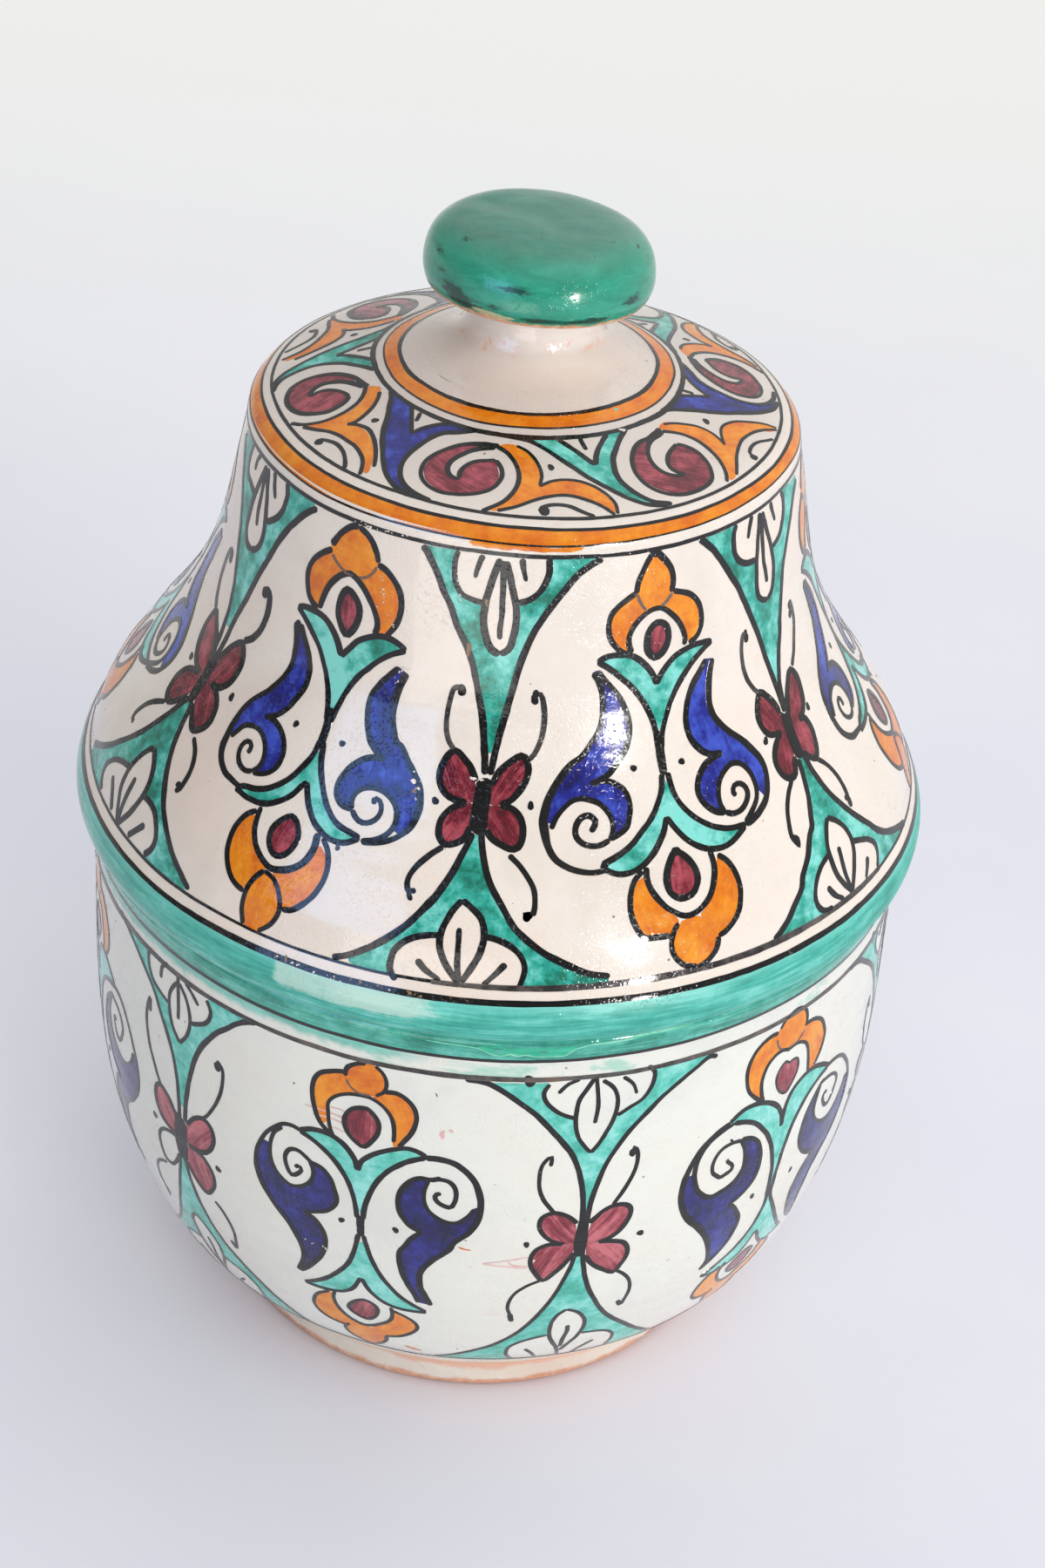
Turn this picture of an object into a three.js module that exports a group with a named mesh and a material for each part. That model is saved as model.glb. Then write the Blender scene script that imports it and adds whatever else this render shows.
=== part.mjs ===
// Lidded earthenware jar with a bell-shaped lid and a mushroom knob.
// Millimetres, +Z up. The axis of turning is Z, and z = 0 is the plane that the foot stands on.
// Each piece is a turned solid: a closed profile of (radius, height) revolved about the axis.

import * as THREE from 'three';

// ---- driving dimensions ------------------------------------------------------------------------

const SEGMENTS = 60;          // facets around the jar and the lid
const KNOB_SEGMENTS = 40;     // facets around the knob's stem and cap

const FOOT_OUTER_R = 76.4;    // foot ring, outside radius at the table
const FOOT_TOP_R = 78.6;      // foot ring, outside radius where it meets the jar
const FOOT_INNER_R = 66.0;    // foot ring, inside radius
const FOOT_H = 12.0;          // underside of the jar's floor above the table
const FOOT_EDGE = 1.1;        // rounding of the foot's edges

const FLOOR_TOP_Z = 22.0;     // inside of the jar's floor
const BELLY_R = 117.5;        // widest outside radius of the jar's wall
const WALL = 7.9;             // wall of the jar
const MOUTH_R = 108.0;        // inside radius of the jar's mouth
const JAR_RIM_Z = 168.3;      // flat rim that carries the lid
const JAR_RIM_R = 118.5;      // outside radius of that rim

const LID_BASE_Z = 168.6;     // flat underside of the lid's roll
const ROLL_R = 122.1;         // outside radius of the roll, the widest part of the jar
const ROLL_Z = 174.5;         // height of the roll's widest line
const COLLAR_R = 106.5;       // outside radius of the locating flange, inside radius of the roll
const COLLAR_TOP_Z = 181.0;   // the flange is luted to the roll up to here
const COLLAR_WALL = 7.6;      // wall of the flange
const COLLAR_DROP = 11.4;     // how far the flange reaches below the lid's underside
const SHOULDER_R = 74.95;     // radius below the lid's rounded shoulder
const SHOULDER_Z = 287.6;
const CROWN_R = 68.8;         // edge of the sloping crown
const CROWN_Z = 295.2;
const CROWN_TOP_Z = 311.0;    // flat seat of the stem

const STEM_BASE_R = 22.0;     // stem where it is luted to the crown
const STEM_R = 17.3;          // stem at its waist
const STEM_TOP_R = 18.4;      // stem under the cap
const CAP_BASE_Z = 326.2;     // underside of the cap
const CAP_R = 30.9;           // widest radius of the cap
const CAP_MID_Z = 332.0;      // height of its widest line
const CAP_TOP_Z = 346.6;      // top of the cap

// ---- helpers -----------------------------------------------------------------------------------

const P = (r, z) => new THREE.Vector2(r, z);

// Smooth line through the given points, without its first point when it continues another line.
function smooth(points, count, keepFirst = true) {
  const line = new THREE.SplineCurve(points).getPoints(count);
  return keepFirst ? line : line.slice(1);
}

// A quarter round from one point to another; the corner is the point that both tangents meet in.
function round(from, corner, to, count = 3) {
  return new THREE.QuadraticBezierCurve(from, corner, to).getPoints(count);
}

function turned(name, profile, segments, look) {
  const geometry = new THREE.LatheGeometry(profile, segments);
  geometry.rotateX(Math.PI / 2);
  const mesh = new THREE.Mesh(geometry, new THREE.MeshStandardMaterial(look));
  mesh.name = name;
  return mesh;
}

// ---- the jar -----------------------------------------------------------------------------------

const bodyOutside = smooth([
  P(FOOT_TOP_R + 0.6, FOOT_H), P(90.9, 23.9), P(100.6, 36.0), P(107.0, 50.4), P(112.4, 67.2), P(115.6, 84.0),
  P(117.2, 102.0), P(BELLY_R, 120.0), P(117.4, 137.0), P(117.3, 153.8), P(117.6, 160.7), P(JAR_RIM_R, 166.2),
], 18);
const bodyRim = [
  ...round(P(JAR_RIM_R, 166.2), P(JAR_RIM_R, JAR_RIM_Z), P(JAR_RIM_R - 1.8, JAR_RIM_Z)).slice(1),
  ...round(P(MOUTH_R + 1.6, JAR_RIM_Z), P(MOUTH_R, JAR_RIM_Z), P(MOUTH_R, JAR_RIM_Z - 1.8)),
];
const bodyInside = smooth([
  P(MOUTH_R, JAR_RIM_Z - 1.8), P(MOUTH_R, 158.0), P(109.2, 146.0), P(BELLY_R - WALL, 120.0), P(109.2, 102.0),
  P(107.5, 84.0), P(104.2, 67.2), P(98.6, 51.0), P(91.5, 38.5), P(82.0, 29.0), P(70.0, 23.6), P(56.0, FLOOR_TOP_Z),
], 14, false);
const jarBody = turned('jar_body', [
  P(0, FOOT_H), ...bodyOutside, ...bodyRim, ...bodyInside, P(0, FLOOR_TOP_Z),
], SEGMENTS, { color: 0xece9e0, roughness: 0.16, metalness: 0.0 });

const footRing = turned('foot_ring', [
  P(FOOT_INNER_R - 1.2, FOOT_H),
  ...round(P(FOOT_INNER_R, FOOT_EDGE), P(FOOT_INNER_R, 0), P(FOOT_INNER_R + FOOT_EDGE, 0), 3),
  ...round(P(FOOT_OUTER_R - FOOT_EDGE, 0), P(FOOT_OUTER_R, 0), P(FOOT_OUTER_R + 0.2, FOOT_EDGE), 3),
  P(FOOT_OUTER_R + 1.2, FOOT_H * 0.55),
  P(FOOT_TOP_R, FOOT_H),
  P(FOOT_INNER_R - 1.2, FOOT_H),
], SEGMENTS, { color: 0xe9ddca, roughness: 0.4, metalness: 0.0 });

// ---- the lid -----------------------------------------------------------------------------------

const lidCrown = smooth([
  P(STEM_BASE_R + 0.3, CROWN_TOP_Z), P(28.0, 308.9), P(34.3, 306.4), P(41.7, 303.6), P(55.0, 299.6), P(CROWN_R, CROWN_Z),
], 6);
const lidShoulder = smooth([
  P(CROWN_R, CROWN_Z), P(72.3, 293.2), P(74.3, 290.8), P(SHOULDER_R, SHOULDER_Z),
], 4, false);
const lidBell = smooth([
  P(SHOULDER_R, SHOULDER_Z), P(77.2, 276.0), P(79.0, 266.4), P(81.5, 254.4), P(85.1, 242.4), P(90.8, 230.4),
  P(98.3, 218.4), P(106.9, 206.4), P(114.4, 194.4), P(118.2, 184.7),
], 13, false);
const lidRoll = smooth([
  P(118.2, 184.7), P(120.2, 181.2), P(121.6, 178.0), P(ROLL_R, ROLL_Z), P(121.6, 171.0), P(120.4, 169.2), P(119.2, LID_BASE_Z),
], 7, false);
const lidInside = smooth([
  P(COLLAR_R, COLLAR_TOP_Z), P(106.0, 190.0), P(103.4, 198.4), P(98.6, 206.9), P(90.6, 218.4), P(83.2, 230.4),
  P(77.6, 242.4), P(74.0, 254.4), P(71.6, 266.4), P(69.6, 276.0), P(66.6, 283.6), P(60.0, 288.6), P(48.0, 292.6),
  P(34.0, 297.4), P(18.0, 301.4),
], 16);
const lidShell = turned('lid_shell', [
  P(0, 303.0), ...lidInside.slice().reverse(), P(COLLAR_R, LID_BASE_Z),
  ...lidRoll.slice().reverse(), ...lidBell.slice().reverse(), ...lidShoulder.slice().reverse(), ...lidCrown.slice().reverse(),
  P(0, CROWN_TOP_Z),
], SEGMENTS, { color: 0xe9dfd3, roughness: 0.16, metalness: 0.0 });

const collarLow = LID_BASE_Z - COLLAR_DROP;
const lidFlange = turned('lid_locating_flange', [
  P(COLLAR_R - COLLAR_WALL, COLLAR_TOP_Z),
  ...round(P(COLLAR_R - COLLAR_WALL, collarLow + 2.4), P(COLLAR_R - COLLAR_WALL, collarLow), P(COLLAR_R - COLLAR_WALL + 2.2, collarLow), 3),
  ...round(P(COLLAR_R - 3.4, collarLow), P(COLLAR_R - 1.4, collarLow), P(COLLAR_R - 1.2, collarLow + 2.4), 3),
  P(COLLAR_R, LID_BASE_Z - 1.0),
  P(COLLAR_R, LID_BASE_Z),
  P(COLLAR_R, COLLAR_TOP_Z),
  P(COLLAR_R - COLLAR_WALL, COLLAR_TOP_Z),
], SEGMENTS, { color: 0xe6dccf, roughness: 0.3, metalness: 0.0 });

// ---- the knob ----------------------------------------------------------------------------------

const knobStem = turned('knob_stem', [
  P(0, CROWN_TOP_Z), P(STEM_BASE_R, CROWN_TOP_Z),
  ...smooth([
    P(STEM_BASE_R, CROWN_TOP_Z + 0.6), P(19.6, 312.9), P(17.9, 315.6), P(STEM_R, 318.8), P(17.5, 322.4), P(STEM_TOP_R, CAP_BASE_Z),
  ], 7),
  P(0, CAP_BASE_Z),
], KNOB_SEGMENTS, { color: 0xebe2d6, roughness: 0.16, metalness: 0.0 });

const knobCap = turned('knob_cap', [
  P(0, CAP_BASE_Z), P(25.6, CAP_BASE_Z),
  ...smooth([
    P(26.6, CAP_BASE_Z + 0.2), P(29.4, 327.6), P(30.5, 329.6), P(CAP_R, CAP_MID_Z), P(30.5, 336.2), P(28.9, 340.2), P(25.4, 343.4),
    P(20.2, 345.6), P(13.0, 346.5), P(7.0, CAP_TOP_Z),
  ], 12),
  P(0, CAP_TOP_Z - 0.1),
], KNOB_SEGMENTS, { color: 0x35a584, roughness: 0.14, metalness: 0.0 });

// ---- assembly ----------------------------------------------------------------------------------

const jar = new THREE.Group();
jar.add(jarBody, footRing);

const lid = new THREE.Group();
lid.add(lidShell, lidFlange, knobStem, knobCap);

const liddedJar = new THREE.Group();
liddedJar.add(jar, lid);

export default liddedJar;
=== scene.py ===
# Looks of a lidded earthenware jar: turned bodies with slightly uneven walls, and underglaze brush painting laid on them
# as thin skins, one piece for each colour. Lengths are in millimetres until a mesh is made, then in metres.
import math

import bpy
import numpy as np
from mathutils import Matrix, Vector
from mathutils.geometry import delaunay_2d_cdt


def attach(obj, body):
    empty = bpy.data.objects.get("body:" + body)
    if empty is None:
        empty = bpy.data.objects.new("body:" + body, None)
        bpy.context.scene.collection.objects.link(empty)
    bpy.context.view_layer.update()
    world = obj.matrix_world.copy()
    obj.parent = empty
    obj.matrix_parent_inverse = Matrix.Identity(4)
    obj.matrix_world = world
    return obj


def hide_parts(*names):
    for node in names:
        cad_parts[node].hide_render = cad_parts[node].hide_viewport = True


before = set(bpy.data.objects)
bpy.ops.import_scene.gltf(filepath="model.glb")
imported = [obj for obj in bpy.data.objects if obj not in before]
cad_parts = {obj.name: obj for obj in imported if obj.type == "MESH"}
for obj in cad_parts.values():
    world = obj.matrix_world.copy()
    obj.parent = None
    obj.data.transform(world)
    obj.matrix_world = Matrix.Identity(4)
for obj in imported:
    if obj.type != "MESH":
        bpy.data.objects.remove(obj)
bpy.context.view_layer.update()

MM = 0.001
scene = bpy.context.scene

# ---- painted motifs ------------------------------------------------------------------------------------------------
# Drawn curves. "=" starts a motif; every point is (degrees from the motif's centre line, mm along the profile).
# F colour | curve | curve   a filled shape whose outline is those curves, with a corner where two of them meet
# L widths | curve           a brush line; a>b>c is its width along the way, c closes it, g is thin ink, n is brown ink
# D radius | point           a dot
MOTIF_TEXT = """
= LA
F ochre | -6.56,68.4 -5.36,65.5 -4.11,63.2 -2.44,61.4 -0.92,60.8 | -0.92,60.8 1.17,62 2.69,63.8 3.81,66 4.36,68.8 | 4.36,69.2 3.39,71.8 2,73.4 0.06,74.1 -1.89,74.1 -4.11,72.8 -6.06,70.8 -6.56,68.4
F ochre | -6.19,69.6 -8.56,71.8 -10.36,74.5 -11.25,78 -11,81.5 -10,84.6 -8.42,86.2 -7.31,86.6 | -7.31,86.6 -6.83,84 -6.28,81 -4.94,77.8 -3,74.8 -1.75,73.8 | -1.75,73.8 -4.11,72.8 -6.19,69.6
F ochre | 4.36,69 6.44,69.8 8.39,72 9.83,75.2 10.25,79 9.78,82.5 8.72,85.5 7.97,87.1 | 7.97,87.1 6.72,87.1 6.11,86 | 6.11,86 5.75,83.5 5.06,81 3.94,79 2.28,76.5 0.47,74.6 | 0.47,74.6 2,73.4 3.39,71.8 4.36,69
F burg | -1.33,78.2 -2.44,80.5 -2.78,84 -2.03,87.5 -0.22,90.2 1.17,88 1.94,84 1.44,80.8 0.06,78.8 -1.33,78.2
L 1.9c | -1.33,78.2 -2.44,80.5 -2.78,84 -2.03,87.5 -0.22,90.2 1.17,88 1.94,84 1.44,80.8 0.06,78.8 -1.33,78.2
F teal | -12.11,89.1 -10.5,88.1 -7.72,87.8 -5.5,88.3 -3.56,90.1 -1.89,92.6 -0.5,96.2 | -0.5,96.2 1.17,93.1 2.56,90.6 4.22,89 6.44,87.6 8.67,87.3 10.89,88.2 12.06,89.3 | 12.06,89.3 9.78,91.1 7.56,93.6 5.61,96.6 3.94,99.6 2.61,103 1.72,106.5 1.11,110 0.33,112 | 0.06,112 -0.72,110.5 -1.39,107 -2.44,103.5 -3.83,100 -5.78,96.1 -7.72,93.5 -9.94,91 -12.11,89.1
F teal | 0.18,122.6 1.24,124.5 2.21,128.1 3.53,132 5,135.3 7.06,138.1 9.41,139.2 10.88,139.8 | 10.88,140.1 8.82,142.3 6.47,142.4 5,141.3 3.53,139.7 2.06,136.9 0.88,133.6 0.15,130.8 | 0.15,130.8 -0.44,132 -1.47,135.3 -3.24,138.4 -5.29,140.6 -8.24,141.4 -11.18,140.9 | -11.18,140.8 -10,139.3 -7.94,138.4 -5.88,136.6 -4.26,134.3 -2.65,130.9 -1.41,127 -0.59,123.9 0.18,122.6
F burg | -0.24,140.4 -1.62,142.6 -2.44,145.6 -2.15,148.7 -1.03,151.1 0.06,151.4 1.32,149.5 1.97,145.9 1.62,143.1 0.59,140.9 -0.24,140.4
L 1.7c | -0.24,140.4 -1.62,142.6 -2.44,145.6 -2.15,148.7 -1.03,151.1 0.06,151.4 1.32,149.5 1.97,145.9 1.62,143.1 0.59,140.9 -0.24,140.4
F ochre | -7.06,145.3 -7.88,147.6 -8.18,150.9 -7.88,154.8 -7.06,158.7 -5.59,161.7 -3.68,163.7 | -3.68,163.7 -2.65,160.3 -1.76,157 -1.18,156.2 | -1.18,155.9 -2.35,154.2 -3.68,152 -4.85,148.9 -5.38,145.9 -5.88,144.8 -7.06,145.3
F ochre | 5.74,145.3 6.91,147.6 7.35,150.9 7.21,154.8 6.32,158.9 4.85,162.3 3.09,163.7 | 3.09,163.7 2.5,162 1.47,158.1 0.29,155.9 | 0.29,155.6 2.06,153.9 3.53,151.7 4.65,148.7 4.94,145.9 5.74,145.3
F ochre | -0.88,156.7 -2.21,159.8 -2.88,164.2 -2.65,169.2 -1.76,172.3 0,172.3 1.76,169.8 2.59,164.8 2.06,160.6 0.74,157.6 -0.88,156.7
F blue | -11.75,93.5 -11,97.5 -10.56,101 -10.61,105 -11.19,107.8 -12.31,111 -13.83,114.5 -14.71,116 -16.18,118.8 -17.21,122.1 -17.79,126.4 -17.82,129.3 | -17.82,129.3 -16.53,129.3 | -16.53,129.3 -15.59,126.2 -14.12,124.7 -12.35,124.3 -10.74,125.3 -9.41,127.8 -8.88,131.2 -9.35,133.9 | -9.35,133.9 -8.24,134.3 -6.76,132.7 -5.82,129.8 -5.82,126.6 -6.71,123.4 -8.24,121.2 -10.15,120.1 -11.91,120.3 | -11.91,120.3 -10.15,118.8 -8.53,116.2 -7.35,112.6 -6.89,110.5 -6.22,107 -6.33,103.5 -7.31,100 -8.83,96.8 -10.72,93.5 | -10.72,93.5 -11.75,93.5
F blue | 11.17,94.2 9.78,97 8.25,99.8 7.14,103 6.86,107 7.28,110.5 7.97,113.2 8.68,115.3 10.29,117.6 11.91,118.6 | 11.91,118.6 9.41,119.2 7.5,121.2 6.03,124.2 5.29,128.1 5.59,131.2 6.76,133.1 8.68,133.4 | 8.68,133.4 8.24,131.2 8.68,128.7 10,127 11.76,126.6 13.53,127.3 15,129.2 15.74,132 15.71,135.3 | 15.71,135.3 16.76,136.4 17.94,134.8 | 17.94,134.8 18.82,130.9 18.88,127 18.24,123.1 17.06,120.3 15.59,117.3 14.12,114.2 13.25,113.5 12.14,110 11.58,106.5 11.58,102.5 12.14,98.5 12.97,95.5 | 12.97,95.5 11.17,94.2
L 1.9 | -6.56,68.4 -5.36,65.5 -4.11,63.2 -2.44,61.4 -0.92,60.8
L 1.7 | -0.92,60.8 1.17,62 2.69,63.8 3.81,66 4.44,68.4
L .9n | -6.06,70.8 -4.11,72.8 -1.89,74.1 0.06,74.1 2,73.4 3.39,71.8 4.22,69.6
L 1.8 | -6.28,69.5 -8.56,71.8 -10.36,74.5 -11.25,78 -11,81.5 -10,84.6 -8.42,86.2 -7.44,86.6
L 1.7 | 4.36,68.8 6.44,69.8 8.39,72 9.83,75.2 10.25,79 9.78,82.5 8.72,85.5 7.83,87.3
L 1.8 | -7,86.5 -6.75,84 -6.19,81 -4.94,77.8 -3,74.9 -1.33,73.8 0.33,74.5 2.28,76.5 3.94,79.1 5.33,82.1 5.94,85 5.67,87.6
L 1.9 | -12.22,89.1 -10.5,88.1 -7.72,87.8 -5.5,88.3 -3.56,90.1 -1.89,92.6 -0.5,96.4
L 1.7 | -0.5,96.4 1.17,93.1 2.56,90.6 4.22,89 6.44,87.6 8.67,87.3 10.89,88.2 12.17,89.3
L 1.6 | -0.22,114 -0.72,110.5 -1.39,107 -2.44,103.5 -3.83,100 -5.78,96.1 -7.72,93.5 -9.94,91 -12.22,89.1
L 1.6 | 12.17,89.4 9.78,91.1 7.56,93.6 5.61,96.6 3.94,99.6 2.61,103 1.72,106.5 1.11,110 0.56,114
L 2.3 | 0.24,110.3 0.18,115.3 0.18,120.3
L 1.7 | -0.15,119.2 -0.59,123.9 -1.41,127 -2.65,130.9 -4.26,134.3 -5.88,136.6 -7.94,138.4 -10,139.3 -11.29,140.8
L 1.7 | 0.53,119.2 1.24,124.5 2.21,128.1 3.53,132 5,135.3 7.06,138.1 9.41,139.2 11.06,139.9
L 1.7 | 0.15,130.7 0.88,133.6 2.06,136.9 3.53,139.7 5,141.3 6.47,142.4 8.82,142.3 11.06,140
L 1.7 | 0.15,130.7 -0.44,132 -1.47,135.3 -3.24,138.4 -5.29,140.6 -8.24,141.4 -11.29,140.9
L 2.2>1.6>1.6>2.4>1.5 | -11.83,93.1 -11,97.5 -10.56,101 -10.61,105 -11.19,107.8 -12.31,111 -13.83,114.5 -14.71,116 -16.18,118.8 -17.21,122.1 -17.79,126.4 -17.79,130.3 -17.5,133.7 -16.47,136.7 -14.71,138.9 -12.35,139.7 -10.29,140.1
L 2.0>1.5 | -10.72,93.1 -9.67,95.2 -8.28,97.8 -6.94,101 -6.22,105 -6.33,108 -6.89,110.5 -8.24,115.3 -9.85,118.4 -11.47,120.1 -12.12,120.4
L 1.8 | -12.03,93.5 -10.72,93.1
L 1.6 | -12.12,120.3 -10.15,120.1 -8.24,121.2 -6.71,123.4 -5.82,126.6 -5.82,129.8 -6.76,132.7 -8.24,134.3 -9.65,134.9
L 1.5 | -16.91,130.3 -16.18,128.1 -15.44,125.9 -14.12,124.7 -12.35,124.3 -10.74,125.3 -9.41,127.8 -8.88,130.9 -9.26,133.4 -10,134.8
L 1.5 | -9.85,134.8 -11.18,135.6 -12.65,134.9 -13.68,133.1 -13.97,130.9 -13.47,128.9 -12.59,128.5 -12,129.7 -12.29,131.3
L 1.7 | 11.31,94.2 9.78,97 8.25,99.8 7.14,103 6.86,107 7.28,110.5 7.97,113.2 8.68,115.3 10.29,117.6 11.91,118.6
L 2.0>1.7>2.0>1.4 | 12.89,95.1 12.14,98.5 11.58,102.5 11.58,106.5 12.14,110 13.25,113.5 14.12,114.2 15.59,117.3 17.06,120.3 18.24,123.1 18.88,127 18.82,130.9 17.94,134.8 16.18,137.8 14.12,139.8 11.47,140.9
L 1.6 | 11.91,118.6 9.41,119.2 7.5,121.2 6.03,124.2 5.29,128.1 5.59,131.2 6.76,133.1 8.68,133.5
L 1.5 | 8.59,133.4 8.24,131.2 8.68,128.7 10,127 11.76,126.6 13.53,127.3 15,129.2 15.74,132 15.65,134.8 14.85,137.3 13.24,139.5 11.32,140.6
L 1.5 | 8.68,133.5 9.56,135.1 10.74,135.9 12.06,135.2 13,133.4 13.18,131.2 12.59,129.3 11.62,129.1 11.91,130.6
L 1.7>1.7>2.2 | -5.59,141.7 -5.44,145.3 -4.85,148.7 -3.68,151.7 -2.06,153.9 -0.44,155.1 1.18,154.5 2.94,152.8 4.26,149.8 4.85,146.4 4.71,142
L 1.6 | -6.03,143.1 -7.35,145.3 -8.18,148.9 -8.24,152.6 -7.65,157 -6.32,160.9 -4.71,163.1 -3.24,163.9
L 1.6 | 5.65,142.8 6.91,145.3 7.65,149.2 7.65,153.1 6.91,157.6 5.59,161.2 4.12,163.7 2.94,164.1
L 1.5 | -1.18,156.4 -2.35,159.8 -2.94,164.2 -2.79,168.7 -2.12,172.4
L 1.4 | -1.18,156.4 0.59,157.4 1.91,160.3 2.65,164.2 2.21,168.1 1.18,170.9 0.29,172.4
D .85 | -5.59,118.1
D .8 | 3.88,118.1
D .7g | 8.24,143.9
= LB
F ochre | -0.64,62 -1.89,64.5 -3.14,68 -3.56,71 -2.86,74 -1.89,76 0.06,75.8 1.44,75.2 2.97,73 3.39,69.8 2.83,66 1.58,63 0.33,62 -0.64,62
F ochre | -3.97,70.8 -5.78,72 -8,74 -9.33,76.5 -9.61,79.5 -9.11,82.5 -7.86,85 -6.61,86.5 -5.36,86.8 | -5.36,86.5 -5.92,84.5 -5.78,82.5 -5.08,80.5 -3.69,78.2 -2.03,76.2 | -2.03,76.2 -3.28,74 -3.97,70.8
F ochre | 3.53,71.8 5.33,72.5 7.56,74.2 9.36,76.8 10.19,80 10.11,83.5 8.94,86.5 7.28,87.5 | 7.28,87.2 6.39,85.5 | 6.39,85.5 5.61,82.5 4.5,80 2.83,77.8 1.44,76.2 | 1.44,76.2 2.83,74.5 3.53,71.8
F burg | 0.19,79.8 -1.06,81 -1.83,84 -1.61,87.2 -0.22,89.2 1.17,88.5 2.42,86 2.61,83 1.86,80.5 0.19,79.8
L 2.0c | 0.19,79.8 -1.06,81 -1.83,84 -1.61,87.2 -0.22,89.2 1.17,88.5 2.42,86 2.61,83 1.86,80.5 0.19,79.8
F teal | -11.47,88.2 -9.94,87 -7.44,86.9 -5.22,87.5 -3.28,89.2 -1.61,91.8 -0.64,94 -0.08,96.5 | -0.08,96.5 0.89,94.2 2.28,92 4.22,90 6.44,89 8.67,88.6 10.89,88.8 12.42,89.2 | 12.42,89.2 10.06,90.8 7.83,93 5.61,96 3.67,99.5 2.28,103 1.17,106.5 0.19,108.5 | -0.5,108.5 -1.19,106.5 -2.03,103 -3.28,99.5 -4.94,96.2 -7.17,93 -9.39,90.2 -11.47,88.2
F teal | -0.65,121.4 0.29,125.3 1.62,129.2 3.09,132.6 5,135.6 7.06,137.8 9.41,139.1 11.76,139.6 | 11.76,139.8 9.12,142.3 7.06,143.1 5,142.6 3.24,141.2 1.47,138.7 0,135.3 -1.18,131.7 | -1.18,131.7 -2.06,135.3 -3.24,138.1 -4.71,140.9 -6.18,142.8 -8.24,144.2 -10,144.2 -12.21,142.3 | -12.21,141.7 -9.41,139.2 -7.35,137 -5.59,134.2 -3.68,131.2 -2.21,127.6 -1.18,124.2 -0.65,121.4
F burg | -0.88,140.9 -2.35,144.2 -3.09,148.1 -2.65,151.4 -1.18,153.1 0.59,152.3 1.71,149.2 1.62,145.9 0.59,142.8 -0.88,140.9
L 2.0c | -0.88,140.9 -2.35,144.2 -3.09,148.1 -2.65,151.4 -1.18,153.1 0.59,152.3 1.71,149.2 1.62,145.9 0.59,142.8 -0.88,140.9
L 2.4 | -1.53,140.9 0,140.8
F ochre | -6.18,145.9 -7.35,147 -8.24,150.3 -8.47,154.2 -7.88,158.1 -6.47,160.9 -3.53,161.4 -2.35,158.7 | -2.35,158.7 -3.24,155.9 -4.71,152.8 -5.59,149.2 -6.18,145.9
F ochre | 5.59,145.3 6.91,147.6 7.5,151.4 7.35,155.9 6.47,159.8 5,162.8 3.09,164.5 | 3.09,164.5 2.06,161.4 1.18,158.7 | 1.18,158.4 2.94,155.9 4.26,152.6 5,148.7 5.59,145.3
F ochre | -1.76,159.2 -2.79,162 -3.38,165.3 -2.65,169.2 -0.59,171.6 1.18,170.3 2.79,167 3.09,164.2 1.91,160.9 0.59,158.9 -1.76,159.2
F blue | -12.31,91 -11.47,93 -10.72,96.5 -10.5,100.5 -10.72,104 -11.33,106.5 -12.58,109.5 -14.39,113 -16.47,115.3 -18.24,118.7 -19.56,122 -20.44,125.3 -20.82,129.2 | -20.82,129.2 -19.26,129.8 | -19.26,129.8 -18.68,128.1 -17.5,125.9 -16.18,124.3 -14.71,123.9 -12.94,124.7 -11.47,126.2 -10.44,128.7 -10,131.4 -10.15,133.9 | -10.15,133.9 -9.41,134.2 -7.94,132.6 -7.21,129.8 -6.91,126.4 -7.5,123.1 -8.97,120.9 -10.88,119.8 -13.09,120.3 | -13.09,120.3 -11.47,119.5 -9.85,118.1 -8.24,115.3 -7.35,112.6 -6.61,112 -5.92,109 -5.78,105.5 -6.33,102 -7.31,98.5 -8.56,96 -10.08,93.5 -11.56,90.6 | -11.56,90.6 -12.31,91
F blue | 10.89,93.8 9.22,96.5 7.42,99.5 6.17,103 5.47,106.5 5.33,110 5.75,113.5 6.47,115.3 7.79,117.6 9.71,119.2 11.32,119.2 | 11.32,119.3 9.41,119.8 7.35,121.2 5.88,123.7 5.21,126.4 5.35,129.2 6.18,131.7 7.65,133.8 8.97,134.2 | 8.97,134.2 8.53,132 8.68,129.2 9.41,126.4 10.88,124.2 12.65,123.1 14.12,123.7 15.29,125.6 16.03,128.7 16.12,131.7 | 16.12,131.7 17.5,134.8 | 17.5,134.8 18.53,132 19.06,128.1 18.53,124.2 17.35,121.2 15.88,118.1 14.12,115.3 12.28,112 11.17,109 10.75,105.5 11.03,102 11.44,98.5 12.56,94.2 | 12.56,94.2 10.89,93.8
L 1.7 | -4.11,70.8 -3.83,68.5 -2.86,65.5 -1.61,62.5 -0.64,60.8
L 1.8 | 0.19,60.5 2,63.2 3.25,65.5 3.81,68.2 3.67,70.5 3.25,72.2
L 2.6 | -1,61.5 -0.08,60.6 0.89,61.5
L .9n | -3.97,71 -3.28,73.5 -2.17,75.8
L .9n | 3.53,72.5 2.28,74.5 1.17,75.5
L 1.6 | -4.11,70.6 -5.78,71.9 -8,74 -9.33,76.5 -9.61,79.5 -9.11,82.5 -7.86,85 -6.61,86.5 -5.5,86.9
L 1.6 | -4.94,86.8 -5.5,85 -5.58,82.5 -4.67,79.8 -3,77.5 -1.33,76.2 0.06,75.8 1.44,76.2 3.11,78 4.78,80.5 5.89,83.5 6.31,86 6.11,87.8
L 1.6 | 3.81,72.1 5.33,72.8 7.56,74.2 9.36,76.8 10.19,80 10.11,83.5 8.94,86.5 7.14,87.6
L 1.8 | -11.58,88.2 -9.94,87 -7.44,86.9 -5.22,87.5 -3.28,89.2 -1.61,91.8 -0.64,94 -0.08,96.6
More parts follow.
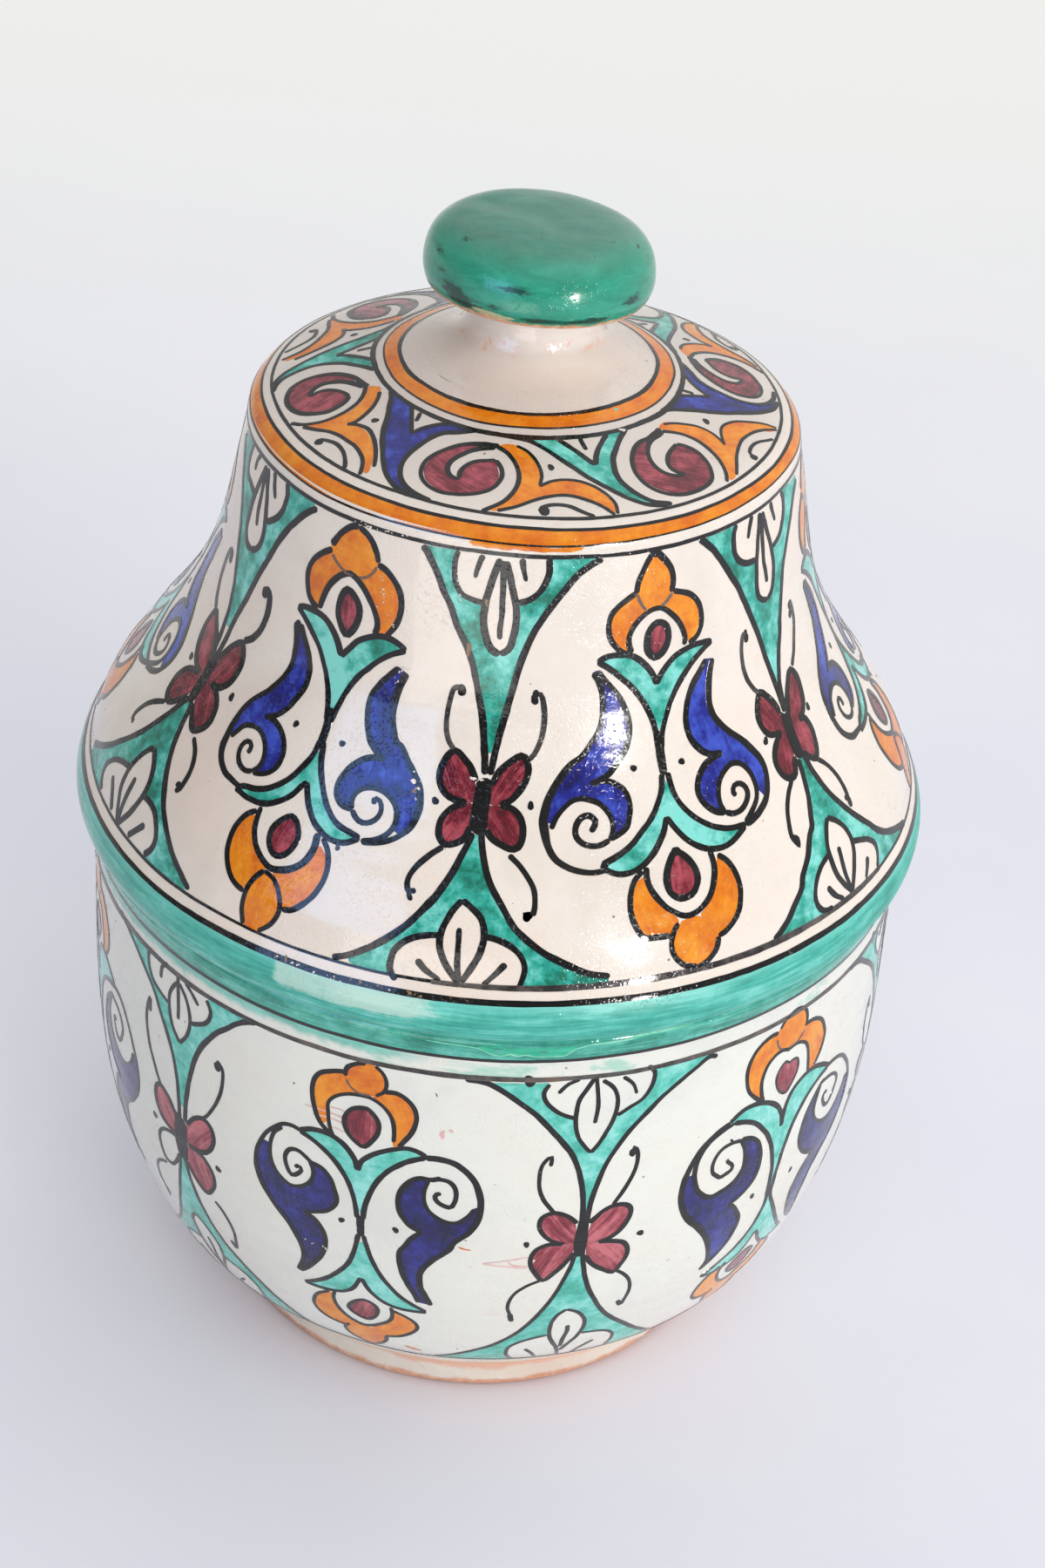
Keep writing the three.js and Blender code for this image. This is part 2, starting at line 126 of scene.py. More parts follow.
L 1.7 | -0.08,96.6 0.89,94.2 2.28,92 4.22,90 6.44,89 8.67,88.6 10.89,88.8 12.53,89.2
L 1.7 | -0.72,114 -0.83,110 -1.19,106.5 -2.03,103 -3.28,99.5 -4.94,96.2 -7.17,93 -9.39,90.2 -11.58,88.2
L 1.7 | 12.53,89.2 10.06,90.8 7.83,93 5.61,96 3.67,99.5 2.28,103 1.17,106.5 0.33,110 -0.08,114
L 2.6 | -0.44,109 -0.5,114 -0.44,113.1 -0.44,118.1 -0.35,120.9
L 1.7 | -0.74,120.3 -1.18,124.2 -2.21,127.6 -3.68,131.2 -5.59,134.2 -7.35,137 -9.41,139.2 -12.29,141.4
L 1.7 | 0.29,120.3 0.74,125.3 1.62,129.2 3.09,132.6 5,135.6 7.06,137.8 9.41,139.1 12.06,139.6
L 1.7 | -1.18,131.6 -2.06,135.3 -3.24,138.1 -4.71,140.9 -6.18,142.8 -8.24,144.2 -10,144.2 -12.29,142.3
L 1.7 | -1.18,131.6 0,135.3 1.47,138.7 3.24,141.2 5,142.6 7.06,143.1 9.12,142.3 11.76,139.8
L 2.2 | -12.29,140.9 -11.62,142.6
L 1.9>1.6>2.4>1.4 | -12.39,91 -11.47,93 -10.72,96.5 -10.5,100.5 -10.72,104 -11.33,106.5 -12.58,109.5 -14.39,113 -16.47,115.3 -18.24,118.7 -19.56,122 -20.44,125.3 -20.82,129.8 -20.29,135.3 -19.12,139.2 -17.35,141.4 -15.59,142.6 -13.53,143.2 -11.62,142.8
L 1.7 | -11.56,90.6 -10.08,93.5 -8.56,96 -7.31,98.5 -6.33,102 -5.78,105.5 -5.92,109 -6.61,112 -8.24,115.3 -9.85,118.1 -11.47,119.5 -13.18,120.3
L 1.6 | -13.18,120.3 -10.88,119.8 -8.97,120.9 -7.5,123.1 -6.91,126.4 -7.21,129.8 -7.94,132.6 -9.41,134.2 -10.74,135.1
L 1.5 | -19.71,131.4 -18.68,128.1 -17.5,125.9 -16.18,124.3 -14.71,123.9 -12.94,124.7 -11.47,126.2 -10.44,128.7 -10,131.4 -10.29,133.7 -10.82,135.1
L 1.7 | -10.74,135.1 -12.06,136.2 -13.38,136.4 -14.85,135.6 -15.88,133.7 -15.88,131.2 -15,128.9 -13.82,128.4 -12.79,129.8 -12.94,131.4 -13.68,132.6
L 1.9 | 11.03,93.6 9.22,96.5 7.42,99.5 6.17,103 5.47,106.5 5.33,110 5.75,113.5 6.47,115.3 7.79,117.6 9.71,119.2 11.32,119.3
L 2.0 | 12.5,94 11.44,98.5 11.03,102 10.75,105.5 11.17,109 12.28,112 14.12,115.3 15.88,118.1 17.35,121.2 18.53,124.2 19.06,128.1 18.53,132 17.35,135.3 15.59,137.6 13.82,138.9 12.06,139.8
L 1.9 | 11.32,119.3 9.41,119.8 7.35,121.2 5.88,123.7 5.15,126.4 5.29,129.2 6.18,131.7 7.65,133.9 9.06,134.5
L 1.7 | 8.97,134.5 8.53,132 8.68,129.2 9.41,126.4 10.88,124.2 12.65,123.1 14.12,123.7 15.29,125.6 16.03,128.7 16.03,132 15.29,134.8 13.82,137 12.06,139.2
L 1.7 | 8.97,134.5 10.29,135.6 11.76,135.6 13.24,134.2 14.12,132 13.82,129.8 12.94,128.7 11.91,128.9 11.47,130.6 12,131.2
L 1.7 | -5.74,143.4 -5.88,147 -5.29,150.3 -4.12,153.7 -2.65,156.2 -1.18,157.7 0.29,157.6 1.76,156.2 3.24,153.7 4.26,150.3 4.76,147 4.65,142.8
L 1.7 | -6.41,144.2 -7.79,146.4 -8.68,150.3 -8.88,154.2 -8.38,158.1 -7.35,161.2 -5.29,161.8 -3.68,162
L 1.7 | 5.74,144.5 7.06,147 7.88,150.9 7.94,154.8 7.21,159.2 6.03,162.3 4.41,164.5 3.24,165.2
L 1.7 | -2.35,159.2 -3.24,161.4 -3.68,164.8 -3.24,168.1 -2.06,170.6 -0.24,172
L 1.7 | 3.24,165.3 2.79,168.1 1.76,170.3 0.29,171.9 -0.29,172
D .85 | -5.59,117.6
D .85 | 3.24,118.4
= LS
F teal | -13.97,60.5 -7.94,60.3 | -7.94,60.3 -8.38,63 -8.24,66.3 -7.65,69.1 -6.47,71.3 -4.41,72.3 -2.21,72.8 | -2.21,72.8 -2,76.9 -1.62,80.2 -0.88,83.3 0.29,85.5 1.47,86.1 | 1.47,86.1 2.94,84.7 3.68,81.3 4.06,77.4 3.88,72.2 | 3.88,72.2 6.18,71.1 7.94,69.1 9.12,66.3 9.71,63 9.56,60.3 | 9.56,60.3 19.12,60.5 | 19.12,60.7 17.35,62.2 15,64.7 12.94,68 11.18,71.3 9.41,74.7 7.65,79.1 6.18,84.1 5.15,89.1 4.12,95.8 3.24,101.9 2.5,107.4 1.76,111.3 0.94,112.4 | 0.94,112.4 0.29,111.3 -0.15,108 -0.74,103 -1.62,98 -2.65,92.4 -3.82,87.4 -5.29,83.3 -6.76,79.7 -8.24,75.2 -9.85,71.6 -11.18,68 -12.5,64.9 -13.97,60.5
F teal | -0.24,134.1 0.74,133.8 1.18,137.1 1.62,140.4 2.35,144.3 3.24,147.7 4.71,152.1 6.18,156.6 8.24,160.4 10.59,163.8 13.24,166.6 15.88,169.1 18.53,170.7 | 18.53,172.1 7.65,172.2 | 7.5,171 7.88,167.7 7.5,164.9 6.18,162.1 4.41,160.4 2.5,159.6 | 2.5,159.3 1.91,155.2 0.59,152.7 -0.88,150.7 | -0.88,150.7 -2.06,153.8 -2.94,157.7 -3.35,160.4 | -3.38,160.3 -5.29,161 -7.35,162.7 -8.68,165.4 -9.18,168.2 -9.06,171.8 | -9.06,172.2 -14.41,172.1 | -14.71,170.4 -12.35,167.1 -10,163.2 -7.94,159.3 -6.18,154.9 -4.71,151 -3.53,147.1 -2.65,143.8 -1.91,140.4 -1.18,137.1 -0.24,134.1
F burg | -4.85,112.9 -6.18,115.2 -6.62,118.8 -6.24,122.1 -4.85,124.4 -2.35,125.4 -1.18,125.4 -0.94,121 -1.76,117.1 -3.24,114.3 -4.85,112.9
F burg | -2.35,126 -3.68,127.4 -4.94,129.3 -5.44,132.4 -5.15,135.4 -4.26,136.7 -2.65,136.3 -1.47,133.8 -1.03,129.9 -0.94,126 -2.35,126
F burg | 6.47,112.8 4.71,114.3 2.94,116.8 2,120.4 1.82,125.2 3.53,125.2 5,123.9 6.47,121.3 7.35,117.7 7.35,114.9 6.47,112.8
F burg | 1.76,126 3.53,126 5,126.3 6.18,127.7 6.91,130.4 6.91,133.8 6.18,136.3 5.29,136.6 3.82,135.4 2.35,133.8 1.76,131.6 1.76,126
F black | -0.59,120.2 0.29,119.1 1.47,119.3 1.76,122.7 1.62,127.1 1.47,132.1 0.59,133.8 -0.88,132.1 -0.94,127.1 -0.74,122.7 -0.59,120.2
L 1.9 | -15,60.5 -13.82,62.4 -12.5,64.9 -11.18,68 -9.85,71.6 -8.24,75.2 -6.76,79.7 -5.29,83.3 -3.82,87.4 -2.65,92.4 -1.62,98 -0.74,103 -0.15,108.6 0.29,113.6 0.59,118
L 1.9 | 20,60.5 17.35,62.2 15,64.7 12.94,68 11.18,71.3 9.41,74.7 7.65,79.1 6.18,84.1 5.15,89.1 4.12,95.8 3.24,101.9 2.5,107.4 1.91,112.4 1.41,118
L 1.6 | -7.94,60.1 -8.38,63 -8.24,66.3 -7.65,69.1 -6.47,71.3 -4.41,72.3 -2.21,72.8
L 1.7 | 9.56,59.9 9.71,63 9.12,66.3 7.94,69.1 6.18,71.1 3.88,72.1
L 2.0 | 0.29,60.8 -0.59,64.7 -1.32,68.6 -1.91,73 -2,76.9 -1.62,80.2 -0.88,83.3 0.29,85.5 1.47,86.1
L 2.0 | 1.47,61.3 2.35,65.2 3.09,69.1 3.82,73 4.06,77.4 3.68,81.3 2.94,84.7 1.47,86.1
L 1.9>1.4 | 0.94,61.3 1.12,65.8 1.24,71.3 1.32,75.8 1.12,79.7 1.24,82.2
L 1.7>1.1 | -3.09,60.3 -3.82,63.3 -4.26,66.6
L 1.7>1.1 | 4.41,60.3 4.85,63.3 5.44,66.2
L 1.5g | -5,96.3 -6.03,96.3 -6.62,99.7 -6.85,104.1 -6.62,108 -5.88,110.8 -4.94,112.4
L 2.2 | -5.44,95.8 -4.85,96.3 -4.71,98.3
L 1.5g | 7.79,96.6 9.12,96.3 9.94,100.2 10,104.7 9.41,109.1 8.38,112.4 7.35,113.8
L 2.4 | 7.79,96.3 8.97,96.1
L 2.0 | 8.09,96.3 8.38,99.1
L 1.9 | -0.74,119.9 -1.62,117.1 -3.09,114.3 -4.71,112.6 -6.03,114.9 -6.71,118.8 -6.32,122.1 -5,124.4 -3.53,125.3 -1.91,125.7
L 1.9 | -1.91,125.7 -3.53,126.9 -4.94,129.2 -5.59,132.2 -5.29,135.4 -4.41,137.1 -2.79,136.4 -1.62,134.9 -0.88,131.6
L 1.9 | 1.82,120.6 2.79,117.1 4.85,113.9 6.62,112.6 7.59,115.2 7.29,118.8 6.24,121.8 5,124.2 3.38,125.4
L 1.9 | 3.38,125.6 5,126.1 6.26,127.7 7,130.4 7,133.8 6.26,136.4 5.29,136.7 3.76,135.6 2.21,133.8 1.62,132.1
D .9 | -6.76,126.3
D .9 | 8.15,125.4
L 1.6 | -4.56,137.7 -6.18,140.2 -7.65,143.2 -8.53,146 -8.76,148.8 -8.29,150.6
L 1.6 | -7.35,149.9 -8.29,150.6 -7.79,152.7
L 1.6 | 5.15,138.2 6.47,140.4 7.94,143.8 8.82,147.1 8.97,151 8.68,153.8
L 2.0 | 8.68,153.9 7.79,153.5 8.09,155.2
L 2.0 | -0.44,133.2 -1.18,137.1 -1.91,140.4 -2.65,143.8 -3.53,147.1 -4.71,151 -6.18,154.9 -7.94,159.3 -10,163.2 -12.35,167.1 -14.71,170.2 -16.82,172.1
L 1.9 | 0.82,132.7 1.18,137.1 1.62,140.4 2.35,144.3 3.24,147.7 4.71,152.1 6.18,156.6 8.24,160.4 10.59,163.8 13.24,166.6 15.88,169.1 18.82,170.4
L 1.8 | -0.88,150.7 -2.06,153.8 -2.94,157.7 -3.29,161 -2.94,164.9 -2.06,168.2 -0.44,172.4
L 1.8 | -0.88,150.7 0.59,152.7 1.91,155.2 2.41,158.8 2.21,162.7 1.62,166 0,172.1
L 1.7 | -0.88,157.9 -0.82,162.1 -0.74,167.1 -0.35,172.4
L 1.7 | -3.29,160.3 -5.29,161 -7.35,162.7 -8.68,165.4 -9.18,168.2 -9.12,171.6 -8.24,174.1
L 1.7 | 2.41,159.5 4.41,160.4 6.18,162.1 7.5,164.9 7.88,167.7 7.5,171 7.21,172.7
L 2.0>1.3 | -5.94,167.6 -4.71,169.9 -2.65,172.4
L 2.0>1.3 | 5.44,166.4 4.41,168.8 2.65,172.5
= LR
F teal | -16.91,60.8 -7.5,60.5 | -7.5,60.5 -8.38,62.2 -8.68,65.2 -8.38,68.3 -7.06,70.8 -5,72.2 -2.21,72.8 | -2.21,72.8 -2.12,76.9 -2.12,80.8 -1.62,83.8 -0.29,85.2 1.18,85.8 | 1.18,85.8 2.79,84.4 3.82,81.3 4.26,77.4 4.06,72.6 | 4.41,72.6 5.88,72.2 7.65,71.1 9.41,68.6 10.59,65.8 10.74,62.4 10,60.2 | 10,60.3 19.41,61.3 | 19.41,62.7 17.06,65.2 14.71,68.6 12.35,72.4 10.29,75.8 8.53,79.7 7.35,83.6 6.32,88 5.29,92.4 4.12,98 2.65,103 1.62,107.4 0.44,109.7 | 0.29,109.7 -0.44,108 -1.03,103.6 -1.76,99.1 -2.65,94.1 -3.82,90.2 -5.29,85.2 -6.76,80.8 -8.24,76.9 -10.29,72.4 -12.06,68.6 -14.12,64.7 -16.91,60.8
F teal | -0.44,131.6 0.59,131.3 1.03,136 1.62,139.9 2.35,143.8 3.24,147.1 4.71,151.6 6.18,155.4 7.94,159.3 9.71,163.2 12.06,166.6 14.71,169.3 17.94,171.8 | 17.94,172.4 7.79,172.4 | 7.79,171 8.24,168.2 7.94,165.4 6.47,162.7 4.71,161 2.94,159.6 | 2.79,158.2 2.35,154.9 1.18,151.6 -0.44,149.3 | -0.44,149.3 -1.76,152.1 -2.65,155.4 -3,157.9 | -3.09,157.9 -5,159.3 -6.62,161.8 -7.5,164.9 -7.65,167.7 -7.06,170.4 -5.88,172.1 | -5.88,172.4 -15,172.4 | -13.53,168.8 -11.76,165.4 -10,162.1 -9.12,159.1 -7.06,154.9 -5.29,150.4 -4.12,148.5 -3.53,146 -2.5,142.1 -1.91,138.8 -1.47,135.4 -0.44,131.6
F burg | -4.85,109.6 -6.18,111.8 -6.76,115.2 -6.41,118.3 -5.29,120.7 -2.79,121.8 -1.47,121.8 -1.41,118.2 -2,114.6 -3.38,111.3 -4.85,109.6
F burg | 5.29,109.4 6.62,111.6 6.82,114.9 6.32,118.2 5,120.9 3.24,122 0.94,122.1 1.12,119.3 2,115.6 3.38,112 5.29,109.4
F burg | -2.65,122.4 -4.12,123.5 -5.44,125.4 -6.12,128.2 -5.97,131 -5.24,133.2 -4.12,134.2 -3.09,134.1 -2.21,131.6 -1.62,128.2 -1.47,124.9 -1.47,122.4 -2.65,122.4
F burg | 0.94,122.4 3.24,122.4 4.71,123.2 5.15,125.4 5.15,128.8 4.56,131.6 3.53,133.8 3.09,134.1 1.91,132.7 1.03,130.4 0.88,127.1 0.94,122.4
F black | -1.03,117.1 0,118.5 1.03,117.7 0.94,122.7 0.74,128.2 0.59,131 -0.59,131.3 -1.32,129.9 -1.41,123.8 -1.18,119.3 -1.03,117.1
F black | -8.97,147.1 -7.5,148.9 -7.94,151.8 -8.97,148.5 -8.97,147.1
L 2.0 | -17.79,60.1 -16.18,61.9 -14.12,64.7 -12.06,68.6 -10.29,72.4 -8.24,76.9 -6.76,80.8 -5.29,85.2 -3.82,90.2 -2.65,94.1 -1.76,99.1 -1.03,103.6 -0.44,108 0,112.4 0.15,118
L 1.9 | 19.71,62.4 17.06,65.2 14.71,68.6 12.35,72.4 10.29,75.8 8.53,79.7 7.35,83.6 6.32,88 5.29,92.4 4.12,98 2.65,103 1.62,107.4 0.88,111.3 0.44,118
L 1.8 | -7.5,60.3 -8.38,62.2 -8.68,65.2 -8.38,68.3 -7.06,70.8 -5,72.2 -2.21,72.7
L 1.8 | 10,60.1 10.74,62.4 10.59,65.8 9.41,68.6 7.65,71.1 5.88,72.2 4.35,72.6
L 1.8 | 0.35,60.8 -0.44,65.2 -1.18,69.1 -1.76,73 -2.06,76.9 -2.12,80.8 -1.62,83.8 -0.29,85.2 1.18,85.9
L 1.8 | 1.24,61.1 2.21,65.2 3.24,69.7 3.97,73.6 4.26,77.4 3.82,81.3 2.79,84.4 1.18,85.9
L 1.9>1.5 | 0.94,61.3 0.74,66.3 0.65,70.8 0.74,75.2 1.18,78.6 1.47,81.1
L 1.8>1.3 | -2.44,60.1 -3.53,63 -4.18,65.8
L 1.8>1.3 | 4.76,60.2 5.44,63.3 6.32,66.2
L 1.5g | -6.62,91.3 -7.21,91.6 -7.79,94.1 -8.03,98 -7.88,101.3 -7.21,104.7 -6.18,107.4 -5.24,109
L 2.6 | -7.06,91.3 -6.03,91.6
L 1.8 | -6.32,91.6 -6.41,94.1
L 1.6g | 9.71,91.6 10.44,94.1 10.53,97.4 9.71,101.3 8.24,105.2 6.32,108.8
L 2.6 | 9.71,91.6 9.56,94.1
L 1.8 | 9.56,94.1 8.97,96.4
L 2.0 | -1.18,117.4 -1.91,114.3 -3.29,111.3 -4.85,109.2 -6.18,111.6 -6.88,114.9 -6.59,118.3 -5.53,120.7 -3.82,121.8 -2.5,122.1
L 2.0 | -2.5,122.2 -4.12,123.4 -5.44,125.4 -6.18,128.2 -6.03,131 -5.29,133.2 -3.97,134.4 -2.94,133.8 -2.12,131.3 -1.53,129.9
L 2.0 | 0.94,119.1 1.91,115.4 3.24,112 5.15,109.2 6.62,111.3 6.97,114.3 6.53,117.7 5.59,120.2 4.65,121.7 3.09,122.2
L 2.0 | 3.09,122.3 4.71,123.1 5.21,125.4 5.21,128.8 4.62,131.6 3.53,133.9 3.09,134.2 1.91,132.8 0.74,130.4
D .95 | -6.76,121.8
D .95 | 6.82,121.4
L 1.6 | -4.26,134.6 -5.88,137.1 -7.35,140.4 -8.24,144.3 -8.68,147.7 -8.29,149.9
L 1.6 | 3.38,134.6 4.71,137.1 5.74,140.4 6.32,144.3 6.24,148.2 5.88,150.4
L 1.8 | 5.24,148.9 6.03,149.1 5.88,152
L 1.9 | -1.03,131 -1.47,135.4 -1.91,138.8 -2.5,142.1 -3.53,146 -4.12,148.5 -5.29,150.4 -7.06,154.9 -9.12,159.1 -10,162.1 -11.76,165.4 -13.53,168.8 -16.12,172.1
L 2.0 | 0.65,130.4 1.03,136 1.62,139.9 2.35,143.8 3.24,147.1 4.71,151.6 6.18,155.4 7.94,159.3 9.71,163.2 12.06,166.6 14.71,169.3 17.94,171.8 19.56,172.8
L 1.8 | -0.44,149.2 -1.76,152.1 -2.65,155.4 -2.88,159.3 -2.65,163.2 -1.76,167.1 0.15,172.2
L 1.8 | -0.44,149.2 1.18,151.6 2.35,154.9 2.79,158.2 2.5,161.6 1.76,165.4 0.24,171.8
L 1.8>1.4 | -0.59,157.9 -0.74,162.1 -0.59,166.6 0.15,172.1
L 1.7 | -2.94,157.8 -5,159.3 -6.62,161.8 -7.5,164.9 -7.65,167.7 -7.06,170.4 -5.88,172 -4.56,172.3
L 1.7 | 2.79,159.5 4.71,161 6.47,162.7 7.94,165.4 8.24,168.2 7.79,171 7.35,172.5
L 2.1>1.4 | -4.91,165.9 -3.82,169.1 -2,172.2
L 2.1>1.4 | 5.24,166.7 4.71,169.3 3.76,172.2
= LL
F teal | -17.41,61.3 -9.47,60.5 | -9.47,60.5 -10.21,63 -9.91,66.3 -8.88,68.6 -6.53,69.4 -3.65,70.6 | -3.65,70.6 -3.82,77.4 -3.59,80.8 -2.85,83 -1.53,84.2 -0.06,84.4 | -0.06,84.4 2,83 3.18,80.8 3.53,77.4 3.41,74.1 | 3.91,73.7 6.12,71.6 7.59,69.4 8.62,66.3 8.82,63 8.03,60.3 | 8.03,60.3 17.29,60.5 | 17.29,62 16.12,63.3 14.06,66.1 12,69.4 10.24,73 8.47,77.4 7,81.9 5.53,86.3 4.06,91.3 2.88,96.3 2,100.2 1.12,104.1 0.76,107.4 -0.35,108 | -0.35,108 -1.53,106.9 -1.97,104.7 -2.71,100.8 -3.59,95.8 -4.76,90.8 -5.94,86.3 -7.12,81.9 -8.88,76.9 -10.94,72.4 -13.29,68.6 -15.65,65.2 -17.41,63 -17.41,61.3
F teal | 0.24,132.1 1.12,131.8 1.71,136 2.29,139.9 3.18,143.8 4.94,149.3 6.71,153.8 8.76,158.2 11.12,162.1 13.47,166 15.82,168.8 17.59,171 | 17.59,172.2 8.32,172.2 | 8.18,172.1 9.21,169.3 9.41,166 8.76,163.2 7.29,160.4 5.53,159.3 3.47,159.1 | 3.32,157.7 2.74,153.8 1.41,150.4 -0.35,148.2 | -0.65,148.2 -1.82,151.6 -2.56,155.4 -2.88,157.7 | -3,157.7 -5.35,159.1 -7.41,161 -8.88,163.8 -9.62,166.6 -9.32,169.3 -8,171.8 | -8,172.1 -17.71,171.8 | -17.71,169.3 -16.53,168.2 -14.18,165.4 -11.53,161.6 -9.18,157.1 -7.12,152.7 -5.35,148.2 -3.88,143.2 -2.56,138.8 -1.53,134.9 0.24,132.1
F burg | -6.68,109.1 -7.65,112.1 -7.65,115.4 -6.82,118.8 -5.35,121.6 -3.29,123.3 -1.24,123.7 -0.71,121 -1.09,116.6 -2.41,113.5 -4.47,110.7 -6.68,109.1
F burg | 5.97,108.8 7.35,111.3 7.74,114.6 7.24,117.9 6.12,120.6 4.35,122.6 1.56,122.9 1.41,119.3 2.29,114.3 3.76,110.7 5.97,108.8
F burg | -0.65,124.1 -2.12,124.2 -4.18,125.3 -5.88,127.4 -6.76,130.4 -6.71,133.8 -5.88,136.1 -4.76,136.7 -2.71,134.3 -1.29,131 -0.71,127.1 -0.65,124.1
F burg | 1.41,123.1 2.88,123.1 4.79,123.9 6.35,126.1 7.15,129.3 6.91,132.7 5.88,134.8 4.65,135.8 2.94,133.8 1.76,131 1.35,127.1 1.41,123.1
F black | -0.94,115.4 0.09,116 1.12,115.7 1.35,122.7 1.26,128.2 0.82,131.6 -0.35,131.6 -0.71,127.1 -0.71,121.6 -0.94,115.4
L 1.8 | -18,62.7 -15.65,65.2 -13.29,68.6 -10.94,72.4 -8.88,76.9 -7.12,81.9 -5.94,86.3 -4.76,90.8 -3.59,95.8 -2.71,100.8 -1.97,105.8 -1.53,110.8 -1.09,115.8 -0.71,118
L 2.0 | 18.18,61.2 16.12,63.3 14.06,66.1 12,69.4 10.24,73 8.47,77.4 7,81.9 5.53,86.3 4.06,91.3 2.88,96.3 2,100.2 1.12,104.1 0.82,108.6 0.59,113 0.38,118
L 1.7 | -9.47,60.1 -10.21,63 -9.91,66.3 -8.88,68.6 -6.53,69.4 -3.65,70.6
L 1.9 | 8.03,59.8 8.82,63 8.62,66.3 7.59,69.4 6.12,71.6 3.82,73.7
L 2.0 | -0.88,60.8 -1.97,64.7 -3,69.1 -3.59,73.6 -3.82,77.4 -3.59,80.8 -2.85,83 -1.53,84.2 -0.06,84.4
L 2.0 | -0.12,60.8 1.12,65.2 2.29,69.7 3.18,73.6 3.53,77.4 3.18,80.8 2,83 -0.06,84.4
L 2.0>1.5 | -0.5,61.3 -0.65,66.3 -0.44,70.8 -0.21,74.1 0.29,77.3
L 1.6 | -4.47,59.8 -5.79,62.2 -5.85,65.1
L 2.0>1.5 | 2.88,60.1 3.76,63.6 5,66.4
L 1.8g | -8,90.8 -9.18,91.6 -10.06,94.7 -10.29,98.6 -9.76,102.4 -8.88,105.2 -6.97,108.1
L 2.2 | -8.59,91.1 -7.71,91.9 -7.85,94.4
L 2.3 | 7.88,90.2 9.35,90.8 10.09,94.1 9.94,98.6 9.21,102.4 7.88,105.2 5.97,107.3
L 2.6 | 7.88,89.9 8.12,93
L 2.0 | -0.59,117.1 -2.12,113.5 -4.32,110.7 -6.47,108.3 -7.65,111.6 -7.85,114.9 -7.21,118.3 -5.88,121.1 -3.82,123.3 -1.53,123.9
L 2.0 | -1.68,124.1 -4.18,125.2 -5.94,127.4 -6.88,130.4 -6.82,133.8 -5.94,136.4 -4.76,137 -2.65,134.4 -1.18,131.3
L 2.0 | 1.26,116.8 2.29,113.5 3.76,110.4 5.82,108.1 7.53,111 7.94,114.3 7.5,117.7 6.47,120.6 5,122.5 2.74,123.3
L 2.0 | 2.74,123.1 4.85,123.8 6.47,126 7.29,129.3 7.06,132.7 6.03,135 4.65,136.2 2.82,133.9 1.65,131.3
D 1.0 | -6.53,123.5
D 1.0 | 9.06,121.9
L 1.7 | -5.35,137.9 -7.12,139.9 -8.88,142.7 -10.06,146 -10.41,149.1 -9.91,150.4
L 1.8 | -9.91,150.6 -9.41,149.6
L 1.8 | 5.97,137.4 7.88,139.9 9.06,143.2 9.41,147.1 9.29,150.4 8.62,151.7
L 2.4 | 8.32,149.1 8.82,150.4
L 2.0 | -0.41,131 -1.53,134.9 -2.56,138.8 -3.88,143.2 -5.35,148.2 -7.12,152.7 -9.18,157.1 -11.53,161.6 -14.18,165.4 -16.53,168.2 -18,169.6
L 2.0 | 1.06,131 1.71,136 2.29,139.9 3.18,143.8 4.94,149.3 6.71,153.8 8.76,158.2 11.12,162.1 13.47,166 15.82,168.8 18.18,171.6
L 1.9 | -0.59,148.1 -1.82,151.6 -2.56,155.4 -2.85,159.3 -2.56,163.8 -1.68,167.7 0,172.9
L 1.9 | -0.41,148.1 1.41,150.4 2.74,153.8 3.32,157.7 3.03,161.6 2.15,166 0.09,172.4
L 1.9 | -0.21,157.9 -0.29,162.7 -0.35,167.7 -0.06,172.4
L 1.7 | -3,157.7 -5.35,159.1 -7.41,161 -8.88,163.8 -9.62,166.6 -9.32,169.3 -7.85,171.8
L 1.9 | 3.41,159.2 5.53,159.3 7.29,160.4 8.76,163.2 9.41,166 9.21,169.3 8.12,172.2
L 1.9 | -6,164.6 -4.47,167.7 -2.71,171.7
L 2.0 | 6.26,165.3 4.94,168.2 3.41,172
= JA
F ochre | 0.58,15.8 -1.22,17.3 -2.42,19.8 -2.47,22.6 -1.64,25.3 -0.39,26.7 1,26.6 2.25,25.3 3.08,22.8 2.94,19.2 1.97,17 0.58,15.8
F ochre | -2.47,21.2 -4.28,22.1 -5.81,23.9 -6.58,26.4 -6.78,30.3 -6.58,34.8 -6.08,38.1 -5.39,40.3 | -5.39,40.3 -4.97,39.2 -4.97,35.3 -4.69,32 -3.86,29.5 -2.33,27.8 -0.67,26.9 | -0.67,26.9 -1.78,25.1 -2.47,21.2
F ochre | 2.39,25.3 4.06,24.3 5.58,25.3 6.69,28.1 7.03,32 6.61,35.9 5.86,39.2 5.44,42.3 | 5.44,42.6 4.61,42.6 4.42,40.3 | 4.42,40.3 4.47,37 4.06,33.4 3.22,30.6 1.97,28.1 | 1.97,28.1 1.56,26.7 2.39,25.3
F burg | 0.17,31.3 -1.22,32.4 -2.14,34.9 -2.42,37.3 -1.86,40.9 -0.67,43.7 0.44,44.8 1.56,42 2.33,38.7 2.33,35.3 1.56,32.7 0.72,31.3 0.17,31.3
L 1.6c | 0.17,31.3 -1.22,32.4 -2.14,34.9 -2.42,37.3 -1.86,40.9 -0.67,43.7 0.44,44.8 1.56,42 2.33,38.7 2.33,35.3 1.56,32.7 0.72,31.3 0.17,31.3
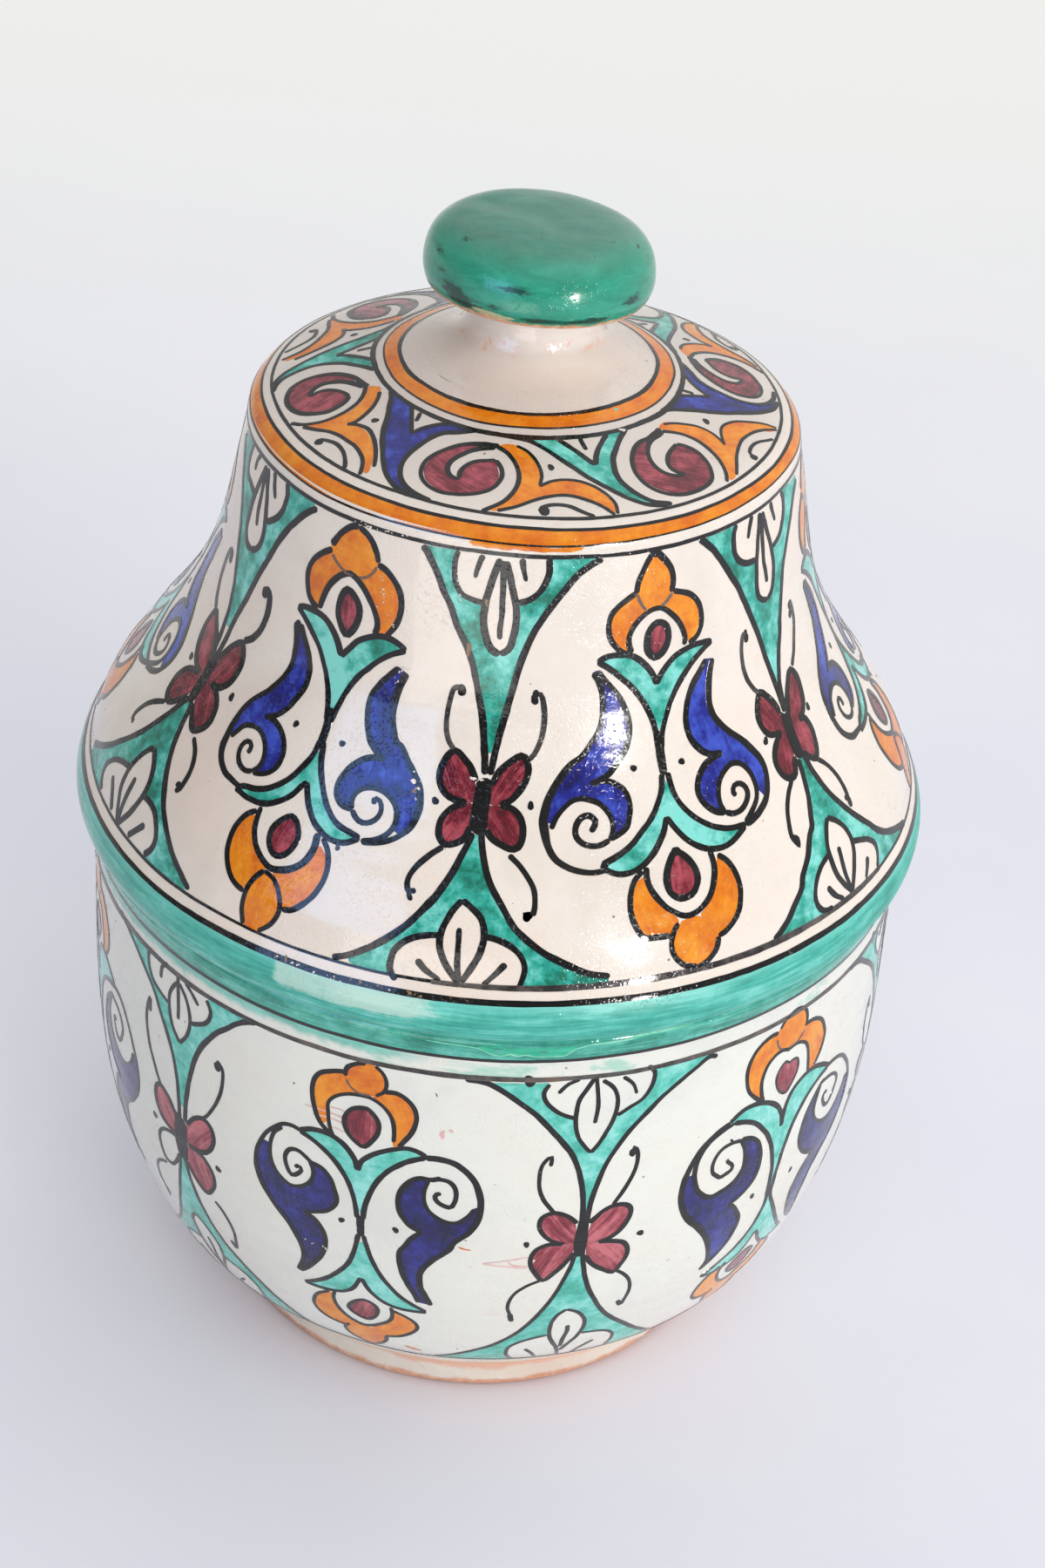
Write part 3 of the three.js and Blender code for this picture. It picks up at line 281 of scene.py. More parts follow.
F teal | -8.58,45.8 -7.06,44.1 -5.11,43.5 -3.44,44.3 -1.78,46.8 -0.67,50.4 -0.25,53.4 | -0.25,53.4 0.17,50.3 1.28,47.6 2.94,45.2 4.61,43.5 6.28,42.4 7.67,42.9 8.83,44.3 | 8.83,44.5 6.83,46.4 5.17,48.9 3.5,52.6 2.25,57 1.42,62 0.86,67 0.36,68.9 | 0.36,68.9 -0.44,66.4 -0.94,62 -1.78,57.6 -2.89,53.9 -4.56,50.3 -6.5,47.6 -8.58,45.8
F teal | 0.5,81.1 1.28,83.1 1.97,87.8 2.94,92.8 4.19,97.2 5.72,101.7 7.67,105.3 9.56,108.4 | 9.56,108.6 7.67,108.9 6,108.8 4.33,107.9 2.94,106.1 1.69,103.3 0.86,100.3 0.31,97.1 | 0.31,97.1 -0.11,98.3 -0.81,101.9 -1.78,104.7 -3.17,106.8 -5.11,107.9 -7.06,108.4 -9,108.3 | -9,108.3 -7.06,105.3 -5.11,101.7 -3.31,97.2 -1.92,92.8 -0.94,87.8 -0.39,83.1 0.5,81.1
F burg | 0.44,108.2 -0.94,109.8 -2,112.5 -2.36,115 -1.72,117.1 -0.53,118.7 0.58,119.2 1.64,117.2 2.28,113.9 2.28,110.9 1.56,109 0.44,108.2
L 1.4c | 0.44,108.2 -0.94,109.8 -2,112.5 -2.36,115 -1.72,117.1 -0.53,118.7 0.58,119.2 1.64,117.2 2.28,113.9 2.28,110.9 1.56,109 0.44,108.2
F ochre | -5.11,109.2 -5.81,109.7 -7.19,112.8 -8.03,116.1 -8.31,119.4 -7.89,122.5 -6.64,125 -5.11,126.2 -3.03,126.7 | -3.03,126.7 -2.06,124.7 -0.94,123.6 | -0.94,123.4 -1.78,122.3 -3.11,119.9 -4.22,116.1 -4.5,112.2 -5.11,109.2
F ochre | 4.89,111 6.28,112.7 7.53,115.1 8.17,118.1 7.81,121 6.5,124.2 4.89,126.2 3.08,127.5 | 3.08,127.5 2.11,125.6 0.86,123.6 | 0.86,123.3 2.81,120 4.11,117.2 4.61,113.9 4.89,111
F ochre | -2.33,125 -3.44,128.3 -3.31,131.7 -2.33,134.4 0.03,138.6 1.56,135.6 2.81,131.7 2.94,128.3 1.56,125.6 -0.11,124.2 -2.33,125
F blue | -14.42,54.5 -15.25,59.2 -15.44,63.7 -15.06,68.1 -14.22,72 -12.97,75.9 -12.33,77.8 -10.67,81.7 -9.56,85.6 -8.86,88.9 -8.5,92.8 -8.67,96.7 -9.28,100 -9.61,102.2 | -9.42,102.5 -8.03,99.4 -6.78,95.6 -5.67,91.7 -4.97,87.2 -4.89,83.3 -5.39,79.7 -6.36,76.9 -7.56,75.4 | -7.61,75.2 -6.22,73.9 -4.56,72 -3.44,69.2 -3.08,66.4 -3.44,63.1 -4.14,59.2 -5.39,56.4 -6.64,55.8 | -6.64,55.9 -6.58,60.3 -7.06,63.1 -8.17,65.6 -9.97,67 | -9.97,67 -11.92,64.5 -12.89,61.4 -13.17,58.1 -13.11,54.8 | -13.11,54.8 -14.42,54.5
F blue | 9.61,52.1 8.22,52 6.83,53.8 5.86,57 5.44,60.9 5.64,64.8 6.33,68.1 7.39,70.6 8.78,72 | 8.78,72 7.39,75.3 6.56,78.7 5.86,81.1 5.72,83.9 6,88.3 6.56,92.8 7.39,97.2 8.22,101.1 8.56,103.3 | 8.56,103.3 10.17,103.9 | 10.17,103.9 9.61,100 8.92,96.1 8.69,92.2 8.92,88.3 9.75,85 11,81.7 12.67,77.8 13.22,74.8 14.75,71.4 15.86,67.6 16.42,63.1 16.47,60.9 | 16.47,60.9 15.72,61.4 | 15.72,61.4 14.75,64.5 13.36,67 12.11,67 10.72,65.6 9.47,63.1 8.92,59.8 8.92,55.9 9.61,52.1
L 1.6 | 0.22,16.1 -1.22,17.2 -2.33,19.2 -2.53,22
L 1.3 | 1.56,16.3 2.67,18.4 3.14,21.4 2.86,24.3 1.78,26.3
L .8n | -2.33,23.1 -1.64,25.3 -0.44,26.7 1,26.6
L 1.7 | -2.56,20.6 -4.28,21.7 -5.94,23.4 -6.78,25.9 -7.06,29.2 -6.92,33.1 -6.5,37 -5.81,40.1 -4.97,42 -3.86,44.1
L 1.4 | -3.81,43.8 -4.42,40.3 -4.69,35.9 -4.69,32.6 -3.86,30.1 -2.33,28.1 -0.39,27.3 1,27.4 2.39,28.7 3.64,31.2 4.28,34.2 4.47,37.6 4.47,40.9
L 1.7 | 2.81,24.3 4.33,23.9 5.72,25.1 6.83,27.6 7.31,30.9 7.11,34.8 6.42,38.1 5.58,40.9 5.22,42.4
L 2.0 | -8.72,45.6 -7.06,43.9 -5.11,43.4 -3.44,44.2 -1.78,46.7 -0.67,50.3 -0.25,53.6
L 1.9 | -0.25,53.6 0.17,50.3 1.28,47.6 2.94,45.1 4.61,43.4 6.28,42.3 7.67,42.8 8.92,44.3
L 1.9 | -8.67,45.9 -6.5,47.6 -4.56,50.3 -2.89,53.9 -1.78,57.6 -0.94,62 -0.44,66.4 -0.11,71.4
L 1.9 | 8.83,44.7 6.83,46.4 5.17,48.9 3.5,52.6 2.25,57 1.42,62 0.86,67 0.67,71.4
L 2.6 | 0.31,70.3 0.31,74.8 0.36,73.3 0.39,78.3
L 1.7 | 0.03,77.8 -0.39,82.8 -0.94,87.8 -1.92,92.8 -3.31,97.2 -5.11,101.7 -7.06,105.3 -9.06,108.2
L 1.7 | 0.78,77.8 1.28,82.8 1.97,87.8 2.94,92.8 4.19,97.2 5.72,101.7 7.67,105.3 9.67,108.3
L 1.7 | 0.31,97.1 -0.11,98.3 -0.81,101.9 -1.78,104.7 -3.17,106.8 -5.11,107.9 -7.06,108.4 -9.06,108.4
L 1.7 | 0.31,97.1 0.86,100.3 1.69,103.3 2.94,106.1 4.33,107.9 6,108.8 7.67,108.9 9.75,108.7
L 1.5 | -4.28,108.2 -4.61,112.2 -4.28,116.1 -3.17,120 -1.78,122.5 -0.11,123.6 1.28,122.5 2.81,120 4.06,117.2 4.56,113.9 4.5,109.2
L 1.4 | -5.25,108.9 -7.19,112.5 -8.11,116.1 -8.44,119.4 -8.03,122.8 -6.78,125.3 -5.11,126.6 -3.03,127.1
L 1.4 | 4.61,110.7 6.28,112.5 7.67,115 8.36,118.1 7.94,121.1 6.56,124.4 4.89,126.7 3.08,128.1
L 1.4 | -2.89,125.6 -3.72,128.3 -3.58,131.7 -2.61,134.4 -1.22,137.2 0.03,139
L 1.4 | 3.14,128.1 3.14,130.6 2.39,133.9 1.28,136.7 0.03,139
L 1.6>1.6>2.2>1.8 | -8.58,45.7 -9.83,45.1 -11.08,45.6 -12.33,47.6 -13.72,50.9 -14.69,54.8 -15.39,59.2 -15.53,63.7 -15.11,68.1 -14.28,72 -13.03,75.9 -12.33,77.8 -10.67,81.7 -9.56,85.6 -8.86,88.9 -8.5,92.8 -8.67,96.7 -9.22,100 -9.69,102.7
L 1.5 | -11.36,47.1 -12.47,49.5 -13.11,53.4 -13.22,57.6 -12.89,61.4 -11.92,64.5 -9.97,67 -8.17,65.6 -7.06,63.1 -6.58,60.3 -6.72,57.3 -7.19,55.6
L 1.6 | -7.06,55.6 -5.39,56.4 -4.14,59.2 -3.44,63.1 -3.08,66.4 -3.44,69.2 -4.56,72 -6.22,73.9 -7.67,75.2
L 1.7 | -6.78,55.8 -7.89,54.1 -9,53.1 -10.11,53.8 -10.78,56.3 -10.67,59.8 -9.83,62.9 -8.72,61.3 -8.33,59.5 -8.86,58.6 -9.28,59.7
L 1.8 | -7.67,75.3 -6.36,76.9 -5.39,79.7 -4.89,83.3 -4.97,87.2 -5.67,91.7 -6.78,95.6 -8.03,99.4 -9.5,102.7
L 2.2 | 8.78,44.7 10.44,44.5 12.39,45.3 14.06,47.6 15.31,50.9 16.06,54.8 16.47,59.2 16.42,63.1 15.86,67.6 14.75,71.4 13.22,74.8 12.67,77.8 11,81.7 9.75,85 8.92,88.3 8.69,92.2 8.92,96.1 9.61,100 10.36,104.3
L 1.4 | 9.39,52.3 8.92,55.9 8.92,59.8 9.47,63.1 10.72,65.6 12.11,67 13.36,67 14.75,64.5 15.67,61.4
L 1.8 | 11,51 9.61,52.1 8.22,52 6.83,53.8 5.86,57 5.44,60.9 5.64,64.8 6.33,68.1 7.39,70.6 8.83,72
L 1.7 | 9.61,52.3 10.86,51.6 12.11,52.1 12.94,54.3 13.11,57.6 12.53,61.3 11.5,60.9 10.5,59.2 10.44,57.1 11.14,56.6
L 1.8 | 8.78,72 7.39,75.3 6.56,78.7 5.86,81.1 5.72,83.9 6,88.3 6.56,92.8 7.39,97.2 8.22,101.1 8.56,103.6
D .9 | -2.39,73.9
D .95 | 5.25,72.9
= JS
F teal | -13.44,16.7 -6.36,16.7 | -6.36,16.9 -6.92,19.8 -6.64,22.6 -5.67,25.3 -4.28,27.6 -2.47,29.5 | -2.47,29.5 -2.33,32 -1.78,36.4 -0.81,39.8 0.06,42 | 0.11,42 0.86,39.8 1.83,35.9 2.67,31.4 3.03,29.7 | 3.36,29.8 4.89,27.8 6.42,25.9 7.39,23.1 7.94,19.8 7.81,16.2 | 7.81,15.6 15.72,15.6 | 15.72,17.6 14.33,19.2 11.83,22.6 9.61,26.2 7.67,30.3 6,34.2 4.61,38.1 3.22,43.1 2.25,47.6 1.56,52.6 1,57.6 0.72,61.4 0.28,64.2 | 0.17,64.2 -0.25,60.9 -0.53,55.9 -0.94,51.4 -1.5,47 -2.33,42.6 -3.44,38.7 -4.83,34.8 -6.5,30.3 -7.89,27 -9.83,23.4 -11.78,20.1 -13.44,17.6 -13.44,16.7
F teal | 0,80.6 0.59,80.8 0.94,85.6 1.53,91.1 2.41,96.7 3.59,102.2 4.76,107.2 6.24,112.2 8,116.7 10.06,121.1 11.82,125 13.88,129.4 15.94,133.3 18.88,139.9 | 18.88,140.1 9.91,140.1 | 9.91,140 9.62,136.7 9.76,132.2 9.32,127.8 8,124.7 5.94,123.1 3.53,122.5 | 3.35,120 3.35,115.6 2.71,111.7 1.53,108.3 -0.15,106.1 | -0.24,106.1 -1.26,108.3 -1.94,112.2 -2,117.2 -1.88,121.1 | -2.29,121.1 -4.35,122.5 -6.41,124.7 -7.74,127.8 -8.03,131.7 -7.59,136.1 -6.71,139.7 | -6.71,140.1 -19.35,140.1 | -19.65,139.4 -16.12,134.4 -13.47,130.6 -11.12,127.2 -9.06,123.3 -7.29,118.9 -5.82,113.9 -4.65,108.9 -3.76,104.4 -2.74,98.9 -2,93.9 -1.41,89.4 -0.82,84.4 0,80.6
F burg | -4,63.4 -5.33,64.1 -5.86,65.8 -5.72,69.2 -4.92,71.9 -3.67,74.1 -2.33,75.3 -1.08,75.3 -0.94,70.9 -1.22,67.6 -2.33,64.9 -4,63.4
F burg | 4.61,63 5.94,63.6 6.61,65.7 6.33,69.2 5.53,72.4 4.06,75.2 2.67,76 1,75.6 1.14,70.3 1.69,66.7 2.94,64.1 4.61,63
F burg | -0.82,75.4 -2.59,75.3 -4.35,75.4 -5.62,76.5 -6.47,79.4 -6.47,83.3 -5.76,86.7 -4.65,90.1 -3.18,87.2 -1.85,83.3 -1.12,79.4 -0.82,75.4
F burg | 0.94,76.1 2.71,76.2 4.47,77.1 6.18,78.4 7.03,81.7 7.03,84.3 6.32,87.7 5.71,90.1 3.88,88.2 2.12,85 1.24,81.1 0.94,76.1
F black | -0.53,67 0.17,65.9 0.67,67 0.86,72 0.86,77.6 0.58,80.9 0.11,81.2 -0.53,80.9 -0.81,77.6 -0.81,72 -0.53,67
L 2.0 | -17.19,15.9 -15.39,16.2 -13.72,17.3 -11.78,20.1 -9.83,23.4 -7.89,27 -6.5,30.3 -4.83,34.8 -3.44,38.7 -2.33,42.6 -1.5,47 -0.94,51.4 -0.53,55.9 -0.25,60.9 -0.06,67.6
L 1.8 | 17.39,17.8 16.28,16.9 14.33,19.2 11.83,22.6 9.61,26.2 7.67,30.3 6,34.2 4.61,38.1 3.22,43.1 2.25,47.6 1.56,52.6 1,57.6 0.72,62 0.56,67.6
L 1.5 | -6.28,16.9 -6.92,19.8 -6.64,22.6 -5.67,25.3 -4.28,27.6 -2.47,29.3
L 1.5 | 6.89,14.5 7.81,16.4 7.94,19.8 7.39,23.1 6.42,25.9 4.89,27.8 3.22,29.9
L 1.5 | -0.25,15.4 -1.22,19.2 -2.19,23.1 -2.42,27.6 -2.33,32 -1.78,36.4 -0.81,39.8 0.06,42.1
L 1.5 | 0.78,16.9 2.25,19.8 2.94,23.1 3.08,27 2.67,31.4 1.83,35.9 0.86,39.8 0.06,42.1
L 1.4 | -0.11,15.8 0.22,20.9 0.44,25.9 0.22,31.6
L 1.4 | -2.33,15.8 -3.86,17.3 -5.03,20.2
L 1.4>1.1 | 3.56,16.7 5.03,19.8 5.64,23.3
L 1.4 | -5.17,45.8 -5.17,42.4 -6.22,44.8 -6.56,49.8 -6.36,54.2 -5.67,58.1 -4.83,60.9 -4.08,63.2
L 1.5 | 6,45.8 6.22,42.3 6.78,45.3 6.69,49.8 6.14,53.7 5.17,58.1 4,62.4
L 2.2 | 5.86,43.1 6,45.6
L 1.7 | -0.81,67.8 -1.22,66.7 -2.33,64.5 -4,63 -5.44,63.9 -5.94,65.7 -5.81,69.2 -4.97,72 -3.72,74.3 -2.33,75.4
L 1.7 | -2.44,75.4 -4.35,75.2 -5.74,76.4 -6.62,79.4 -6.62,83.3 -5.88,86.7 -4.59,90.4 -3.12,87.3 -1.71,83.3 -0.82,79.4
L 1.8 | 0.86,68.1 1.69,66.4 2.94,63.8 4.61,62.7 6.06,63.4 6.75,65.7 6.44,69.2 5.61,72.7 4.06,75.4 2.53,76.3
L 1.8 | 2.65,76.2 4.47,76.8 6.32,78.3 7.18,81.7 7.18,84.4 6.44,87.9 5.71,90.7 3.82,88.4 2.06,85.1 0.88,81.1
D .9 | -7.47,74.8
D 1.0 | 8.72,76
D 1.6 | -8.92,15.7
L 1.3 | -4.88,90.3 -6.71,92.5 -8.18,95.6 -8.91,99.4 -9.06,103.3 -8.62,106.7
L 2.0 | -8.62,106.7 -8.18,111
L 1.3 | 6.09,90.3 7.41,92.8 8.44,96.1 8.94,100.6 8.82,104.4 8.44,108.9
L 1.8 | 7.65,106.1 8.29,109.2
L 1.5 | -0.38,78.3 -0.59,81.1 -0.82,84.4 -1.41,89.4 -2,93.9 -2.74,98.9 -3.76,104.4 -4.65,108.9 -5.82,113.9 -7.29,118.9 -9.06,123.3 -11.12,127.2 -13.47,130.6 -16.12,134.4 -19.65,139.7
L 1.7 | 0.5,78.3 0.59,81.1 0.94,85.6 1.53,91.1 2.41,96.7 3.59,102.2 4.76,107.2 6.24,112.2 8,116.7 10.06,121.1 11.82,125 13.88,129.4 15.94,133.3 19.18,140.3
L 1.5 | -0.18,106 -1.26,108.3 -1.94,112.2 -2,117.2 -1.71,121.7 -0.97,126.1 0.06,130.6 1.24,139.4
L 1.5 | -0.18,106 1.53,108.3 2.71,111.7 3.35,115.6 3.35,120 2.85,124.4 1.82,129.4 1,133.9
L 1.5 | 0.71,116.1 0.94,120 0.65,125 0.71,130.6
L 1.3 | -2.15,121.1 -4.35,122.5 -6.41,124.7 -7.74,127.8 -8.03,131.7 -7.59,136.1 -6.56,139.9
L 1.4 | 3.44,122.5 5.94,123.1 8,124.7 9.32,127.8 9.76,132.2 9.62,136.7 10.06,140
L 1.3 | -5,130.1 -3.76,133.9 -2.59,139.9
L 1.3 | 6.29,129.9 4.47,134.4 3.74,139.9
= JL
F teal | -13.11,16.4 -7.28,16 | -7.28,15.8 -7.56,18.7 -7.28,22 -6.17,25.1 -4.5,26.7 -2.5,28 | -2.42,28.1 -2,32.6 -1.17,35.9 -0.06,38.4 | 0.08,38.4 1.33,34.8 2.03,30.9 2.17,28.1 | 2.44,28.7 3.97,27 5.22,25.3 6.06,22.6 6.19,19.8 5.64,17.3 | 6.06,16 13,16 | 12.44,16.7 10.78,19.2 9.11,22.6 7.44,25.9 5.78,30.3 4.39,34.8 3.28,39.8 2.58,44.8 2.03,49.8 1.61,55.3 1.19,59.2 0.64,60.3 | 0.5,60.3 -0.19,58.1 -0.47,52.6 -1.03,47.6 -1.86,42.6 -2.83,38.7 -4.22,34.2 -5.61,29.8 -7.28,25.9 -9.22,22.6 -11.44,19.2 -13.11,17.3 -13.11,16.4
F teal | 0,80.6 0.59,80.8 0.94,85.6 1.53,91.1 2.41,96.7 3.59,102.2 4.76,107.2 6.24,112.2 8,116.7 10.06,121.1 11.82,125 13.88,129.4 15.94,133.3 18.88,139.9 | 18.88,140.1 9.91,140.1 | 9.91,140 9.62,136.7 9.76,132.2 9.32,127.8 8,124.7 5.94,123.1 3.53,122.5 | 3.35,120 3.35,115.6 2.71,111.7 1.53,108.3 -0.15,106.1 | -0.24,106.1 -1.26,108.3 -1.94,112.2 -2,117.2 -1.88,121.1 | -2.29,121.1 -4.35,122.5 -6.41,124.7 -7.74,127.8 -8.03,131.7 -7.59,136.1 -6.71,139.7 | -6.71,140.1 -19.35,140.1 | -19.65,139.4 -16.12,134.4 -13.47,130.6 -11.12,127.2 -9.06,123.3 -7.29,118.9 -5.82,113.9 -4.65,108.9 -3.76,104.4 -2.74,98.9 -2,93.9 -1.41,89.4 -0.82,84.4 0,80.6
F burg | -4.5,59.8 -5.39,61.4 -5.67,64.8 -5.14,68.6 -3.89,71.3 -2.14,72.7 -0.47,72.8 -0.28,68.1 -0.94,64.9 -2.56,61.6 -4.5,59.8
F burg | 4.94,59.8 6.28,61 6.81,64.2 6.42,68 5.17,71.3 3.83,72.7 1.75,73.1 1.42,68.7 1.83,65.3 3.06,62.1 4.94,59.8
F burg | 2,74 4.3,74.5 5.8,77.5 6.3,81 5.8,85 4.3,88.5 2.6,85.5 1.4,81 1.2,76 2,74
L 1.7 | 1.6,73.4 4.4,73.9 6.1,77.3 6.6,81 6.1,85.2 4.4,89 2.4,85.8 1,81
L 1.6 | -1,74.2 -3,74.7 -5,77.3 -5.7,81 -5.5,85.2 -4.6,88.4 -3.2,88.3 -1.8,85.2 -0.8,81
F black | -1.1,66 0,65 1.2,66 1.4,72 1.3,78 0.9,81 -0.4,81 -1.1,78 -1.3,72 -1.1,66
L 1.8 | -16.44,14.8 -13.94,16.4 -11.44,19.2 -9.22,22.6 -7.28,25.9 -5.61,29.8 -4.22,34.2 -2.83,38.7 -1.86,42.6 -1.03,47.6 -0.47,52.6 -0.19,57.6 -0.06,62 0.08,67.6
L 2.0 | 14.11,15.3 12.44,16.7 10.78,19.2 9.11,22.6 7.44,25.9 5.78,30.3 4.39,34.8 3.28,39.8 2.58,44.8 2.03,49.8 1.61,55.3 1.28,60.3 1.19,65.3
L 1.5 | -7.28,15.6 -7.56,18.7 -7.28,22 -6.17,25.1 -4.5,26.7 -2.61,27.9
L 1.6 | 5.44,17 6.19,19.8 6.06,22.6 5.22,25.3 3.97,27 2.39,28.8
L 1.6 | -0.47,18 -1.58,20.9 -2.33,24.2 -2.42,28.1 -2,32.6 -1.17,35.9 0,38.5
L 1.6 | -0.11,18 1.06,20.9 1.89,24.2 2.17,27.6 2.03,30.9 1.33,34.8 0,38.5
L 1.6 | -0.47,15.4 -0.42,20.9 -0.33,25.9 -0.39,30.7
L 1.5 | -2.83,14.7 -4.08,17.3 -4.5,21.6
L 1.5 | 1.11,16.3 2.44,18.1 3.83,20.9
L 1.4 | -7.14,37 -7.06,31.9 -7.83,35.3 -8.06,39.8 -7.69,45.3 -6.86,50.3 -5.61,55.3 -4.44,59.3
L 2.2 | -7.42,33.1 -7.14,36.7
L 1.4 | 7.44,35.6 8.42,37.6 8.5,42.6 8,47.6 6.89,53.1 5.64,57.6 4.89,59.3
L 2.6 | 7.31,36.4 7.72,39.2
L 1.7 | -0.28,65.3 -0.94,64.9 -2.56,61.3 -4.5,59.5 -5.56,61.3 -5.83,64.8 -5.28,68.7 -4,71.6 -2.14,72.9 -0.61,73.1
L 1.8 | 1.33,65.6 1.83,65.1 3.06,61.8 4.94,59.5 6.42,60.9 6.97,64.2 6.56,68.1 5.28,71.6 3.83,72.9 2.17,73.4
D 1.0 | -6.31,73.7
D 1.0 | 7.58,75.1
L 1.3 | -4.88,90.3 -6.71,92.5 -8.18,95.6 -8.91,99.4 -9.06,103.3 -8.62,106.7
L 2.0 | -8.62,106.7 -8.18,111
L 1.3 | 6.09,90.3 7.41,92.8 8.44,96.1 8.94,100.6 8.82,104.4 8.44,108.9
L 1.8 | 7.65,106.1 8.29,109.2
L 1.5 | -0.38,78.3 -0.59,81.1 -0.82,84.4 -1.41,89.4 -2,93.9 -2.74,98.9 -3.76,104.4 -4.65,108.9 -5.82,113.9 -7.29,118.9 -9.06,123.3 -11.12,127.2 -13.47,130.6 -16.12,134.4 -19.65,139.7
L 1.7 | 0.5,78.3 0.59,81.1 0.94,85.6 1.53,91.1 2.41,96.7 3.59,102.2 4.76,107.2 6.24,112.2 8,116.7 10.06,121.1 11.82,125 13.88,129.4 15.94,133.3 19.18,140.3
L 1.5 | -0.18,106 -1.26,108.3 -1.94,112.2 -2,117.2 -1.71,121.7 -0.97,126.1 0.06,130.6 1.24,139.4
L 1.5 | -0.18,106 1.53,108.3 2.71,111.7 3.35,115.6 3.35,120 2.85,124.4 1.82,129.4 1,133.9
L 1.5 | 0.71,116.1 0.94,120 0.65,125 0.71,130.6
L 1.3 | -2.15,121.1 -4.35,122.5 -6.41,124.7 -7.74,127.8 -8.03,131.7 -7.59,136.1 -6.56,139.9
L 1.4 | 3.44,122.5 5.94,123.1 8,124.7 9.32,127.8 9.76,132.2 9.62,136.7 10.06,140
L 1.3 | -5,130.1 -3.76,133.9 -2.59,139.9
L 1.3 | 6.29,129.9 4.47,134.4 3.74,139.9
= T1
F burg | -6,26.3 -10,27.2 -13.5,29.2 -15.75,32.2 -16.75,35.8 -16.25,39 -14.5,41.7 -11.5,43.3 -8,44 -4.5,43.3 -1,41.5 1.25,39 2,35.8 1.25,32.6 0.25,30.8 | 0.25,30.8 -2,31.3 -4.5,32 -6.5,34 -7.25,36.3 -6.75,38.5 | -6.75,38.5 -9,38.8 -11.5,37.2 -12,34.5 -11,31.7 -8.5,29 -6,26.3
F ochre | 0.5,24.9 3.5,24 7,24.7 10,27 12,29.9 12.75,33.5 12.5,38.5 | 12.5,38.5 15.5,37.2 19.5,36.5 23,37.2 26.5,39.9 28.75,44 29.25,48.1 | 29.25,48.1 27.75,47.6 26,44.9 23,42.6 20,41.5 16.5,41.3 13.5,41.7 10,43.3 6.5,45.8 2.5,47.9 | 2.5,47.9 2,47 4.5,44 6.75,40.4 7.75,36.7 7.5,33.1 6,29.9 3.5,27.2 0.5,24.9
L 1.8>1.2>1.2>1.4 | 0.5,25 -2,25 -4.5,25.1 -8,25.7 -11.5,27.1 -14.5,29.5 -16.75,32.6 -17.75,35.8 -17.25,39 -15.75,41.7 -13,43.8 -9.5,44.7 -6,44.2 -2,42.9 1,40.8 2.75,37.6 3.1,34.9 2.25,32.2 0.5,30.1
L 1.3 | 0.5,30.1 -2,30.8 -4.5,31.5 -6.5,33.1 -7.6,35.4 -7.75,37.2 -7,38.5
L 1.3>1.5>2.0 | -7,38.8 -9,38.8 -10.9,37 -11.5,34.5 -10.9,32.2 -9,29.7 -6.5,27.6 -3.5,26.3 -0.5,25.6
L 1.0 | 6,24.2 9,25.6 11.5,28.1 13,31.3 13.5,34.5 12.9,38.1
L 1.0 | 12.75,38.3 16,36.5 19.5,36 23,36.7 26,38.5 28.5,41.7 29.75,45.4 29.4,48.8
L 1.1 | 28.75,49 26.5,45.8 23.5,43.3 20,41.7 17,41.5 14,42.2 11,43.5 7.5,45.8 3.5,47.7
L 1.3 | 0,25.3 3.5,27.2 6,30.1 7.4,34 7.5,37.2 6.5,40.8 4.5,44.5 1.75,47.2 0.25,48.5
L 1.2 | 13.25,47.6 12.75,46.2 14.75,44.9 17,44.7 19.5,45.4 21.5,47 24.25,49
D 1.2 | 13.75,47.1
D .9 | 16.25,31.5
= T2
F burg | -10.5,27.2 -13.5,27.6 -17,29.5 -19.25,32.6 -20.25,36.3 -19.5,40.4 -17.5,43.5 -14.5,45.6 -10.5,46.5 -7,46.3 -4,45.1 -1.5,42.4 -0.5,38.5 -0.5,35.4 -1.5,33.1 -2.75,32 | -2.75,32 -5.5,32.6 -8.5,34.5 -10.5,36.7 -10.25,39 -8.5,41 | -8.5,41 -11.5,40.4 -14,38.1 -14.75,34.9 -14.25,32.2 -12.5,29.5 -10.5,27.2
F ochre | -2,24.7 1,24 4,24.9 7.5,27.2 10.25,29.9 11.25,33.5 10.75,36.7 10,39.5 | 10,39.5 13,37.2 16,36 19,36.3 22.5,38.3 25.5,41.7 27.75,45.4 28.25,48.1 | 28.25,48.1 26.5,47.2 24,44.5 20.5,42.4 16,41.5 12.5,42 9.5,43.3 6,45.4 2,48.5 | 2,48.5 0.5,48.5 0.5,47.2 3,43.5 4.75,39.9 5.5,36.3 5.25,33.5 3.5,29.5 0.5,27 -2,24.7
L 1.5>1.2>1.2 | -2,25 -5.5,25.7 -9,26.4 -12.5,26.6 -15.5,27.7 -18.25,29.9 -20.25,33.1 -21.1,36.3 -20.6,40.4 -18.5,44 -15.5,46.3 -11.5,47.2 -7.5,47.1 -4,46 -1.5,43.1 0,39.9 0.5,36.3 -0.5,33.5 -2.5,31.5
L 1.2 | -2.5,31.5 -5.5,32.4 -8.5,33.8 -10.5,36 -11,38.1 -10,40.1 -8.75,41
L 1.2>1.3>1.6 | -8.75,41 -11.5,40.6 -13.75,38.5 -14.6,35.8 -14.4,33.1 -13,30.4 -10.5,28.1 -7.5,27 -4,26.5 -2,25.8
L .9 | 1,24.2 4.5,25.4 7.5,27.4 10.25,30.1 11.4,33.5 11,36.7 10,39.5
L .9 | 10,39.2 13,36.7 16,35.4 19,35.6 22.5,37.4 25.5,40.8 28,44.9 28.75,48.3
L 1.0 | 28,48.5 26.5,46.7 23.5,44 20,42.4 16,41.7 12.5,42.4 9,43.8 5.5,46.3 3,48.2
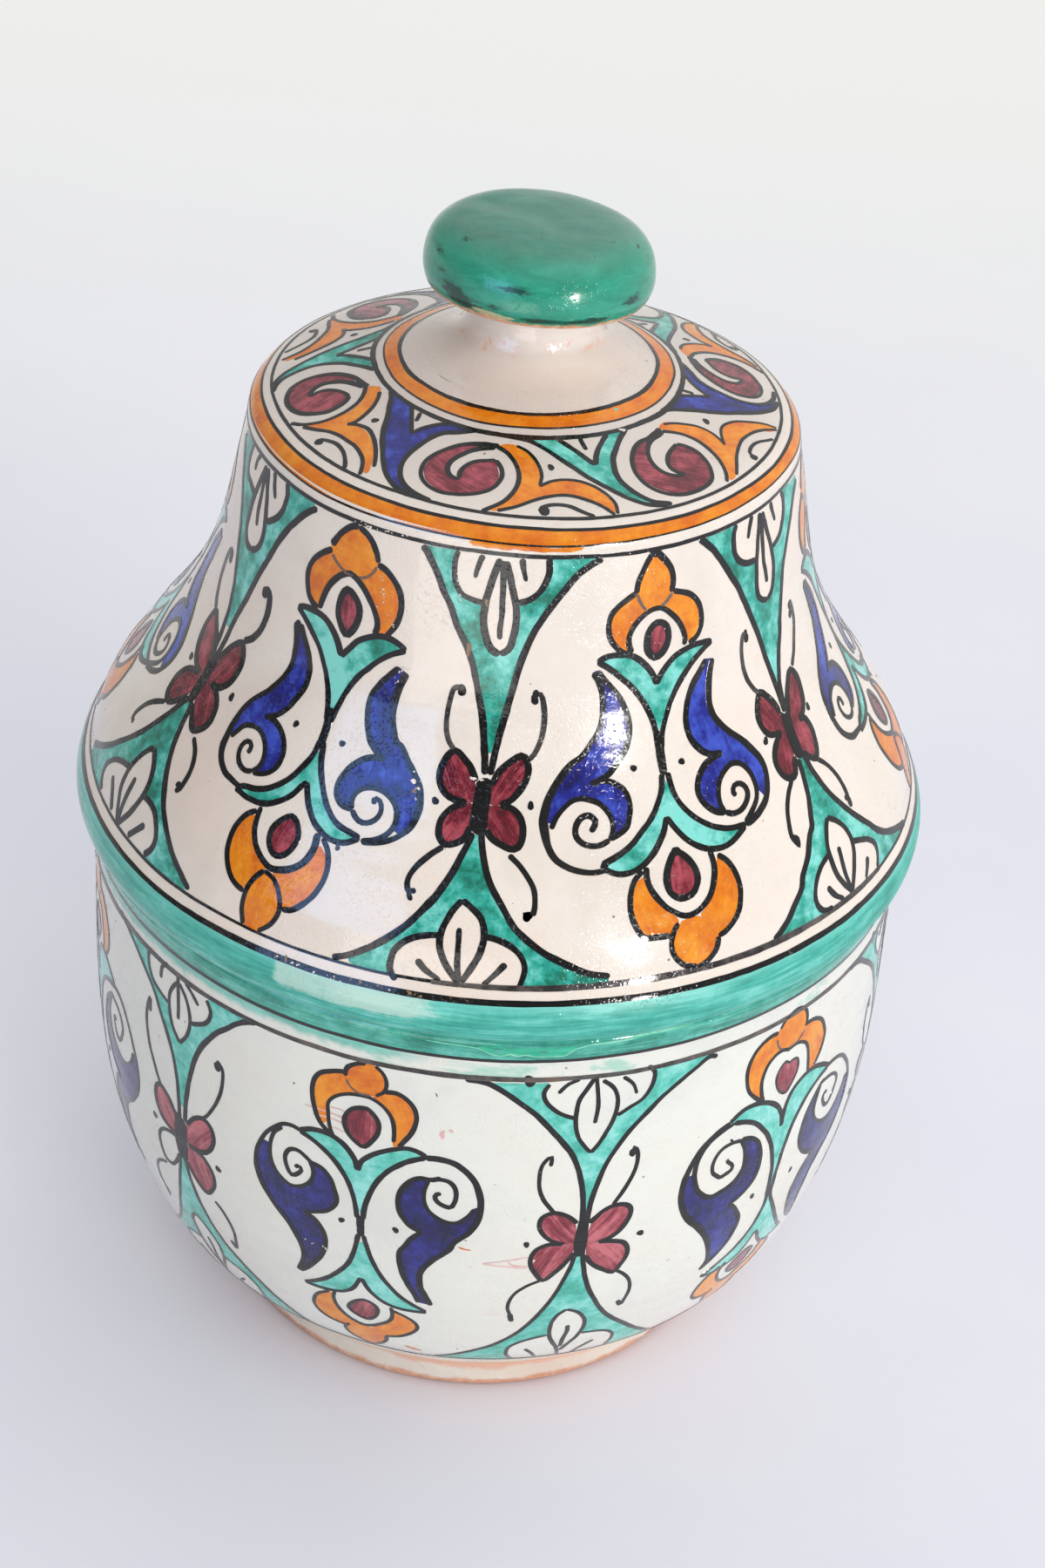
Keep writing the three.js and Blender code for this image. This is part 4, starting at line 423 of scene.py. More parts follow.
L 1.2 | -2,26 1,27.9 3.25,30.4 4.5,33.5 4.6,36.3 4,39.9 2.75,43.1 1,46.3 -1,48.5
L 1.0 | 12.75,47.4 12.5,46 14.25,45.1 16.5,44.9 19,45.6 21,47 23.25,48.5
D 1.0 | 12.25,47.4
D 1.0 | 15.25,31.1
= T3
F burg | -1.5,26.7 -5,27.6 -8.5,29.5 -11,32.2 -12.25,35.4 -12,39 -10.5,42.2 -7.5,44.5 -3.5,45.1 0,44.5 3.25,42.4 5.25,39.5 6,36.3 5.25,33.1 3.75,31 | 3.75,31 1,31.7 -1.5,33.1 -3.25,35.4 -3.4,37.4 -2.75,39.4 | -2.75,39.4 -5.5,38.5 -7.5,36.3 -7.75,34 -6.5,31.3 -4,28.5 -1.5,26.7
F ochre | 3,24 6,22.2 8.5,23.1 11.5,24.9 14,27.6 15.25,30.8 15.75,34.5 15.5,36.3 | 15.5,36.3 18.5,35.4 22,34.9 25,35.8 28.5,38.1 31.5,41.3 33.5,44.9 33.75,46.3 | 33.75,46.3 32,45.8 30.5,43.5 28,41.5 25,40.4 21,40.4 18,40.4 15,41.3 12,43.3 8.5,45.6 | 8.5,45.6 8,44.9 9.5,42.2 10.75,39 11.5,35.8 11.25,32.2 9.5,28.5 6,26.3 3,24
L 1.6 | 2.5,24.5 -1.5,25.4 -5,26.3 -8.5,28.1 -11.25,30.8 -12.75,34 -13,37.2 -12,40.8 -10,43.5 -7,45.1 -3.5,45.8 -0.5,45.4 3,43.8 5.5,40.8 7,37.6 6.75,34.5 5.5,31.7 3.75,30.4
L 1.3 | 3.75,30.4 1,31 -2,32.6 -3.75,34.9 -4,37.2 -3,39.2
L 1.6>2.0 | -3,39.5 -5.5,38.5 -7.25,36.3 -7.5,34 -6.5,31.3 -4.5,29 -1.5,27 1.75,25.4
L 1.2 | 8.5,23 11.5,24.7 14.25,27.4 16,30.8 16.75,34.5 16,36.3
L 1.2 | 15.75,36.2 18.5,34.5 22,33.8 25.5,34.9 29,37.2 32,40.4 34,43.5
L 1.2 | 32.75,47.6 32,45.8 30.25,43.3 27.75,41.5 24.5,40.4 21,40.3 18,40.5 15,41.4 12,43.4 8.5,45.6
L 1.3 | 2,24.9 6,27 9,29.9 10.25,33.1 10.6,36.3 10.25,39.9 9,43.1 7.5,45.4 5,47.6
L 1.2 | 16.5,46.3 15.75,45.1 17.5,43.8 20,42.9 23,43.3 25.5,44.7 27.25,46.3 28.5,47.9
D 1.1 | 16.5,45.6
D .9 | 20.6,30.4
= WB
F blue | -20,21.2 -14,20.8 -9,21.2 | -9,21.2 -6,23 -2,26.6 0.1,28.8 | 0.1,28.8 1.5,26 4,23.6 6.5,22.2 10,21.2 | 10,21.2 17,21.6 | 17,21.6 13,22.9 9,24.9 6.5,28.1 5.4,31.7 4.75,35.8 5.25,39 6.6,42.2 9,45.1 11,47 | 11,47 7.5,46.2 4,43.6 0.5,40.2 -3,36.3 -6,33.1 -11.5,27.4 -15,24.4 -20,21.2
L 1.5 | -23.5,20.4 -19,22.2 -15,24.9 -11.5,27.6 -8.5,31 -5.5,34.2 -3,36.6 0.5,40.6 4,44.2 7.5,46.8 12,48.4
L 1.3 | -9,20.9 -6,23 -2,26.4 0.1,28.7
L 1.3 | 0.1,28.7 1.5,26 4,23.5 6.5,22 9.5,20.9
L 1.5 | 19,20.8 13.75,22.9 9,24.9 6.5,28.1 5.4,31.7 4.75,35.8 5.25,39 6.6,42.2 9,45.1 12,47 17,48.3
L 1.2 | -4,21.3 -3,22.8 -2.4,24.4
= WT
F teal | -24,21 -16,20.8 -9.4,21.5 | -9.4,21.5 -6.4,24 -3.4,27.2 -0.1,31.4 | -0.1,31.4 1.3,28.3 3.6,25.4 6.1,23.1 9,21.4 | 9,21.4 16,21.2 | 16,21.2 12.6,23.5 9.1,26.3 6.1,29.5 4.6,33.1 4.1,36.3 4.85,39.9 6.6,43.5 9.5,47 | 9.5,47 7,46.6 5.1,45.2 2.1,42 -0.4,38.8 -3.4,35.6 -6.9,31.5 -10.4,27.9 -14.4,24.6 -19.4,22 -24,21
L 1.4 | -28.4,20.9 -19.4,22.1 -14.4,24.8 -10.4,28.1 -6.9,31.7 -3.4,35.8 -0.2,39.3 2.1,42.1 5.1,45.4 8.1,47.6 12,48.7
L 1.5 | -10,21 -6.4,24 -3.4,27.2 -0.2,31.4
L 1.5 | -0.1,31.4 1.1,28.5 3.2,25.8 6.1,23.1 8.8,21.3
L 1.5 | 17,21 12.6,23.5 9.1,26.3 6.1,29.5 4.6,33.1 4.1,36.3 4.85,39.9 6.6,43.5 9.1,46.7 13,48.6
L 1.2 | -1.6,21.5 -1.3,23.8 -1,25.8
= JB
F ochre | -1.22,15 -2.33,16.2 -3.17,18.7 -3.5,21.3 -3.11,24.1 -2.33,26 -1.22,27 0.17,27 1.42,26.2 2.25,23.8 2.61,21 2.39,18 1.69,16 0.44,14.8 -1.22,15
F ochre | -3.44,19.3 -4.56,19.2 -5.94,20.1 -7.19,22 -8.03,24.9 -8.36,28.7 -8.17,32 -7.61,35.5 -6.64,38.2 -5.39,40.8 | -5.11,40.8 -5.44,36.2 -5.33,32.8 -4.92,30.2 -4.14,28.2 -3.03,27 -2.06,26.7 | -2.06,26.7 -3.03,24.3 -3.44,21.6 -3.44,19.3
F ochre | 2.33,22.3 3.78,22.3 5.17,23.3 6.42,25.6 7.25,28.5 7.72,32 7.44,35.5 6.69,38.5 6,40.5 5.44,41.3 | 4.47,41.3 4.33,37.8 4.17,34.7 3.83,32 3.22,29.7 2.39,28.3 1.42,27.3 | 1.42,27.3 2.17,25.2 2.33,22.3
F burg | -0.94,31.7 -1.78,32.8 -2.39,34.9 -2.5,37.2 -2,40.2 -1.08,42.7 0,43.8 0.94,41.8 1.69,39.3 2.03,37 1.92,34.5 1.42,33 0.58,32.7 -0.11,33 -0.94,31.7
L 1.0cg | -0.94,31.7 -1.78,32.8 -2.39,34.9 -2.5,37.2 -2,40.2 -1.08,42.7 0,43.8 0.94,41.8 1.69,39.3 2.03,37 1.92,34.5 1.42,33 0.58,32.7 -0.11,33 -0.94,31.7
F teal | -9.97,44.7 -8.72,42.6 -7.06,41.8 -5.39,42.2 -3.86,43.6 -2.33,45.6 -1.22,48 -0.44,51.2 -0.11,55.5 | -0.06,55.5 0.17,51.3 0.58,48 1.28,45.5 2.39,43.6 4.06,42.2 5.44,41.9 6.83,42.5 8.5,43.9 10.17,46.1 | 10.17,46.3 8.22,47.3 6.56,49 5.03,51.3 3.78,54.1 2.67,57.4 1.89,61.3 1.28,65.3 0.86,70.3 0.64,75.3 0.56,78.7 | 0.44,78.7 -0.33,78.7 -0.47,74.5 -0.75,69.5 -1.22,65.2 -1.92,60.3 -2.89,56.2 -4,52.8 -5.39,49.5 -7.06,47 -8.72,45.5 -9.97,44.7
F teal | 0.11,84.3 -0.33,87.8 -0.81,91.3 -1.64,95.5 -2.61,98.8 -4,102.2 -5.67,105.1 -7.33,107.5 -9,109.2 | -9,109.3 -7.06,110.4 -5.11,110.5 -3.17,109.7 -1.78,107.8 -0.81,104.7 -0.22,101.3 0.28,99.5 | 0.28,99.5 1,101 1.69,103.7 2.53,106.4 3.56,108.9 4.61,110.6 6,111.7 7.67,111.8 9.61,111.2 | 9.61,110.9 8.08,107.8 6.14,102.8 4.61,98.2 3.22,93.5 2.17,89.3 1.33,86 0.78,84.2 0.11,84.3
F blue | -16.64,59.1 -17.11,62.8 -17.17,66.6 -16.72,70.5 -15.89,74.2 -14.64,78 -13.39,80.9 -12.14,84.7 -11.03,88.8 -10.19,93.4 -9.64,97.2 -9.36,99.7 | -9.28,100.8 -7.61,99.1 -6.5,95.8 -5.81,92 -5.5,88 -5.67,84.5 -6.36,81.6 -7.33,78.7 -8.31,76.6 | -8.31,76.6 -7.06,75.8 -5.67,74.2 -4.56,71.7 -3.86,68.3 -3.67,65.3 -3.86,61.2 -4.42,57.6 -5.39,55.1 -6.78,53.3 -8.03,52.8 | -8.03,53 -7.19,56.2 -6.83,59.5 -6.86,62.4 -7.19,65.3 -8.17,67.7 -9.56,69.2 -11.64,70.1 | -11.64,70.1 -13.72,67.8 -14.83,64.5 -15.33,61.2 -15.44,59.1 | -15.44,59.1 -16.64,59.1
F blue | 9.06,51 7.67,53.2 6.56,56 5.58,60.3 5.11,64.9 5.44,69.5 6.69,73.5 8.36,76.6 10.5,78.8 | 10.5,79 8.92,81 7.61,84.7 6.92,89.5 7.11,94.5 8.17,100.3 9.61,104.9 11.28,108.7 | 12.53,110.3 11.83,105.3 11.22,101.2 11,96.6 11.22,92 11.97,87.4 13.36,83.8 15.17,80.8 16.83,76.6 18.22,71.6 18.83,66.2 18.78,62 18.5,59.9 | 18.5,59.9 17.39,59.7 | 17.39,59.7 16.69,63 15.58,66 14.19,68 12.94,68.8 11.56,68.4 9.89,66.6 8.56,63.7 7.94,60.3 8.08,56.6 9.06,51
L 1.4 | -3.03,18.2 -2.33,16 -1.22,14.8 0.17,14.3 1.42,15.3 2.25,17.5 2.61,20.8 2.44,22.8
L .8n | -3.44,21.6 -3.03,24.3 -2.19,26.2 -1.08,27 0.17,27 1.42,26.2 2.25,24
L 1.6 | -3.39,19.2 -4.56,19 -5.94,19.9 -7.25,21.8 -8.11,24.9 -8.44,28.7 -8.25,32.2 -7.67,35.7 -6.69,38.4 -5.67,40.5 -4.61,42.3
L 1.5 | -4.61,42.2 -5.11,39.5 -5.39,36.2 -5.33,32.8 -4.92,30.2 -4.14,28.2 -2.89,26.8 -1.78,26.8 -0.94,27.5 -0.33,28
L 1.4 | -0.44,27.8 0.44,27.3 1.69,27.7 2.94,29.2 3.72,31.7 4.17,34.9 4.39,38.2 4.56,41.3
L 1.5 | 2.53,22.2 3.78,22.2 5.22,23.2 6.5,25.4 7.33,28.4 7.81,32 7.53,35.7 6.78,38.7 6,40.8
L 1.9 | -10.44,44.3 -9.56,43 -8.31,41.8 -6.78,41.5 -5.25,42.2 -3.78,43.5 -2.28,45.5 -1.17,48 -0.44,51 -0.14,55.8
L 1.9 | -0.11,55.8 0.11,51.3 0.56,47.8 1.28,45.3 2.39,43.4 4.06,42.1 5.44,41.8 6.83,42.3 8.5,43.8 10.31,46
L 1.9 | -9.69,45 -8.67,45.7 -7,47.1 -5.33,49.6 -3.94,52.9 -2.83,56.2 -1.86,60.4 -1.17,65.3 -0.69,69.7 -0.42,74.7 -0.28,79.5 -0.22,82.8
L 1.9 | 10.17,46.4 8.22,47.5 6.56,49.2 5.03,51.5 3.78,54.2 2.67,57.6 1.89,61.5 1.28,65.5 0.86,70.5 0.64,75.5 0.53,79.5 0.56,82.8
L 1.7 | -0.06,82 -0.22,87.4 -0.72,91.2 -1.58,95.4 -2.56,98.8 -3.94,102.1 -5.61,105 -7.33,107.5 -9.14,109.3
L 1.8 | 0.56,82 1.06,85.2 2.11,89.2 3.22,93.4 4.61,98.2 6.14,102.8 8.08,107.8 9.75,111.2
L 1.4g | -8.94,109.5 -7.06,110.5 -5.11,110.6 -3.17,109.8 -1.72,107.8 -0.75,104.7 -0.17,101.2 0.28,99.3
L 1.6 | 0.28,99.3 1,101 1.69,103.7 2.53,106.4 3.56,108.9 4.61,110.7 6,111.8 7.67,111.9 9.67,111.2
L 1.8>2.6>2.4>1.6 | -10.39,44.2 -11.92,45.4 -13.44,47.3 -14.83,49.9 -16,53.8 -16.78,58 -17.17,62.3 -17.17,66.6 -16.72,70.5 -15.89,74.2 -14.64,78 -13.39,80.9 -12.14,84.7 -11.03,88.8 -10.19,93.4 -9.64,97.2 -9.42,99.9 -10.17,104.3
L 1.6>2.0>1.6 | -9.61,45.2 -11.5,46.2 -13.17,47.9 -14.42,50.4 -15.25,53.8 -15.53,57.5 -15.36,61.3 -14.81,64.7 -13.67,68 -12.44,70 -11.64,70.2 -10.67,69.7 -9.56,69.2 -8.17,67.8 -7.19,65.4 -6.83,62.5 -6.86,59.5 -7.19,56.2 -7.94,53.2
L 1.7 | -7.89,52.6 -6.78,53.2 -5.39,54.9 -4.42,57.4 -3.83,61.2 -3.64,65.3 -3.83,68.4 -4.53,71.8 -5.67,74.2 -7.06,75.9 -8.31,76.7
L 1.7 | -8.31,76.7 -7.33,78.8 -6.36,81.7 -5.64,84.6 -5.44,88 -5.78,92.1 -6.47,95.8 -7.61,99.2 -8.86,101.7 -10.06,104.2
L 1.6 | -7.33,53.5 -8.44,52.7 -9.83,52.3 -11.08,52.8 -12,54.3 -12.53,56.6 -12.61,58.8 -12.33,61 -11.72,62.3 -11,63.7 -9.97,63.2 -9.28,62.8 -8.94,61.8 -9.28,60.2 -9.89,59.2 -10.11,57.8
L 1.0 | -9.97,50.6 -9.42,52.2
L 1.7 | 10.11,46.2 11.83,46.2 13.5,47.2 15.17,49.4 16.61,52.8 17.72,56.2 18.56,60.3 18.94,65.3 18.36,71.8 16.89,76.8 15.22,80.9 13.42,84 12.03,87.6 11.28,92.2 11.06,96.7 11.28,101.2 11.89,105.3 12.67,110.8
L 1.4 | 8.78,51.8 8.08,56.6 7.94,60.3 8.56,63.7 9.89,66.6 11.56,68.5 12.94,68.9 14.19,68.1 15.58,66.1 16.75,63 17.39,59.7
L 1.7 | 9.75,50.8 9.06,51 7.67,53.2 6.5,56 5.53,60.3 5.06,64.9 5.39,69.5 6.64,73.6 8.36,76.8 10.5,78.9
L 1.7 | 10.5,78.9 8.92,81.1 7.58,84.7 6.86,89.5 7.06,94.5 8.11,100.4 9.61,105.1 11.42,109.1 12.72,111
L 1.6 | 9.06,51 10.72,51.2 12.39,52.2 13.5,54.1 14,56.6 13.64,58.7 12.94,61.2 11.97,62.8 11,62 10.31,59.5 10.17,57.7 10.58,56.6 11.14,57.4
D .9 | -3.72,78.7
D .8 | 4.56,78.5
F burg | 0.44,108.2 -0.94,109.8 -2,112.5 -2.36,115 -1.72,117.1 -0.53,118.7 0.58,119.2 1.64,117.2 2.28,113.9 2.28,110.9 1.56,109 0.44,108.2
L 1.4c | 0.44,108.2 -0.94,109.8 -2,112.5 -2.36,115 -1.72,117.1 -0.53,118.7 0.58,119.2 1.64,117.2 2.28,113.9 2.28,110.9 1.56,109 0.44,108.2
F ochre | -5.11,109.2 -5.81,109.7 -7.19,112.8 -8.03,116.1 -8.31,119.4 -7.89,122.5 -6.64,125 -5.11,126.2 -3.03,126.7 | -3.03,126.7 -2.06,124.7 -0.94,123.6 | -0.94,123.4 -1.78,122.3 -3.11,119.9 -4.22,116.1 -4.5,112.2 -5.11,109.2
F ochre | 4.89,111 6.28,112.7 7.53,115.1 8.17,118.1 7.81,121 6.5,124.2 4.89,126.2 3.08,127.5 | 3.08,127.5 2.11,125.6 0.86,123.6 | 0.86,123.3 2.81,120 4.11,117.2 4.61,113.9 4.89,111
F ochre | -2.33,125 -3.44,128.3 -3.31,131.7 -2.33,134.4 0.03,138.6 1.56,135.6 2.81,131.7 2.94,128.3 1.56,125.6 -0.11,124.2 -2.33,125
L 1.5 | -4.28,108.2 -4.61,112.2 -4.28,116.1 -3.17,120 -1.78,122.5 -0.11,123.6 1.28,122.5 2.81,120 4.06,117.2 4.56,113.9 4.5,109.2
L 1.4 | -5.25,108.9 -7.19,112.5 -8.11,116.1 -8.44,119.4 -8.03,122.8 -6.78,125.3 -5.11,126.6 -3.03,127.1
L 1.4 | 4.61,110.7 6.28,112.5 7.67,115 8.36,118.1 7.94,121.1 6.56,124.4 4.89,126.7 3.08,128.1
L 1.4 | -2.89,125.6 -3.72,128.3 -3.58,131.7 -2.61,134.4 -1.22,137.2 0.03,139
L 1.4 | 3.14,128.1 3.14,130.6 2.39,133.9 1.28,136.7 0.03,139
"""


def read_motifs(text):
    motifs, now = {}, None
    for line in text.strip().splitlines():
        if line.startswith("="):
            now = motifs.setdefault(line.split()[1], [])
            continue
        head, *curves = [p.strip() for p in line.split("|")]
        kind, word = head.split()
        pts = [np.array([[float(v) for v in p.split(",")] for p in c.split()]) for c in curves]
        now.append((kind, word, pts))
    return motifs


MOTIFS = read_motifs(MOTIF_TEXT)

# ---- turned surfaces -----------------------------------------------------------------------------------------------
LID_PROFILE = [(22.3, 311.0), (28, 308.9), (34.3, 306.4), (41.7, 303.6), (55, 299.6), (68.8, 295.2), (72.3, 293.2),
               (74.3, 290.8), (74.95, 287.6), (77.2, 276.0), (79.0, 266.4), (81.5, 254.4), (85.1, 242.4), (90.8, 230.4),
               (98.3, 218.4), (106.9, 206.4), (114.4, 194.4), (118.2, 184.7), (120.2, 181.2), (121.6, 178.0),
               (122.1, 174.5), (121.6, 171.0), (120.4, 169.2), (119.2, 168.6)]
JAR_PROFILE = [(116.7, 168.3), (118.5, 166.2), (117.6, 160.7), (117.3, 153.8), (117.4, 137.0), (117.5, 120.0),
               (117.2, 102.0), (115.6, 84.0), (112.4, 67.2), (107.0, 50.4), (100.6, 36.0), (90.9, 23.9), (79.2, 12.0)]
LID_INSIDE = [(106.5, 181), (106, 190), (103.4, 198.4), (98.6, 206.9), (90.6, 218.4), (83.2, 230.4), (77.6, 242.4),
              (74, 254.4), (71.6, 266.4), (69.6, 276), (66.6, 283.6), (60, 288.6), (48, 292.6), (34, 297.4), (18, 301.4)]
JAR_INSIDE = [(108, 166.5), (108, 158), (109.2, 146), (109.6, 120), (109.2, 102), (107.5, 84), (104.2, 67.2),
              (98.6, 51), (91.5, 38.5), (82, 29), (70, 23.6), (56, 22)]


def spline(points, n):
    """Natural cubic spline through 2-D points, n samples."""
    p = np.array(points, float)
    t = np.concatenate([[0], np.cumsum(np.sqrt(np.hypot(*np.diff(p, axis=0).T)))])
    m, h = len(p), np.diff(t)
    a, b = np.zeros((m, m)), np.zeros((m, 2))
    a[0, 0] = a[-1, -1] = 1
    for i in range(1, m - 1):
        a[i, i - 1], a[i, i], a[i, i + 1] = h[i - 1], 2 * (h[i - 1] + h[i]), h[i]
        b[i] = 6 * ((p[i + 1] - p[i]) / h[i] - (p[i] - p[i - 1]) / h[i - 1])
    k2 = np.linalg.solve(a, b)
    u = np.linspace(0, t[-1], n)
    k = np.clip(np.searchsorted(t, u, side="right") - 1, 0, m - 2)
    hk, c, d = h[k][:, None], (t[k + 1] - u)[:, None], (u - t[k])[:, None]
    return (k2[k] * c**3 / (6 * hk) + k2[k + 1] * d**3 / (6 * hk)
            + (p[k] / hk - k2[k] * hk / 6) * c + (p[k + 1] / hk - k2[k + 1] * hk / 6) * d)


class Skin:
    """The outside of a turned body: a point is an angle (0 faces the camera, + to its right) and mm along the profile."""

    def __init__(self, points, waves):
        q = spline(points, 4000)
        self.s = np.concatenate([[0], np.cumsum(np.hypot(*np.diff(q, axis=0).T))])
        self.r, self.z = q.T
        self.dr, self.dz = np.gradient(self.r, self.s), np.gradient(self.z, self.s)
        self.length, self.waves = self.s[-1], waves

    def radius(self, s):
        return np.interp(s, self.s, self.r)

    def at(self, th, s, h=0.0):
        """Points h mm above the surface, and the surface's normals there."""
        th, s = np.broadcast_arrays(np.asarray(th, float), np.asarray(s, float))
        s = np.clip(s, 0, self.length)
        r, z = np.interp(s, self.s, self.r), np.interp(s, self.s, self.z)
        rs, zs = np.interp(s, self.s, self.dr), np.interp(s, self.s, self.dz)
        edge = np.clip(np.minimum(s / 9.0, (self.length - s) / 9.0), 0, 1)
        fade = edge * edge * (3 - 2 * edge)
        w, wt, ws = np.zeros_like(r), np.zeros_like(r), np.zeros_like(r)
        for amp, n, k, ph in self.waves:
            a = n * th + k * s + ph
            w, wt, ws = w + amp * np.sin(a), wt + amp * n * np.cos(a), ws + amp * k * np.cos(a)
        r, wt, rs = r + fade * w, fade * wt, rs + fade * ws
        si, co = np.sin(th), np.cos(th)
        a, b, c, d = r * co + wt * si, r * si - wt * co, rs * si, -rs * co
        nrm = np.stack([-zs * b, zs * a, c * b - d * a], -1)
        nrm /= np.maximum(np.linalg.norm(nrm, axis=-1, keepdims=True), 1e-9)
        return np.stack([r * si, -r * co, z], -1) + nrm * np.asarray(h)[..., None], nrm


LID = Skin(LID_PROFILE, [(0.16, 2, 0.020, 0.4), (0.09, 5, 0.060, 1.9), (0.06, 9, -0.09, 0.2), (0.035, 14, 0.17, 2.2),
                         (0.03, 1, 0.90, 0.0), (0.02, 21, 0.28, 1.0)])
JAR = Skin(JAR_PROFILE, [(0.20, 2, 0.016, 2.1), (0.10, 4, 0.050, 0.6), (0.06, 8, -0.08, 1.3), (0.035, 13, 0.15, 0.2),
                         (0.03, 1, 0.80, 1.0), (0.02, 19, 0.24, 2.6)])

# ---- meshes --------------------------------------------------------------------------------------------------------


def make(name, verts, faces, material, body, stands_for=(), normals=None, attrs=None, smooth=True):
    """A piece from mm coordinates, riding on a CAD body."""
    me = bpy.data.meshes.new(name)
    me.from_pydata((np.asarray(verts) * MM).tolist(), [], [list(map(int, f)) for f in faces])
    me.polygons.foreach_set("use_smooth", [smooth] * len(me.polygons))
    for key, data in (attrs or {}).items():
        data = np.asarray(data, np.float32)
        kind = "FLOAT_VECTOR" if data.ndim == 2 else "FLOAT"
        at = me.attributes.new(key, kind, "POINT")
        at.data.foreach_set("vector" if data.ndim == 2 else "value", data.ravel())
    me.materials.append(material)
    me.update()
    if normals is not None:
        me.normals_split_custom_set_from_vertices(np.asarray(normals).tolist())
    o = bpy.data.objects.new(name, me)
    scene.collection.objects.link(o)
    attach(o, body)
    if stands_for:
        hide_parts(*stands_for)
    return o


def rings_mesh(rings, pole_first=True, pole_last=True):
    """A closed mesh from rings of equal count going from the first pole to the last one; poles are single points.
    Without poles the last ring joins the first one."""
    n = len(rings[1])
    verts, rows = [], []
    for r in rings:
        r = np.asarray(r, float).reshape(-1, 3)
        rows.append(np.arange(len(r)) + len(verts))
        verts.extend(r)
    faces = []
    pairs = list(zip(rows, rows[1:])) + ([] if pole_first else [(rows[-1], rows[0])])
    for a, b in pairs:
        for i in range(n):
            j = (i + 1) % n
            if len(a) == 1:
                faces.append((a[0], b[j], b[i]))
            elif len(b) == 1:
                faces.append((a[i], a[j], b[0]))
            else:
                faces.append((a[i], a[j], b[j], b[i]))
    v = np.array(verts)
    vol = sum(np.dot(v[f[0]], np.cross(v[f[1]], v[f[2]])) + (np.dot(v[f[0]], np.cross(v[f[2]], v[f[3]])) if len(f) == 4 else 0)
              for f in faces)
    if vol < 0:
        faces = [tuple(reversed(f)) for f in faces]
    return v, faces


def turn(profile, n, bend=None):
    """Rings of a plain turned profile of (radius, height)."""
    th = np.linspace(0, 2 * np.pi, n, endpoint=False)
    out = []
    for r, z in profile:
        if r < 1e-6:
            out.append(np.array([[0, 0, z]]))
        else:
            out.append(np.stack([r * np.sin(th), -r * np.cos(th), np.full(n, z)], -1))
    return out


def quarter(p0, corner, p1, n):
    t = np.linspace(0, 1, n)[:, None]
    p0, corner, p1 = map(np.array, (p0, corner, p1))
    return [tuple(p) for p in (1 - t) ** 2 * p0 + 2 * t * (1 - t) * corner + t**2 * p1]


def outside_rings(skin, steps, n):
    th = np.linspace(0, 2 * np.pi, n, endpoint=False)
    return [skin.at(th, np.full(n, s))[0] for s in steps]


# ---- paint ---------------------------------------------------------------------------------------------------------


def soft_noise(rng, length, wave, closed=False):
    """Smooth random values in -1..1 along a length, as a function of the distance."""
    n = max(3, int(round(length / wave)) + 1)
    v = rng.uniform(-1, 1, n + 3)
    if closed:
        v[-3:] = v[:3]

    def f(d):
        u = np.clip(np.asarray(d, float) / max(length, 1e-6), 0, 1) * n
        i = np.minimum(u.astype(int), n)
        t = u - i
        t = t * t * (3 - 2 * t)
        return v[i] * (1 - t) + v[np.minimum(i + 1, n + 2) if not closed else (i + 1) % n] * t
    return f


def curve(pts, closed=False, per=14):
    """Centripetal Catmull-Rom line through points of a plane."""
    p = np.asarray(pts, float)
    keep = np.concatenate([[True], np.hypot(*np.diff(p, axis=0).T) > 1e-6])
    p = p[keep]
    if closed and np.hypot(*(p[0] - p[-1])) < 1e-6:
        p = p[:-1]
    if len(p) < 3 and not closed:
        return p[0] + np.linspace(0, 1, per)[:, None] * (p[-1] - p[0])
    ext = np.vstack([p[-1], p, p[0], p[1]]) if closed else np.vstack([2 * p[0] - p[1], p, 2 * p[-1] - p[-2]])
    out = []
    for i in range(len(ext) - 3):
        a, b, c, d = ext[i:i + 4]
        t0 = 0.0
        t1 = t0 + max(np.hypot(*(b - a)), 1e-6) ** 0.5
        t2 = t1 + max(np.hypot(*(c - b)), 1e-6) ** 0.5
        t3 = t2 + max(np.hypot(*(d - c)), 1e-6) ** 0.5
        t = np.linspace(t1, t2, per, endpoint=False)[:, None]
        a1 = (t1 - t) / (t1 - t0) * a + (t - t0) / (t1 - t0) * b
        a2 = (t2 - t) / (t2 - t1) * b + (t - t1) / (t2 - t1) * c
        a3 = (t3 - t) / (t3 - t2) * c + (t - t2) / (t3 - t2) * d
        b1 = (t2 - t) / (t2 - t0) * a1 + (t - t0) / (t2 - t0) * a2
        b2 = (t3 - t) / (t3 - t1) * a2 + (t - t1) / (t3 - t1) * a3
        out.append((t2 - t) / (t2 - t1) * b1 + (t - t1) / (t2 - t1) * b2)
    out = np.vstack(out)
    return out if closed else np.vstack([out, p[-1]])


def walk(line, step, closed=False, ends=0.0):
    """Even steps along a line, with finer steps near its ends, and the distance of each from the start."""
    q = np.vstack([line, line[0]]) if closed else line
    d = np.concatenate([[0], np.cumsum(np.hypot(*np.diff(q, axis=0).T))])
    n = max(4, int(math.ceil(d[-1] / step)))
    u = np.linspace(0, d[-1], n, endpoint=False) if closed else np.linspace(0, d[-1], n + 1)
    if ends and not closed:
        near = np.array([0.0, 0.06, 0.25, 0.6, 1.0]) * min(ends, d[-1] * 0.3)
        u = np.unique(np.concatenate([near, u[(u > near[-1]) & (u < d[-1] - near[-1])], d[-1] - near]))
    return np.stack([np.interp(u, d, q[:, 0]), np.interp(u, d, q[:, 1])], -1), u, d[-1]


BURY = 0.16   # how far a skin of paint reaches into the body, mm


